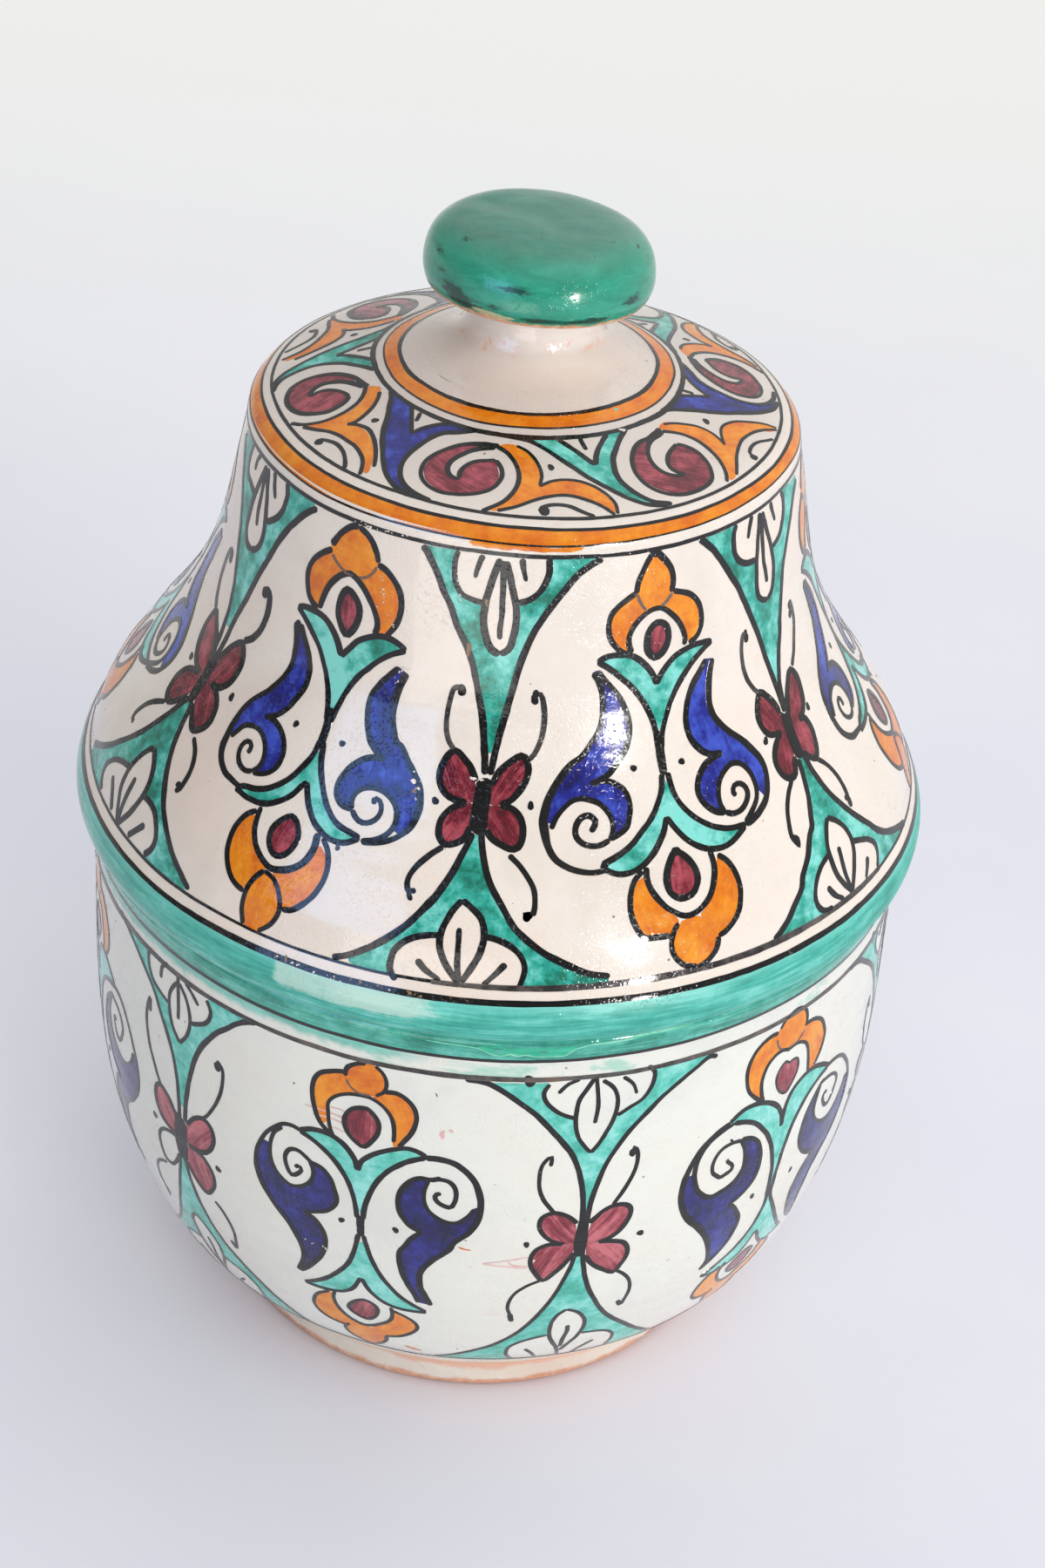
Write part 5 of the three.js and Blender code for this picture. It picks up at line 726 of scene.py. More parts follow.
class Paint:
    """Closed thin skins of one colour on one body."""

    def __init__(self):
        self.v, self.n, self.f, self.brush, self.tone, self.edge, self.count = [], [], [], [], [], [], 0

    def put(self, v, n, f, brush, tone, edge):
        self.v.append(v)
        self.n.append(n)
        self.f.extend([[i + self.count for i in q] for q in f])
        self.brush.append(brush)
        self.tone.append(tone)
        self.edge.append(edge)
        self.count += len(v)

    def ribbon(self, skin, th, s, left, right, tone, h, closed=False, brush=None, cross=1):
        """A strip along a line on the skin, with half widths to its two sides in mm, in cross columns."""
        r = skin.radius(s)
        if closed:
            dx = (np.roll(th, -1) - np.roll(th, 1) + np.pi) % (2 * np.pi) - np.pi
            ds = np.roll(s, -1) - np.roll(s, 1)
        else:
            dx, ds = np.gradient(th), np.gradient(s)
        dx = dx * r
        ln = np.maximum(np.hypot(dx, ds), 1e-9)
        px, py = -ds / ln, dx / ln
        n, cols = len(th), cross + 1
        k = np.linspace(0, 1, cols)
        off = left[:, None] * (1 - k) - right[:, None] * k                    # n x cols
        tt = th[:, None] + px[:, None] * off / r[:, None]
        ss = np.clip(s[:, None] + py[:, None] * off, 0.15, skin.length - 0.15)
        hh = np.broadcast_to(np.asarray(h, float).reshape(-1, 1) if np.ndim(h) else float(h), (n, cols))
        top, nrm = skin.at(tt, ss, hh)
        low, _ = skin.at(tt, ss, -BURY)
        v = np.vstack([top.reshape(-1, 3), low.reshape(-1, 3)])
        nn = np.vstack([nrm.reshape(-1, 3)] * 2)
        m = n * cols
        idx = np.arange(m).reshape(n, cols)
        faces = []
        rows = range(n) if closed else range(n - 1)
        for i in rows:
            j = (i + 1) % n
            for c in range(cross):
                faces.append([idx[i, c], idx[i, c + 1], idx[j, c + 1], idx[j, c]])
                faces.append([idx[j, c] + m, idx[j, c + 1] + m, idx[i, c + 1] + m, idx[i, c] + m])
            faces.append([idx[i, 0], idx[j, 0], idx[j, 0] + m, idx[i, 0] + m])
            faces.append([idx[j, -1], idx[i, -1], idx[i, -1] + m, idx[j, -1] + m])
        if not closed:
            for c in range(cross):
                faces.append([idx[0, c + 1], idx[0, c], idx[0, c] + m, idx[0, c + 1] + m])
                faces.append([idx[-1, c], idx[-1, c + 1], idx[-1, c + 1] + m, idx[-1, c] + m])
        mid = n // 2
        a, b, c = top[mid, 0], top[mid, -1], top[(mid + 1) % n, -1]
        if np.dot(np.cross(b - a, c - a), nrm[mid, 0]) < 0:
            faces = [q[::-1] for q in faces]
        if callable(tone):
            tn = tone(tt, ss).ravel()
        else:
            tn = np.broadcast_to(np.asarray(tone, float).reshape(-1, 1) if np.ndim(tone) else float(tone), (n, cols)).ravel()
        if brush is None:
            br = np.stack([r[:, None] * np.sin(tt) * 0.05, ss * 0.45, r[:, None] * np.cos(tt) * 0.05], -1).reshape(-1, 3)
        else:
            br = brush(tt, ss).reshape(-1, 3)
        ed = np.broadcast_to(2 * k - 1, (n, cols)).ravel()
        self.put(v, nn, faces, np.vstack([br, br]), np.tile(tn, 2), np.tile(ed, 2))

    def fill(self, skin, loop, h, tone, seed, grid=2.3):
        """A filled outline of (angle, mm) points."""
        rc = float(skin.radius(loop[:, 1].mean()))
        p = np.stack([loop[:, 0] * rc, loop[:, 1]], -1)
        rng = np.random.default_rng(seed)
        lo, hi = p.min(0), p.max(0)
        gx, gy = np.meshgrid(np.arange(lo[0], hi[0], grid), np.arange(lo[1], hi[1], grid))
        g = np.stack([gx.ravel(), gy.ravel()], -1) + rng.uniform(-0.2, 0.2, (gx.size, 2)) * grid
        if len(g):
            x, y = p[:, 0], p[:, 1]
            x2, y2 = np.roll(x, -1), np.roll(y, -1)
            cond = (y[None] > g[:, 1:2]) != (y2[None] > g[:, 1:2])
            dy = np.where(np.abs(y2 - y) < 1e-9, 1e-9, y2 - y)
            hit = g[:, 0:1] < (x2 - x)[None] * (g[:, 1:2] - y[None]) / dy[None] + x[None]
            inside = (np.logical_and(cond, hit).sum(1) % 2) == 1
            g = g[inside]
            if len(g):
                dist = np.sqrt(((g[:, None] - p[None]) ** 2).sum(-1)).min(1)
                g = g[dist > 0.45 * grid]
        pts = np.vstack([p, g]) if len(g) else p
        m = len(p)
        out = delaunay_2d_cdt([Vector(q) for q in pts], [(i, (i + 1) % m) for i in range(m)], [], 1, 1e-4)
        q = np.array([tuple(c) for c in out[0]], float)
        tris = [list(t) for t in out[2]]
        if not tris:
            return
        th, s = q[:, 0] / rc, q[:, 1]
        dist = np.sqrt(((q[:, None] - p[None]) ** 2).sum(-1)).min(1)
        top, nrm = skin.at(th, s, h)
        low, _ = skin.at(th, s, -BURY)
        k = len(q)
        seen = {}
        faces = []
        for t in tris:
            faces.append(t[::-1])
            faces.append([i + k for i in t])
            for a, b in zip(t, t[1:] + t[:1]):
                seen[(a, b)] = True
        for a, b in seen:
            if (b, a) not in seen:
                faces.append([a, b, b + k, a + k])
        c = p - p.mean(0)
        ax = np.linalg.svd(c, full_matrices=False)[2]
        u, w = (q - p.mean(0)) @ ax[0], (q - p.mean(0)) @ ax[1]
        bend = 0.012 * u * u * rng.uniform(-1, 1)
        br = np.stack([u * 0.055, (w + bend) * 0.42, np.full(k, rng.uniform(0, 90))], -1)
        self.put(np.vstack([top, low]), np.vstack([nrm, nrm]), faces, np.vstack([br, br]), np.full(2 * k, tone), np.tile(dist, 2))

    def piece(self, name, material, body, slot):
        if not self.count:
            return None
        return make(name, np.vstack(self.v), self.f, material, body, normals=np.vstack(self.n),
                    attrs={"brush": np.vstack(self.brush), "tone": np.concatenate(self.tone), "edge": np.concatenate(self.edge)})


FILL_H, LINE_H, CHIP_H = 0.05, 0.10, 0.14
COLOURS = ("black", "teal", "blue", "ochre", "burg")
PAINT = {"lid": {c: Paint() for c in COLOURS}, "jar": {c: Paint() for c in COLOURS}}
NAMES = {"black": "black_lines", "teal": "teal_grounds", "blue": "blue_leaves", "ochre": "ochre_petals", "burg": "burgundy_buds"}


def brush_line(body, skin, pts, widths, seed, closed=False, ink=1.0, h=LINE_H):
    """A brush line through (angle, mm) points; the brush presses and lifts a little along the way."""
    rng = np.random.default_rng(seed)
    rc = float(skin.radius(pts[:, 1].mean()))
    q = curve(np.stack([pts[:, 0] * rc, pts[:, 1]], -1), closed)
    widths = [w * (0.84 if body == "jar" else 0.95) for w in widths]   # the jar was drawn with a finer brush
    wmax = max(widths)
    line, d, total = walk(q, 1.15, closed, ends=wmax * 0.55)
    w = np.interp(d / max(total, 1e-6), np.linspace(0, 1, len(widths)), widths) if len(widths) > 1 else np.full(len(d), widths[0])
    w = w * (1 + 0.09 * soft_noise(rng, total, 9.0, closed)(d))
    left = 0.5 * w * (1 + 0.09 * soft_noise(rng, total, 2.2, closed)(d))
    right = 0.5 * w * (1 + 0.09 * soft_noise(rng, total, 2.2, closed)(d))
    if not closed:
        cap = 0.5 * wmax
        e = np.clip(np.minimum(d, total - d) / cap, 0, 1)
        taper = np.sqrt(np.maximum(1 - (1 - e) ** 2, 0.0)) * 0.96 + 0.04
        left, right = left * taper, right * taper
    tone = np.clip(ink * (0.86 + 0.22 * soft_noise(rng, total, 12.0, closed)(d)), 0.02, 1)
    PAINT[body]["black"].ribbon(skin, line[:, 0] / rc, line[:, 1], left, right, tone, h + rng.uniform(0, 0.012), closed)


def lay(body, skin, key, centre, seed, loose=0.0, squeeze=1.0, s_shift=0.0, skip=()):
    """Paints a motif round a centre line. loose is how far, in mm, a repeat strays from the drawn one."""
    rng = np.random.default_rng(seed)
    ph = rng.uniform(0, 2 * np.pi, 6)

    def place(p):
        th = np.radians(p[:, 0] * squeeze)
        s = p[:, 1] + s_shift
        r = skin.radius(s)
        x = th * r
        fade = np.clip(np.minimum(s - 60, 172 - s) / 8.0, 0, 1) if body == "lid" and key[0] == "L" else 1.0
        ex = loose * (np.sin(s / 9.0 + ph[0]) + 0.6 * np.sin(s / 4.3 + ph[1]) + 0.5 * np.sin(x / 6 + ph[2])) * 0.6
        ey = loose * (np.sin(x / 8.0 + ph[3]) + 0.6 * np.sin(x / 3.9 + ph[4]) + 0.5 * np.sin(s / 7 + ph[5])) * 0.6 * fade
        return np.stack([np.radians(centre) + (x + ex) / r, s + ey], -1)

    for i, (kind, word, curves) in enumerate(MOTIFS[key]):
        if i in skip:
            continue
        sub = seed * 1000 + i
        if kind == "F":
            rc = float(skin.radius(np.vstack(curves)[:, 1].mean()))
            parts = []
            for c in curves:
                p = place(c)
                q = curve(np.stack([p[:, 0] * rc, p[:, 1]], -1))
                parts.append(q)
            loop = np.vstack(parts)
            line, d, total = walk(loop, 0.95, closed=True)
            g = np.roll(line, -1, 0) - np.roll(line, 1, 0)
            g /= np.maximum(np.hypot(*g.T), 1e-6)[:, None]
            way = np.sign(np.sum(line[:, 0] * np.roll(line[:, 1], -1) - np.roll(line[:, 0], -1) * line[:, 1]))
            nz = soft_noise(np.random.default_rng(sub), total, 2.6, True)(d) * 0.12 + (0.10 if word == "black" else 0.30)
            line = line + way * np.stack([g[:, 1], -g[:, 0]], -1) * nz[:, None]
            loop = np.stack([line[:, 0] / rc, line[:, 1]], -1)
            tone = np.random.default_rng(sub).uniform(0, 1)
            if word == "teal":
                tone = {"LA": 0.70, "LB": 0.85, "JA": 0.7, "JB": 0.8}.get(key, 0.45) + 0.2 * (tone - 0.5)
            if word == "burg":
                tone = {"JS": 0.7, "JL": 0.75, "LB": 1.05, "LA": 0.6, "LS": 0.6, "LR": 0.6, "T1": 0.75, "T2": 0.75, "T3": 0.7}.get(key, 0.5) + 0.2 * (tone - 0.5)
            if word == "ochre":
                tone = {"JB": 0.95, "JA": 0.7}.get(key, 0.5) + 0.4 * (tone - 0.5)
            if word == "blue":
                tone = {"LB": 0.76, "LA": 0.5}.get(key, 0.45) + 0.3 * (tone - 0.5)
            PAINT[body][word].fill(skin, loop, LINE_H if word == "black" else FILL_H, 0.95 if word == "black" else tone, sub)
        elif kind == "L":
            ink, closed, txt = 1.0, False, word
            while txt[-1] in "cgn":
                ink, closed = {"g": (0.55, closed), "n": (0.2, closed), "c": (ink, True)}[txt[-1]]
                txt = txt[:-1]
            brush_line(body, skin, place(curves[0]), [float(x) for x in txt.split(">")], sub, closed, ink)
        else:
            ink = 0.5 if word.endswith("g") else 1.0
            rad = float(word.rstrip("g"))
            c = place(curves[0])[0]
            r2 = np.random.default_rng(sub)
            a = np.linspace(0, 2 * np.pi, 18, endpoint=False)
            rr = rad * (1 + 0.13 * np.sin(2 * a + r2.uniform(0, 6)) + 0.07 * np.sin(3 * a + r2.uniform(0, 6)))
            rc = float(skin.radius(c[1]))
            loop = np.stack([c[0] + rr * np.cos(a) / rc, c[1] + rr * 1.15 * np.sin(a)], -1)
            PAINT[body]["black"].fill(skin, loop, LINE_H, 0.9 * ink, sub, grid=1.0)


def ring(body, skin, stops, width, seed, ink=1.0, n=None, stray=0.12, paint="black", h=LINE_H, to=None, cross=1, rough=0.09, tone=None):
    """A painted line round the body through (degrees, mm) stops, or a band from these stops to those of `to`."""
    rng = np.random.default_rng(seed)
    th = np.linspace(-np.pi, np.pi, n or 560, endpoint=False)

    def round_line(st, amp):
        st = np.array(sorted(st), float)
        s = np.interp(np.degrees(th), st[:, 0], st[:, 1], period=360)
        ker = np.hanning(41)
        s = np.convolve(np.concatenate([s[-20:], s, s[:20]]), ker / ker.sum(), "valid")
        return s + amp * (soft_noise(rng, 360, 24.0, True)(np.degrees(th) + 180) + 0.45 * soft_noise(rng, 360, 5.0, True)(np.degrees(th) + 180))
    s = round_line(stops, stray)
    deg = np.degrees(th) + 180
    if to is None:
        w = width * (1 + 0.16 * soft_noise(rng, 360, 17.0, True)(deg))
        left = 0.5 * w * (1 + rough * soft_noise(rng, 360, 1.6, True)(deg))
        right = 0.5 * w * (1 + rough * soft_noise(rng, 360, 1.6, True)(deg))
        tone = np.clip(ink * (0.84 + 0.24 * soft_noise(rng, 360, 14.0, True)(deg)), 0.02, 1)
        PAINT[body][paint].ribbon(skin, th, s, left, right, tone, h + rng.uniform(0, 0.012), True, cross=cross)
    else:
        s2 = round_line(to, stray)
        mid, half = (s + s2) / 2, np.abs(s2 - s) / 2
        paint = PAINT[body][paint] if isinstance(paint, str) else paint
        paint.ribbon(skin, th, mid, half, half, rng.uniform(0.4, 0.6) if tone is None else tone, h, True, cross=cross)


# lid: rings and bands
R1 = [(-104, 13.4), (-70, 13.1), (-36, 13.1), (-8, 12.9), (26, 12.8), (52, 12.95), (86, 12.95), (150, 13.1), (200, 13.2)]
R1B = [(-104, 18.2), (-85, 17.6), (-70, 17.3), (-36, 17.6), (-8, 17.7), (20, 17.5), (52, 17.8), (86, 18.1), (150, 17.9), (200, 18.0)]
R2 = [(-104, 21.2), (-70, 20.2), (-36, 20.6), (-8, 20.9), (26, 20.9), (52, 21.0), (86, 20.7), (150, 20.8), (200, 21.0)]
R3 = [(-104, 49.4), (-70, 48.4), (-40, 48.2), (-8, 48.8), (20, 49.5), (52, 49.6), (86, 49.1), (140, 49.0), (200, 49.2)]
R4 = [(-104, 52.4), (-70, 51.5), (-40, 51.5), (-8, 52.1), (10, 52.7), (26, 52.9), (52, 52.5), (86, 52.8), (140, 52.4), (200, 52.5)]
R4B = [(-100, 56.6), (-70, 56.4), (-40, 56.7), (-8, 56.5), (12, 56.9), (26, 56.5), (40, 56.1), (62, 55.8), (86, 56.3), (150, 56.4), (210, 56.5)]
R5 = [(-100, 59.6), (-70, 59.4), (-38, 59.8), (-8, 59.5), (26, 59.7), (52, 59.7), (86, 59.5), (150, 59.6), (210, 59.7)]
ring("lid", LID, R1, 0, 11, paint="ochre", to=R1B, h=FILL_H, cross=3, stray=0.10)
ring("lid", LID, R4, 0, 12, paint="ochre", to=R4B, h=FILL_H, cross=3, stray=0.12)
ring("lid", LID, R1, 1.15, 21, stray=0.10)
ring("lid", LID, R1B, 0.60, 22, ink=0.85, stray=0.10)
ring("lid", LID, R2, 1.45, 23, stray=0.10)
ring("lid", LID, R3, 0.95, 24, stray=0.10)
ring("lid", LID, R4, 0.85, 25, stray=0.10)
ring("lid", LID, R4B, 0.50, 26, ink=0.8, stray=0.12)
ring("lid", LID, R5, 1.05, 27, stray=0.12)
ring("lid", LID, [(-90, 172.9), (0, 172.7), (90, 172.9), (180, 172.8)], 0.85, 28, ink=0.9, n=760, stray=0.14)
ring("lid", LID, [(-90, 176.8), (0, 176.9), (90, 176.8), (180, 176.9)], 1.55, 29, n=760, stray=0.14)
lid_roll = Paint()


def roll_wear(th, s):
    """Where the roll's glaze is rubbed pale: mostly a patch at the front left, and shorter ones round the back."""
    deg = np.degrees(th)
    out = np.full(th.shape, 0.30)
    for a, b, c, d, low, much in ((-27.6, -26.6, -9.5, -3.0, 183.0, 0.74), (118, 121, 131, 137, 181.0, 0.5), (-149, -146, -140, -131, 181.5, 0.5), (38, 41, 44, 52, 180.5, 0.22)):
        along = np.clip((deg - a) / (b - a), 0, 1) * np.clip((d - deg) / (d - c), 0, 1)
        out = out + much * along * np.clip((low + 2.6 - s) / 2.8, 0, 1)
    return out


ring("lid", LID, [(0, 177.0)], 0, 30, paint=lid_roll, to=[(0, 190.3)], h=FILL_H, cross=14, n=720, stray=0.05, tone=roll_wear)

# jar: rings and bands
jar_roll = Paint()
ring("jar", JAR, [(0, 0.9)], 0, 31, paint=jar_roll, to=[(-60, 8.3), (0, 8.5), (60, 8.4), (180, 8.3)], h=FILL_H, cross=8, n=480, stray=0.07)
ring("jar", JAR, [(-60, 8.6), (0, 8.7), (60, 8.5), (180, 8.5)], 1.35, 32, n=720, stray=0.16)
ring("jar", JAR, [(-60, 15.5), (0, 15.3), (60, 15.4), (180, 15.4)], 1.6, 33, ink=0.42, n=720, stray=0.22)
ring("jar", JAR, [(-60, 140.2), (0, 140.0), (60, 140.1), (180, 140.0)], 0.8, 34, ink=0.7, n=640, stray=0.2)

# lid: crown scrolls and wedges
for key, at, seed, loose in (("T3", -70, 41, 0), ("T1", -8, 42, 0), ("T2", 52, 43, 0), ("T1", 108.1, 44, 0.3), ("T2", 175.8, 45, 0.3),
                             ("T3", -129.6, 46, 0.3)):
    lay("lid", LID, key, at, seed, loose)
for key, at, seed, loose in (("WB", -36, 51, 0), ("WT", 21.4, 52, 0), ("WB", 82, 53, 0.2), ("WT", 138, 54, 0.3), ("WB", -154.2, 55, 0.3),
                             ("WT", -94, 56, 0.2)):
    lay("lid", LID, key, at, seed, loose)
# lid: spandrels with butterflies, and flower medallions between them
for key, at, seed, loose in (("LL", -61, 61, 0), ("LS", -3, 62, 0), ("LR", 56, 63, 0), ("LS", 116.75, 64, 0.4), ("LR", 177.5, 65, 0.4),
                             ("LL", 238.25, 66, 0.4)):
    lay("lid", LID, key, at, seed, loose)
for key, at, seed, loose in (("LA", -31, 71, 0), ("LB", 28, 72, 0), ("LA", 86.4, 73, 0.4), ("LB", 147, 74, 0.4), ("LA", 208, 75, 0.5),
                             ("LB", 268.6, 76, 0.4)):
    lay("lid", LID, key, at, seed, loose)
# jar: the same scheme below
for key, at, seed, loose in (("JL", -45, 81, 0), ("JS", 15.5, 82, 0), ("JS", 77.5, 83, 0.5), ("JL", 136.9, 84, 0.4), ("JS", 196.3, 85, 0.5),
                             ("JS", 255.6, 86, 0.5)):
    lay("jar", JAR, key, at, seed, loose)
for key, at, seed, loose in (("JA", -15, 91, 0), ("JB", 47, 92, 0), ("JA", 107, 93, 0.5), ("JB", 166.5, 94, 0.5), ("JA", 226, 95, 0.5),
                             ("JB", 285.3, 96, 0.5)):
    lay("jar", JAR, key, at, seed, loose)

# wear and slips of the brush: chips in the glaze, flaked lines, rose and orange smears, a run of glaze under the lid's seam
CHIPS = {"lid": Paint(), "jar": Paint()}
jar_smears, jar_run, jar_run_edge, lid_gold = Paint(), Paint(), Paint(), Paint()


def blob(paint, skin, deg, s, w, tall, seed, tone=0.5, h=CHIP_H, turn_by=0.0):
    """A small ragged patch."""
    r2 = np.random.default_rng(seed)
    a = np.linspace(0, 2 * np.pi, 26, endpoint=False)
    rr = 1 + sum(m * np.sin(q * a + r2.uniform(0, 6.28)) for q, m in ((2, 0.20), (3, 0.15), (5, 0.10), (8, 0.06)))
    x, y = 0.5 * w * rr * np.cos(a), 0.5 * tall * rr * np.sin(a)
    c, d = math.cos(turn_by), math.sin(turn_by)
    paint.fill(skin, np.stack([np.radians(deg) + (x * c - y * d) / float(skin.radius(s)), s + x * d + y * c], -1), h, tone, seed, grid=1.2)


def flakes(body, skin, path, count, spread, size, seed, paint=None, h=CHIP_H):
    """Crumbs of bare glaze along a worn line."""
    r2 = np.random.default_rng(seed)
    line, d, total = walk(curve(np.array(path, float)), 0.5)
    for i in range(count):
        q = line[r2.integers(0, len(line))]
        z = size * r2.uniform(0.5, 1.3)
        blob(paint or CHIPS[body], skin, q[0] + np.degrees(r2.normal(0, spread) / skin.radius(q[1])), q[1] + r2.normal(0, spread), z, z * r2.uniform(0.7, 1.6),
             seed * 100 + i, turn_by=r2.uniform(0, 3), h=h)


def stroke(paint, skin, path, width, seed, tone=0.5, h=0.075):
    """A light slip of the brush through (degrees, mm) points."""
    r2 = np.random.default_rng(seed)
    pts = np.array(path, float)
    rc = float(skin.radius(pts[:, 1].mean()))
    line, d, total = walk(curve(np.stack([np.radians(pts[:, 0]) * rc, pts[:, 1]], -1)), 0.7, ends=0.8)
    half = 0.5 * width * np.sqrt(np.clip(np.minimum(d, total - d) / 1.5, 0.01, 1)) * (1 + 0.35 * soft_noise(r2, total, 1.5)(d))
    paint.ribbon(skin, line[:, 0] / rc, line[:, 1], half, half, tone, h)


for deg, s_, w, tall, tn in ((36.75, 21.2, 1.7, 1.1, 0.4), (-13.75, 122.4, 1.7, 1.0, 0.6), (-12.7, 124.0, 0.8, 0.7, 0.0), (-4.25, 119.25, 1.5, 0.9, 0.2),
                             (-2.9, 119.4, 0.9, 0.6, 0.0), (-18.0, 94.0, 0.7, 0.5, 0.0), (131, 21.0, 1.3, 0.9, 0.2), (-160, 60.0, 1.6, 0.8, 0.0),
                             (170, 124, 1.2, 1.0, 0.4), (98, 150, 0.9, 0.7, 0.2)):
    blob(CHIPS["lid"], LID, deg, s_, w, tall, int(abs(deg) * 10) + 7, turn_by=tn)
flakes("lid", LID, [(-33, 59.7), (-27, 59.8), (-20, 59.5)], 15, 0.30, 0.42, 301)
flakes("lid", LID, [(-27.2, 68), (-26.0, 70.2), (-25.0, 74), (-24.3, 77.7)], 9, 0.30, 0.36, 302)
flakes("lid", LID, [(-18.8, 93.6), (-19.3, 95.5), (-19.9, 98.5)], 13, 0.36, 0.36, 303)
flakes("lid", LID, [(-25, 80), (-23, 82), (-21, 84.5)], 7, 0.30, 0.34, 304)
flakes("lid", LID, [(-11, 66), (-10.2, 70), (-9.2, 75)], 8, 0.30, 0.34, 305)
flakes("lid", LID, [(-14, 120), (-13.2, 123), (-13, 126)], 6, 0.45, 0.34, 306)
flakes("lid", LID, [(150, 59.7), (158, 59.6), (166, 59.6)], 9, 0.3, 0.4, 307)
flakes("lid", LID, [(-27.5, 176.8), (-25.5, 176.5)], 5, 0.30, 0.55, 309, lid_gold, LINE_H + 0.05)
flakes("lid", LID, [(-17, 176.4), (-14, 176.5), (-12.5, 176.6)], 8, 0.30, 0.60, 312, lid_gold, LINE_H + 0.05)
flakes("lid", LID, [(-9.6, 176.7), (-7.6, 176.8)], 6, 0.25, 0.60, 313, lid_gold, LINE_H + 0.05)
flakes("lid", LID, [(-5.0, 71.5), (-4.6, 73.5)], 4, 0.25, 0.5, 314, lid_gold, LINE_H + 0.05)
flakes("lid", LID, [(-27, 177.0), (-20, 177.2), (-12, 177.0)], 14, 0.6, 0.42, 310)
flakes("jar", JAR, [(-26, 84), (-22, 86), (-19, 90)], 7, 1.2, 0.4, 308)
blob(PAINT["lid"]["black"], LID, -7.25, 85.5, 1.5, 3.2, 401, tone=0.02, h=LINE_H + 0.03)
blob(PAINT["lid"]["black"], LID, -13.3, 124.8, 1.0, 1.4, 402, tone=0.05, h=LINE_H + 0.03)
brush_line("lid", LID, np.array([(math.radians(a), b) for a, b in ((-7, 172.9), (6, 172.8), (18, 172.6), (30, 172.6), (44, 172.7), (64, 172.9))]),
           [1.3, 1.9, 1.9, 1.5], 405, False, 0.42)
stroke(PAINT["lid"]["ochre"], LID, [(-9, 57.3), (-4, 57.5), (2, 57.5), (8, 57.7), (13, 57.3)], 1.3, 403, 0.6)
blob(PAINT["lid"]["teal"], LID, 41, 14.4, 1.2, 0.8, 404, tone=0.9, h=FILL_H + 0.04)
for i, path in enumerate((((-23.2, 36.2), (-20, 36.0), (-17.4, 36.6)), ((-22.0, 38.4), (-19.5, 37.9), (-17.2, 38.6)), ((-20.8, 41.2), (-18.6, 40.8), (-16.9, 41.6)),
                          ((-19.6, 34.2), (-18.2, 33.9), (-16.8, 34.6)), ((2.3, 82.6), (5.0, 81.6), (8.4, 79.9)), ((2.3, 82.9), (5.2, 83.7), (8.5, 84.6)),
                          ((5.6, 81.5), (6.4, 83.2), (8.7, 84.0)))):
    stroke(jar_smears, JAR, path, 0.42 if i != 6 else 0.7, 410 + i)
for i, (deg, s_, w, tall) in enumerate(((-4.2, 35.8, 1.7, 2.6), (-3.1, 34.2, 1.2, 1.1), (9.2, 81.5, 1.3, 1.0), (29.8, 92, 0.9, 0.8), (118, 60, 1.6, 2.0), (-150, 84, 1.8, 1.2))):
    blob(jar_smears, JAR, deg, s_, w, tall, 430 + i, h=0.06)
stroke(PAINT["jar"]["ochre"], JAR, [(-9.0, 132.8), (-7.6, 134.2), (-6.3, 135.0)], 1.0, 441, 0.3)
stroke(PAINT["jar"]["ochre"], JAR, [(-1.2, 76.4), (-0.2, 77.2), (0.6, 77.3)], 0.6, 442, 0.3)
stroke(PAINT["jar"]["black"], JAR, [(-5.4, 21.6), (-5.1, 23.0)], 0.5, 443, 0.05)
RUN = [(-12, 2.9), (-7, 3.3), (-2.75, 3.7), (-0.5, 4.1), (0.5, 5.0), (1.5, 6.2), (2.75, 6.5), (3.75, 5.8), (4.75, 6.5), (5.75, 6.0), (7.0, 6.75), (9.0, 6.75), (10.75, 6.7),
       (11.25, 5.8), (12.0, 4.5), (12.75, 3.8), (14.25, 3.3), (20, 2.9), (28, 2.5)]
edge_line = curve(np.array(RUN))
run_loop = np.vstack([edge_line, [(28, 1.6), (20, 1.5), (10, 1.4), (0, 1.4), (-12, 1.6)]])
line, d, total = walk(np.stack([np.radians(run_loop[:, 0]) * 118.0, run_loop[:, 1]], -1), 0.9, closed=True)
jar_run.fill(JAR, np.stack([line[:, 0] / 118.0, line[:, 1]], -1), FILL_H + 0.06, 0.5, 451)
stroke(jar_run_edge, JAR, RUN[1:-1], 0.42, 452, h=FILL_H + 0.09)

# ---- materials -----------------------------------------------------------------------------------------------------


def lin(*rgb):
    return tuple((c / 12.92 if c <= 0.04045 else ((c + 0.055) / 1.055) ** 2.4) for c in (v / 255 for v in rgb)) + (1.0,)


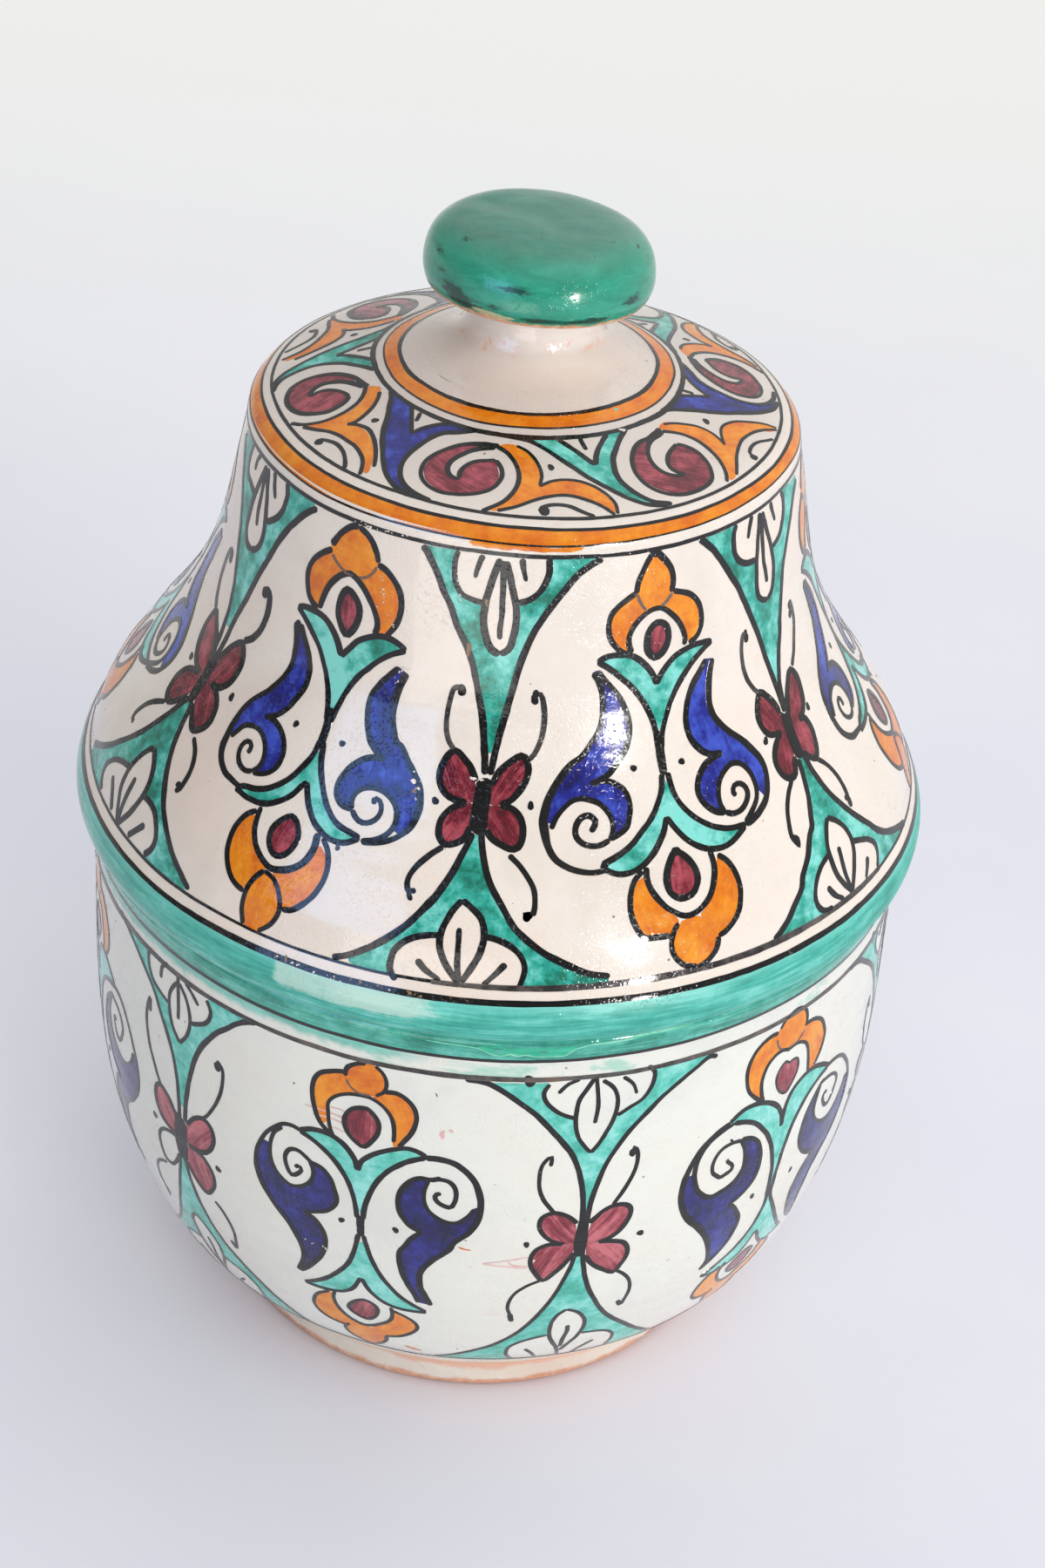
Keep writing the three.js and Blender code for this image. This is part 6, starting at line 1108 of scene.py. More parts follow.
class Nodes:
    """Short forms for building a node tree."""

    def __init__(self, name):
        self.m = bpy.data.materials.new(name)
        self.m.use_nodes = True
        self.t = self.m.node_tree
        self.t.nodes.clear()
        self.out = self.t.nodes.new("ShaderNodeOutputMaterial")
        self.b = self.t.nodes.new("ShaderNodeBsdfPrincipled")
        self.t.links.new(self.b.outputs[0], self.out.inputs[0])

    def new(self, kind, **props):
        n = self.t.nodes.new(kind)
        for k, v in props.items():
            setattr(n, k, v)
        return n

    def link(self, a, b):
        self.t.links.new(a, b)

    def place(self):
        return self.new("ShaderNodeTexCoord").outputs["Object"]

    def attr(self, name, out="Fac"):
        n = self.new("ShaderNodeAttribute", attribute_name=name)
        return n.outputs[out]

    def scaled(self, vec, xyz, shift=(0, 0, 0)):
        n = self.new("ShaderNodeMapping")
        n.inputs["Scale"].default_value = xyz
        n.inputs["Location"].default_value = shift
        self.link(vec, n.inputs["Vector"])
        return n.outputs[0]

    def noise(self, vec, scale, detail=3.0, rough=0.55, distort=0.0):
        n = self.new("ShaderNodeTexNoise")
        n.inputs["Scale"].default_value = scale
        n.inputs["Detail"].default_value = detail
        n.inputs["Roughness"].default_value = rough
        n.inputs["Distortion"].default_value = distort
        self.link(vec, n.inputs["Vector"])
        return n.outputs[0]

    def ramp(self, fac, *stops):
        n = self.new("ShaderNodeValToRGB")
        e = n.color_ramp.elements
        while len(e) < len(stops):
            e.new(0.5)
        for el, (p, c) in zip(e, stops):
            el.position = p
            el.color = c if len(c) == 4 else (*c, 1)
        self.link(fac, n.inputs[0])
        return n.outputs[0]

    def range(self, val, a, b, c=0.0, d=1.0, smooth=True):
        n = self.new("ShaderNodeMapRange", interpolation_type="SMOOTHSTEP" if smooth else "LINEAR")
        for i, v in zip(("From Min", "From Max", "To Min", "To Max"), (a, b, c, d)):
            n.inputs[i].default_value = v
        self.link(val, n.inputs["Value"])
        return n.outputs[0]

    def math(self, op, a, b=None):
        n = self.new("ShaderNodeMath", operation=op)
        for i, v in enumerate((a, b)):
            if v is None:
                continue
            if isinstance(v, (int, float)):
                n.inputs[i].default_value = v
            else:
                self.link(v, n.inputs[i])
        return n.outputs[0]

    def mix(self, fac, a, b, kind="MIX"):
        n = self.new("ShaderNodeMix", data_type="RGBA", blend_type=kind)
        for sock, v in ((n.inputs[0], fac), (n.inputs[6], a), (n.inputs[7], b)):
            if isinstance(v, (int, float)):
                sock.default_value = v
            elif isinstance(v, tuple):
                sock.default_value = v
            else:
                self.link(v, sock)
        return n.outputs[2]

    def specks(self, vec, cell, size, share):
        """Sparse round specks, as a 0..1 mask; cell and size in mm."""
        n = self.new("ShaderNodeTexVoronoi")
        n.inputs["Scale"].default_value = 1000.0 / cell
        self.link(vec, n.inputs["Vector"])
        sep = self.new("ShaderNodeSeparateColor")
        self.link(n.outputs["Color"], sep.inputs[0])
        near = self.range(n.outputs["Distance"], size / cell, size / cell * 0.45)
        return self.math("MULTIPLY", near, self.math("GREATER_THAN", sep.outputs[0], 1 - share))

    def finish(self, colour, rough_lo=0.07, rough_hi=0.16, coat=0.3, wave=1.0, peel=1.0, extra=None, satin=None):
        """Glaze: the colour, uneven gloss, a slow ripple and a fine orange peel, the same over paint and ground."""
        p = self.place()
        self.link(colour, self.b.inputs["Base Color"])
        self.link(self.range(self.noise(p, 55, 4, 0.6), 0.35, 0.7, rough_lo, rough_hi), self.b.inputs["Roughness"])
        self.b.inputs["IOR"].default_value = 1.52
        self.b.inputs["Coat Weight"].default_value = coat
        self.b.inputs["Coat Roughness"].default_value = 0.04
        b1 = self.new("ShaderNodeBump")
        b1.inputs["Strength"].default_value = 0.55 * wave
        b1.inputs["Distance"].default_value = 0.0006
        self.link(self.noise(p, 48, 2, 0.5), b1.inputs["Height"])
        b2 = self.new("ShaderNodeBump")
        b2.inputs["Strength"].default_value = 0.36 * peel
        b2.inputs["Distance"].default_value = 0.00008
        self.link(self.noise(p, 620, 2, 0.5), b2.inputs["Height"])
        self.link(b1.outputs[0], b2.inputs["Normal"])
        last = b2.outputs[0]
        if extra is not None:
            b3 = self.new("ShaderNodeBump")
            b3.inputs["Strength"].default_value = 0.5
            b3.inputs["Distance"].default_value = 0.00015
            self.link(extra, b3.inputs["Height"])
            self.link(last, b3.inputs["Normal"])
            last = b3.outputs[0]
        b4 = self.new("ShaderNodeBump")
        b4.inputs["Distance"].default_value = 0.00016
        self.link(self.range(self.noise(p, 42, 3, 0.6), 0.40, 0.60, 0.14 * peel, 0.50 * peel), b4.inputs["Strength"])
        self.link(self.range(self.noise(p, 1150, 2, 0.6), 0.54, 0.72, 1.0, 0.0), b4.inputs["Height"])
        self.link(last, b4.inputs["Normal"])
        last = b4.outputs[0]
        if satin:
            axes = self.new("ShaderNodeSeparateXYZ")
            self.link(p, axes.inputs[0])
            self.link(self.range(axes.outputs[0], -0.035, 0.005, rough_hi, satin), self.b.inputs["Roughness"])
            self.link(self.range(axes.outputs[0], -0.035, 0.005, coat, 0.0), self.b.inputs["Coat Weight"])
        self.link(last, self.b.inputs["Normal"])
        self.link(last, self.b.inputs["Coat Normal"])
        return self.m


def ground(name, light, warm, shade, pink, strip=None, bare=None, crown=None, blush=None):
    """White tin glaze with clouds, pinkish thin places, brown specks and faint colour smears. On the lid it also
    carries painted shade, with the crown coloured darker, and painted light, with the knob's neck coloured near white.
    """
    k = Nodes(name)
    p = k.place()
    axes = k.new("ShaderNodeSeparateXYZ")
    k.link(p, axes.inputs[0])
    x, y, z = axes.outputs
    col = k.ramp(k.noise(p, 22, 4, 0.6, 0.4), (0.30, shade), (0.5, light), (0.72, warm))
    col = k.mix(k.range(k.noise(p, 9, 3, 0.55), 0.54, 0.72, 0, 0.6), col, pink)
    if crown:
        high = k.math("ADD", z, k.math("MULTIPLY", k.math("SUBTRACT", k.noise(p, 60, 3, 0.6), 0.5), 0.004))
        # painted shade: the lid's flat crown is coloured greyer and darker, most over its middle and less towards the
        # stem
        col = k.mix(k.math("MULTIPLY", k.range(high, 0.291, 0.299), k.range(high, 0.3145, 0.3040, 0.25, crown[1])), col, crown[0])
        # painted light: the knob's neck under the cap is coloured near white, in place of light reaching it
        col = k.mix(k.range(high, 0.3146, 0.3186, 0.0, 0.9), col, lin(250, 245, 237))
        neck = k.math("MULTIPLY", k.range(high, 0.3138, 0.3152), k.range(high, 0.3196, 0.3176))
        col = k.mix(k.math("MULTIPLY", neck, k.range(k.noise(p, 210, 5, 0.75, 0.5), 0.50, 0.64, 0.0, 0.75)), col, lin(240, 192, 166))
    col = k.mix(k.math("MULTIPLY", k.specks(p, 8.0, 0.50, 0.26), 0.85), col, lin(108, 66, 46))
    col = k.mix(k.math("MULTIPLY", k.specks(k.scaled(p, (1, 1, 1), (0.9, 0.2, 0.6)), 4.6, 0.27, 0.14), 0.7), col, lin(120, 82, 62))
    col = k.mix(k.range(k.noise(p, 150, 5, 0.72), 0.50, 0.70, 0.0, 0.35), col, shade)
    col = k.mix(k.math("MULTIPLY", k.specks(k.scaled(p, (1, 1, 1), (0.3, 0.7, 0.1)), 14.0, 0.8, 0.12), 0.45), col, lin(205, 116, 98))
    col = k.mix(k.math("MULTIPLY", k.range(k.noise(k.scaled(p, (1, 1, 1.6), (0.4, 0.1, 0.2)), 34, 5, 0.7, 1.2), 0.66, 0.75), 0.32), col, lin(228, 166, 148))
    if strip:
        zone = k.math("MULTIPLY", k.range(z, strip[0] - 0.0008, strip[0] + 0.0008), k.range(z, strip[1] + 0.0008, strip[1] - 0.0008))
        outside = k.math("GREATER_THAN", k.math("ADD", k.math("MULTIPLY", x, x), k.math("MULTIPLY", y, y)), 0.0128)
        zone = k.math("MULTIPLY", zone, outside)
        smear = k.range(k.noise(k.scaled(p, (1, 1, 2.2)), 46, 4, 0.65, 0.5), 0.52, 0.64)
        col = k.mix(k.math("MULTIPLY", k.math("MULTIPLY", zone, smear), 0.6), col, lin(120, 208, 182))
        # on the front left the rim's teal has bled below its line
        bleed = k.math("ADD", z, k.math("MULTIPLY", k.math("SUBTRACT", k.noise(k.scaled(p, (1, 1, 0.4)), 130, 4, 0.65, 0.3), 0.5), 0.0046))
        bleed = k.math("MULTIPLY", k.math("MULTIPLY", k.range(bleed, strip[1] - 0.0036, strip[1] - 0.0008), k.range(x, -0.008, -0.030)), k.range(y, 0.02, -0.03))
        bleed = k.math("MULTIPLY", bleed, outside)
        col = k.mix(k.math("MULTIPLY", bleed, 0.88), col, k.ramp(k.noise(k.scaled(p, (1, 1, 3.0)), 90, 4, 0.6), (0.35, lin(64, 178, 158)), (0.65, lin(132, 214, 198))))
    if blush:
        fade = k.math("ADD", z, k.math("MULTIPLY", k.noise(p, 50, 4, 0.6), 0.008))
        col = k.mix(k.range(fade, blush[0], blush[1], 0.0, 0.75), col, lin(236, 176, 146))
    if bare:
        edge = k.math("ADD", k.math("MULTIPLY", k.noise(p, 130, 4, 0.6), 0.006), z)
        clay = k.ramp(k.noise(p, 420, 4, 0.7), (0.3, lin(206, 142, 110)), (0.7, lin(236, 184, 152)))
        col = k.mix(k.range(edge, bare[0], bare[1]), col, clay)
    return k.finish(col, 0.07, 0.15, 0.12)


def brushed(name, dark, mid, light, edge_dark=0.25, spots=None, stops=(0.41, 0.50, 0.60), mottle=0.5, rough=(0.06, 0.13), rim=None, cell=(95, 340),
            gain=0.12, scratch=0.0, worn=None, satin=None):
    """Translucent colour laid with a loaded brush: streaks along the stroke, pools, and a darker or paler edge."""
    k = Nodes(name)
    p = k.place()
    br = k.attr("brush", "Vector")
    tone = k.attr("tone")
    st = k.noise(br, 1.0, 4, 0.62, 0.25)
    fine = k.noise(k.scaled(br, (1.5, 3.0, 1.0)), 1.0, 4, 0.65, 0.3)
    hair = k.math("ADD", k.math("MULTIPLY", st, 0.6), k.math("MULTIPLY", fine, 0.4))
    cloud = k.math("ADD", k.math("MULTIPLY", k.noise(p, cell[0], 4, 0.6), 0.6), k.math("MULTIPLY", k.noise(p, cell[1], 4, 0.65), 0.4))
    fac = k.math("ADD", k.math("MULTIPLY", hair, 1 - mottle), k.math("MULTIPLY", cloud, mottle))
    fac = k.math("ADD", fac, k.math("MULTIPLY", k.math("SUBTRACT", tone, 0.5), gain))
    col = k.ramp(fac, (stops[0], dark), (stops[1], mid), (stops[2], light))
    if scratch:
        thin = k.noise(k.scaled(br, (1.2, 5.5, 1.0), (3.0, 1.0, 5.0)), 1.0, 3, 0.6, 0.4)
        col = k.mix(k.range(thin, 0.57, 0.64, 0.0, scratch), col, light)
    if rim is None:
        col = k.mix(k.range(k.attr("edge"), 0.0, 1.3, edge_dark, 0.0), col, dark)
    else:
        col = k.mix(k.range(k.attr("edge"), rim[0], rim[1], 0.0, rim[2]), col, light)
    if worn:
        torn = k.math("ADD", k.math("MULTIPLY", k.noise(k.scaled(br, (1.0, 2.0, 1.0), (7.0, 2.0, 4.0)), 1.0, 5, 0.7, 0.5), 0.9), k.math("MULTIPLY", k.noise(p, 330, 5, 0.72), 0.8))
        torn = k.math("ADD", tone, k.math("SUBTRACT", torn, 0.85))
        col = k.mix(k.range(torn, 0.56, 0.98, 0.0, worn[1]), col, worn[0])
    if spots:
        col = k.mix(k.math("MULTIPLY", k.specks(p, spots[0], spots[1], spots[2]), 0.8), col, spots[3])
    return k.finish(col, rough[0], rough[1], 0.12, extra=st, satin=satin)


def inked(name):
    """Manganese black: dense where the brush was full, brownish and thin where it ran dry."""
    k = Nodes(name)
    p = k.place()
    ink = k.attr("tone")
    ink = k.math("ADD", ink, k.math("MULTIPLY", k.math("SUBTRACT", k.noise(p, 210, 4, 0.65), 0.5), 0.8))
    ed = k.range(k.math("ABSOLUTE", k.attr("edge")), 0.6, 1.0, 0.0, 0.10)
    ink = k.math("SUBTRACT", ink, ed)
    col = k.ramp(ink, (0.06, lin(128, 92, 62)), (0.24, lin(96, 90, 87)), (0.46, lin(50, 46, 45)), (0.62, lin(22, 19, 18)), (0.85, lin(8, 7, 7)))
    dry = k.math("MULTIPLY", k.range(k.noise(p, 800, 3, 0.7), 0.56, 0.64), k.range(k.noise(p, 26, 3, 0.5), 0.62, 0.74))
    col = k.mix(k.math("MULTIPLY", dry, 0.5), col, lin(186, 176, 164))
    return k.finish(col, 0.07, 0.15, 0.12)


# crown: the colour of the painted shade on the lid's crown, and how strong it is
M_LID = ground("lid_tin_glaze", lin(240, 230, 219), lin(241, 225, 211), lin(230, 218, 206), lin(238, 216, 203), crown=(lin(212, 202, 194), 0.8))
M_JAR = ground("jar_tin_glaze", lin(237, 237, 228), lin(236, 232, 221), lin(227, 228, 220), lin(235, 223, 212), strip=(0.1535, 0.1592), blush=(0.0215, 0.0150))
M_FOOT = ground("foot_glaze_and_clay", lin(240, 232, 218), lin(238, 224, 206), lin(230, 218, 204), lin(234, 204, 184), bare=(0.0068, 0.0046), blush=(0.0120, 0.0142))
M_INSIDE = ground("flange_glaze_and_clay", lin(236, 226, 215), lin(236, 220, 206), lin(226, 212, 200), lin(232, 206, 190), bare=(0.1655, 0.1620))
M_TEAL = brushed("teal_brush", lin(12, 116, 94), lin(46, 170, 152), lin(132, 222, 210), edge_dark=0.22, mottle=0.88, gain=0.16, cell=(78, 240),
                 stops=(0.40, 0.485, 0.585),
                 spots=(6.0, 0.34, 0.14, lin(206, 240, 232)))
M_TEAL_JAR = brushed("pale_teal_brush", lin(58, 172, 150), lin(98, 204, 188), lin(152, 230, 220), edge_dark=0.3, mottle=0.8, gain=0.12, cell=(85, 260),
                     spots=(6.0, 0.3, 0.10, lin(216, 244, 238)))
M_BLUE = brushed("cobalt_brush", lin(14, 15, 84), lin(26, 33, 136), lin(58, 82, 194), edge_dark=0.45, mottle=0.72, gain=0.14)
M_BLUE_JAR = brushed("deep_cobalt_brush", lin(14, 12, 62), lin(24, 24, 104), lin(46, 50, 150), edge_dark=0.4, mottle=0.75, gain=0.08)
M_OCHRE = brushed("ochre_brush", lin(216, 106, 5), lin(233, 131, 9), lin(244, 156, 30), edge_dark=0.22, mottle=0.72, cell=(110, 320))
M_BURG = brushed("burgundy_brush", lin(72, 9, 22), lin(110, 21, 36), lin(178, 76, 88), edge_dark=0.3, mottle=0.55, scratch=0.5)
M_BURG_JAR = brushed("rose_burgundy_brush", lin(92, 18, 32), lin(140, 44, 58), lin(200, 108, 116), edge_dark=0.3, mottle=0.4, scratch=0.4, gain=0.16)
M_BLACK = inked("manganese_line")
M_ROLL = brushed("teal_roll", lin(40, 156, 138), lin(70, 184, 167), lin(120, 212, 199), rim=(0.5, 0.95, 0.7), mottle=0.3, gain=0.05, worn=(lin(190, 226, 212), 0.85),
                 spots=(5.0, 0.3, 0.16, lin(224, 246, 238)), satin=0.40)
M_RIM = brushed("teal_rim", lin(28, 126, 108), lin(62, 170, 150), lin(112, 206, 188), rim=(0.5, 1.0, 0.3), mottle=0.4)
M_RUN = brushed("green_run", lin(26, 158, 122), lin(46, 184, 146), lin(84, 204, 172), edge_dark=0.0, mottle=0.4, satin=0.36)
M_RUN_EDGE = brushed("green_run_edge", lin(104, 206, 172), lin(140, 220, 190), lin(176, 232, 208), edge_dark=0.0, mottle=0.6, satin=0.36)
M_GOLD = brushed("burnt_gold_fleck", lin(104, 82, 44), lin(150, 122, 66), lin(190, 168, 118), edge_dark=0.0, mottle=0.6)
M_ROSE = brushed("rose_smear", lin(226, 168, 164), lin(234, 194, 188), lin(238, 212, 206), edge_dark=0.0, mottle=0.6)

# ---- bodies --------------------------------------------------------------------------------------------------------
N_BODY = 360
steps = np.unique(np.concatenate([np.linspace(0, 50, 36), np.linspace(50, 62, 22), np.linspace(62, 172, 78), np.linspace(172, LID.length, 30)]))
lid_rings = outside_rings(LID, steps, N_BODY)
inner = [tuple(p) for p in spline(LID_INSIDE, 60)]
profile_in = [(113.0, 168.6), (106.5, 168.6), (106.5, 175.0)] + inner
v, f = rings_mesh([np.array([[0, 0, 311.0]])] + lid_rings + turn(profile_in, N_BODY) + [np.array([[0, 0, 303.0]])])
make("lid_shell_glazed", v, f, M_LID, "lid", ["lid_shell"])

steps = np.unique(np.concatenate([np.linspace(0, 18, 22), np.linspace(18, JAR.length, 96)]))
jar_rings = outside_rings(JAR, steps, N_BODY)
rim = quarter((109.6, 168.3), (108, 168.3), (108, 166.5), 6)
inner = [tuple(p) for p in spline(JAR_INSIDE, 60)][1:]
v, f = rings_mesh([np.array([[0, 0, 22.0]])] + turn(list(reversed(rim + inner)), N_BODY) + turn([(113.0, 168.3)], N_BODY) + jar_rings
                  + turn([(66.0, 12.0), (40.0, 12.0)], N_BODY) + [np.array([[0, 0, 12.0]])])
make("jar_body_glazed", v, f, M_JAR, "jar", ["jar_body"])

foot = ([(64.8, 11.95)] + [(65.4, 6.0)] + quarter((66, 1.3), (66, 0), (67.3, 0), 6) + [(71.2, 0.0)] + quarter((75.0, 0), (76.4, 0), (76.6, 1.3), 7)
        + [(77.0, 3.6), (77.5, 6.4), (78.1, 9.4), (78.6, 11.95)])
th = np.linspace(0, 2 * np.pi, 300, endpoint=False)
rings = []
for r, z in foot:
    rr = r + (0.18 * np.sin(3 * th + 0.4) + 0.10 * np.sin(8 * th + z * 0.3) + 0.05 * np.sin(19 * th + z)) * (0.3 + 0.7 * min(z, 8) / 8) * (r > 70)
    rings.append(np.stack([rr * np.sin(th), -rr * np.cos(th), np.full(300, z)], -1))
v, f = rings_mesh(rings, pole_first=False)
make("foot_ring_turned", v, f, M_FOOT, "jar", ["foot_ring"])

flange = ([(98.9, 181), (98.9, 174)] + quarter((98.9, 160.0), (98.9, 157.2), (101.3, 157.2), 7) + [(102.2, 157.2)]
          + quarter((103.0, 157.2), (105.1, 157.2), (105.3, 159.6), 7) + [(105.9, 163.4), (106.5, 167.6), (106.5, 174.0), (106.5, 181)])
v, f = rings_mesh(turn(flange, 300), pole_first=False)
make("lid_flange_turned", v, f, M_INSIDE, "lid", ["lid_locating_flange"])

# knob: a stem drawn out of the crown and a cushion-shaped cap set on it a little askew
stem = [(26.0, 307.6)] + [tuple(p) for p in spline([(30.0, 307.95), (28.0, 308.93), (26.0, 309.82), (24.0, 310.9), (22.2, 312.15), (20.5, 313.75), (19.2, 315.7),
                                                    (18.4, 317.9), (18.0, 320.2), (17.9, 322.6), (18.2, 325.0), (18.8, 326.9)], 44)]
th = np.linspace(0, 2 * np.pi, 160, endpoint=False)
rings = [np.array([[0, 0, 307.6]])]
for i, (r, z) in enumerate(stem):
    rr = r * (1 + 0.006 * np.sin(2 * th + 0.6 + z * 0.05) + 0.004 * np.sin(5 * th + z * 0.4))
    lean = 1.2 * np.clip((z - 311) / 9.0, 0, 1) ** 2
    rings.append(np.stack([rr * np.sin(th) + lean, -rr * np.cos(th), np.full(160, z)], -1))
rings.append(np.array([[1.2, 0, 326.9]]))
v, f = rings_mesh(rings)
make("knob_stem_turned", v, f, M_LID, "lid", ["knob_stem"])

cap_low = [(17.0, 326.5), (21.0, 326.35), (25.0, 326.2)]
cap_out = [tuple(p) for p in spline([(25.6, 326.2), (27.6, 326.55), (29.4, 327.6), (30.5, 329.6), (30.9, 332.0), (30.5, 336.2), (28.9, 340.2), (25.4, 343.4),
                                     (20.2, 345.6), (13, 346.5), (7, 346.6), (2.5, 346.55)], 54)]
cap_prof = cap_low + cap_out
tilt = Matrix.Rotation(math.radians(2.0), 3, "Y") @ Matrix.Rotation(math.radians(-2.4), 3, "X")
tilt = np.array(tilt)
rings, level = [np.array([[0, 0, 326.5]])], [0.0]
along = np.concatenate([[0], np.cumsum(np.hypot(*np.diff(np.array(cap_prof), axis=0).T))])
th = np.linspace(0, 2 * np.pi, 200, endpoint=False)
for (r, z), a in zip(cap_prof, along):
    side = np.clip((z - 326.5) / 3, 0, 1)
    rr = r * (1 + side * (0.010 * np.sin(2 * th + 0.9) + 0.006 * np.sin(3 * th + 2.2) + 0.003 * np.sin(7 * th + z * 0.2)))
    zz = np.full(200, z)
    if z > 338:
        x, y = rr * np.sin(th), -rr * np.cos(th)
        for cx, cy, rad, dep in ((-15, 4, 8, 0.55), (-20, -3, 5, 0.35), (6, -8, 9, 0.30), (12, 9, 10, 0.35)):
            zz = zz - dep * np.exp(-((x - cx) ** 2 + (y - cy) ** 2) / (2 * (rad * 0.5) ** 2))
        zz = zz - 0.25 * np.clip((rr - 3) / 10, 0, 1) * np.sin(2.5 * th + rr * 0.35) * np.clip((27 - rr) / 8, 0, 1) * 0.5
    rings.append(np.stack([rr * np.sin(th), -rr * np.cos(th), zz], -1))
    level.append(a)
rings.append(np.array([[0, 0, 346.5]]))
level.append(along[-1])
v, f = rings_mesh(rings)
cap_level = np.concatenate([[level[i]] * len(r) for i, r in enumerate(rings)])
cap_flat = v.copy()
v = (v - [0, 0, 332.0]) @ tilt.T + [0.8, 0, 332.0]

cap_th = np.degrees(np.arctan2(cap_flat[:, 0], -cap_flat[:, 1]))
cap_dirt, cap_pale, cap_bare = np.zeros(len(v)), np.zeros(len(v)), np.zeros(len(v))
for deg, lv, w, tall, amp in ((-45, 17.6, 12, 2.0, 0.80), (-57, 21.0, 9, 1.4, 0.60), (-35, 15.3, 13, 1.0, 0.95), (-11, 22.3, 9, 1.2, 0.80), (53, 18.5, 8, 1.4, 0.85), (27, 15.1, 11, 1.0, 1.0),
                              (-63, 25, 7, 1.4, 0.6), (3, 15.1, 9, 0.9, 0.85), (-52, 31, 6, 1.6, 0.5), (75, 30, 3, 0.8, 0.6), (150, 16, 18, 2.2, 0.9), (-140, 18, 10, 2, 0.8),
                              (100, 16, 12, 1.4, 0.8), (-100, 16, 14, 1.6, 0.85), (-20, 17.0, 6, 0.9, 0.5)):
    cap_dirt += amp * np.exp(-(((cap_th - deg + 180) % 360 - 180) / w) ** 2 - ((cap_level - lv) / tall) ** 2)
for deg, lv, w, tall, amp in ((-27, 15.0, 9, 0.9, 1.0), (-16, 14.4, 8, 0.8, 0.9), (112, 14.6, 8, 0.9, 0.8)):
    cap_pale += amp * np.exp(-(((cap_th - deg + 180) % 360 - 180) / w) ** 2 - ((cap_level - lv) / tall) ** 2)
k = Nodes("knob_teal")
p = k.place()
lev = k.attr("level")
flat = k.attr("flat", "Vector")
turns = k.new("ShaderNodeTexWave", wave_type="RINGS", rings_direction="Z", wave_profile="SIN")
turns.inputs["Scale"].default_value = 34.0
turns.inputs["Distortion"].default_value = 5.5
turns.inputs["Detail"].default_value = 3.0
turns.inputs["Detail Scale"].default_value = 1.0
k.link(k.scaled(flat, (1.0, 1.25, 0.4), (0.004, -0.006, 0)), turns.inputs["Vector"])
st = k.noise(k.scaled(flat, (1, 1, 3.4)), 85, 5, 0.62, 0.8)
fac = k.math("ADD", k.math("MULTIPLY", st, 0.92), k.math("MULTIPLY", turns.outputs["Fac"], 0.05))
col = k.ramp(fac, (0.28, lin(30, 134, 108)), (0.50, lin(43, 155, 127)), (0.74, lin(62, 174, 148)))
# painted shade and reflection: the cap's top is coloured a dim grey-green, growing from the side up to the top
top_painted_shade = k.range(lev, 24.0, 36.0, 0.0, 0.62)
col = k.mix(top_painted_shade, col, k.ramp(k.noise(k.scaled(flat, (1, 2.2, 1)), 70, 4, 0.6, 0.6), (0.35, lin(50, 106, 90)), (0.65, lin(88, 130, 114))))
ragged = k.math("MULTIPLY", k.math("SUBTRACT", k.noise(k.scaled(flat, (0.55, 0.55, 2.4)), 260, 5, 0.72, 0.5), 0.5), 1.9)
col = k.mix(k.range(k.math("ADD", k.attr("dirt"), ragged), 0.28, 0.60, 0.0, 0.9), col, lin(18, 62, 52))
col = k.mix(k.math("MULTIPLY", k.specks(flat, 7.0, 0.4, 0.12), 0.7), col, lin(12, 60, 50))
col = k.mix(k.range(k.math("ADD", k.attr("pale"), ragged), 0.50, 0.75, 0.0, 0.85), col, lin(206, 206, 160))
rimclay = k.range(k.math("ADD", lev, k.math("MULTIPLY", k.math("SUBTRACT", k.noise(flat, 170, 4, 0.65), 0.5), 4.0)), 14.2, 13.4)
col = k.mix(rimclay, col, k.ramp(k.noise(p, 500, 3, 0.6), (0.35, lin(214, 140, 86)), (0.65, lin(238, 196, 158))))
M_CAP = k.finish(col, 0.13, 0.22, 0.08, wave=1.0, extra=st)
make("knob_cap_modelled", v, f, M_CAP, "lid", ["knob_cap"], attrs={"level": cap_level, "flat": cap_flat * MM, "dirt": cap_dirt, "pale": cap_pale})

# painted pieces
MATS = {"black": M_BLACK, "teal": M_TEAL, "blue": M_BLUE, "ochre": M_OCHRE, "burg": M_BURG}
JAR_MATS = dict(MATS, teal=M_TEAL_JAR, blue=M_BLUE_JAR, burg=M_BURG_JAR)
for body in ("lid", "jar"):
    for c in COLOURS:
        PAINT[body][c].piece(f"{body}_{NAMES[c]}", (JAR_MATS if body == "jar" else MATS)[c], body, "teal_glaze" if c == "teal" else f"{body}_glaze")
lid_gold.piece("lid_burnt_flecks", M_GOLD, "lid", "lid_glaze")
lid_roll.piece("lid_roll_band", M_ROLL, "lid", "teal_glaze")
jar_roll.piece("jar_rim_band", M_RIM, "jar", "teal_glaze")
jar_run.piece("jar_rim_run", M_RUN, "jar", "teal_glaze")
jar_run_edge.piece("jar_rim_run_edge", M_RUN_EDGE, "jar", "teal_glaze")
jar_smears.piece("jar_rose_smears", M_ROSE, "jar", "jar_glaze")
CHIPS["lid"].piece("lid_glaze_chips", M_LID, "lid", "lid_glaze")
CHIPS["jar"].piece("jar_glaze_chips", M_JAR, "jar", "jar_glaze")

# ---- stage, light and camera ---------------------------------------------------------------------------------------
k = Nodes("floor_paper")
p = k.place()
near = k.ramp(k.noise(p, 6, 3, 0.5), (0.35, lin(236, 236, 245)), (0.65, lin(240, 240, 248)))
axes = k.new("ShaderNodeSeparateXYZ")
k.link(p, axes.inputs[0])
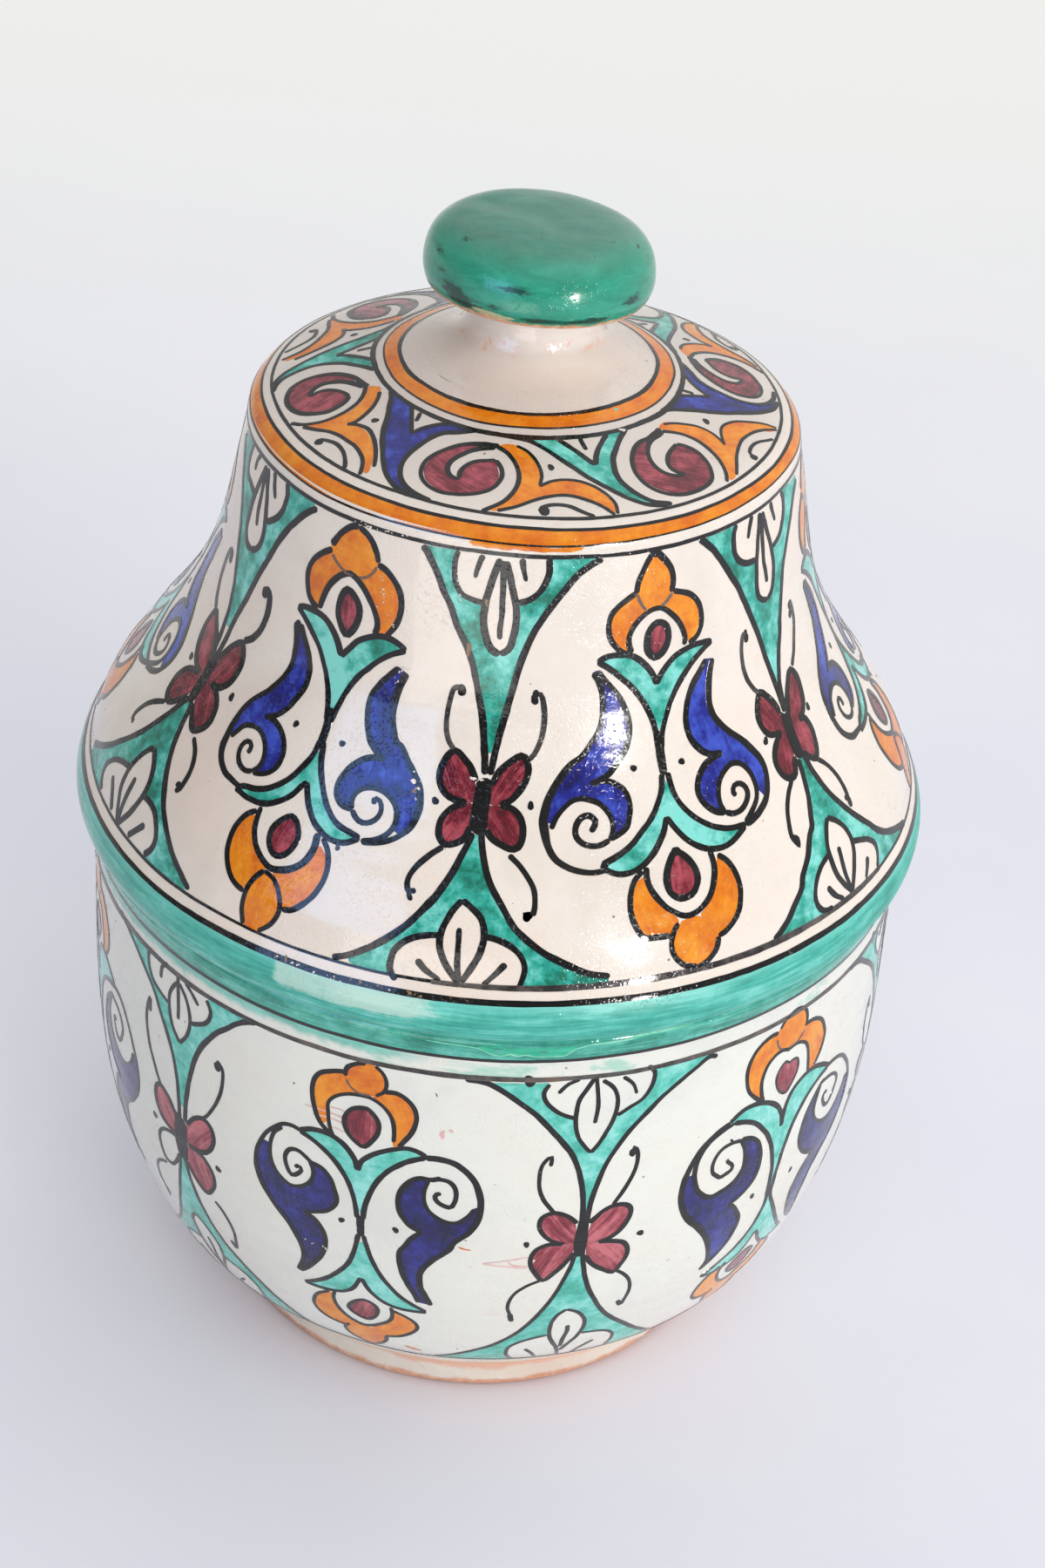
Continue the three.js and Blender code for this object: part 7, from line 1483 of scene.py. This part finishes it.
# painted light: the floor is coloured paler and warmer towards the back, over faint random clouds of tint
k.link(k.mix(k.range(axes.outputs[1], 0.2, 1.2), near, lin(251, 251, 247)), k.b.inputs["Base Color"])
k.b.inputs["Roughness"].default_value = 0.9
k.b.inputs["Specular IOR Level"].default_value = 0.0
me = bpy.data.meshes.new("floor")
me.from_pydata([(-60, -60, -0.0003), (60, -60, -0.0003), (60, 60, -0.0003), (-60, 60, -0.0003)], [], [(0, 1, 2, 3)])
me.materials.append(k.m)
floor = bpy.data.objects.new("floor", me)
scene.collection.objects.link(floor)

world = bpy.data.worlds.new("studio")
scene.world = world
world.use_nodes = True
wt = world.node_tree
bg = wt.nodes["Background"]
way = wt.nodes.new("ShaderNodeTexCoord")
xyz = wt.nodes.new("ShaderNodeSeparateXYZ")
wt.links.new(way.outputs["Generated"], xyz.inputs[0])


def sky(value, lo, hi, a, b):
    n = wt.nodes.new("ShaderNodeMapRange")
    n.interpolation_type = "SMOOTHSTEP"
    for i, v_ in enumerate((lo, hi, a, b)):
        n.inputs[1 + i].default_value = v_
    wt.links.new(value, n.inputs[0])
    return n.outputs[0]


def both(op, a, b):
    n = wt.nodes.new("ShaderNodeMath")
    n.operation = op
    wt.links.new(a, n.inputs[0])
    wt.links.new(b, n.inputs[1])
    return n.outputs[0]


# a dim room in front, a pale wall behind, a soft ceiling, and more light from the right
depth = both("ADD", sky(xyz.outputs[1], -0.7, 0.8, 0.32, 0.78), sky(xyz.outputs[2], 0.35, 0.95, 0.0, 0.50))
wt.links.new(both("MULTIPLY", depth, sky(xyz.outputs[0], -1, 1, 0.60, 1.12)), bg.inputs[1])
bg.inputs[0].default_value = (0.97, 0.98, 1.0, 1)


def area(name, az, el, far, width, tall, power, colour=(1, 1, 1), aim=(0, 0, 0.2)):
    """A window-like light; az is counted from the front to the right, el from the horizon, in degrees."""
    l = bpy.data.lights.new(name, "AREA")
    l.shape = "RECTANGLE"
    l.size, l.size_y = width, tall
    l.energy, l.color = power, colour
    o = bpy.data.objects.new(name, l)
    scene.collection.objects.link(o)
    o.visible_camera = False
    az, el, aim = math.radians(az), math.radians(el), Vector(aim)
    o.location = aim + far * Vector((math.sin(az) * math.cos(el), -math.cos(az) * math.cos(el), math.sin(el)))
    o.rotation_mode = "QUATERNION"
    o.rotation_quaternion = (aim - o.location).to_track_quat("-Z", "Y")
    return o


key = area("key_window", 36, 8, 1.25, 0.13, 0.28, 9.0, (1.0, 0.985, 0.965))
key.data.shape = "ELLIPSE"
key.visible_diffuse = False
side = area("sky_window", -38, 18, 1.3, 0.75, 0.60, 5.0, (0.30, 0.52, 1.0))
side.visible_diffuse = False
front = area("soft_front", 16, 48, 1.9, 1.6, 1.2, 7.5)
front.visible_glossy = False
day = bpy.data.lights.new("low_daylight", "SUN")
day.energy, day.angle, day.color = 1.28, math.radians(24), (1.0, 0.985, 0.965)
day_o = bpy.data.objects.new("low_daylight", day)
scene.collection.objects.link(day_o)
day_o.rotation_mode = "QUATERNION"
day_o.rotation_quaternion = Vector((-math.sin(math.radians(37)), math.cos(math.radians(37)), -math.tan(math.radians(12)))).to_track_quat("-Z", "Y")
day_o.visible_glossy = False
low = area("low_window", -15, -14, 0.75, 0.50, 0.34, 1.1, (1.0, 0.97, 0.92), aim=(0, 0, 0.27))
low.visible_diffuse = False
back = area("back_floor", 0, 90, 1.6, 2.4, 1.6, 3.4, (1.0, 0.985, 0.90), aim=(0.30, 1.45, 0))
back.visible_glossy = False

cam = bpy.data.cameras.new("camera")
cam.sensor_fit, cam.sensor_width, cam.lens = "AUTO", 36.0, 68.574
cam.clip_start, cam.clip_end = 0.05, 40
cam_o = bpy.data.objects.new("camera", cam)
scene.collection.objects.link(cam_o)
yaw, pitch, roll = math.radians(0.53634), math.radians(33.9744), math.radians(4.30895)
fw = Vector((math.sin(yaw) * math.cos(pitch), math.cos(yaw) * math.cos(pitch), -math.sin(pitch)))
rt = Vector((math.cos(yaw), -math.sin(yaw), 0))
up = rt.cross(fw)
x = math.cos(roll) * rt + math.sin(roll) * up
y = -math.sin(roll) * rt + math.cos(roll) * up
m = Matrix((x, y, -fw)).transposed().to_4x4()
m.translation = Vector((0, -0.724656, 0.656981))
cam_o.matrix_world = m
scene.camera = cam_o
scene.view_settings.view_transform = "Standard"
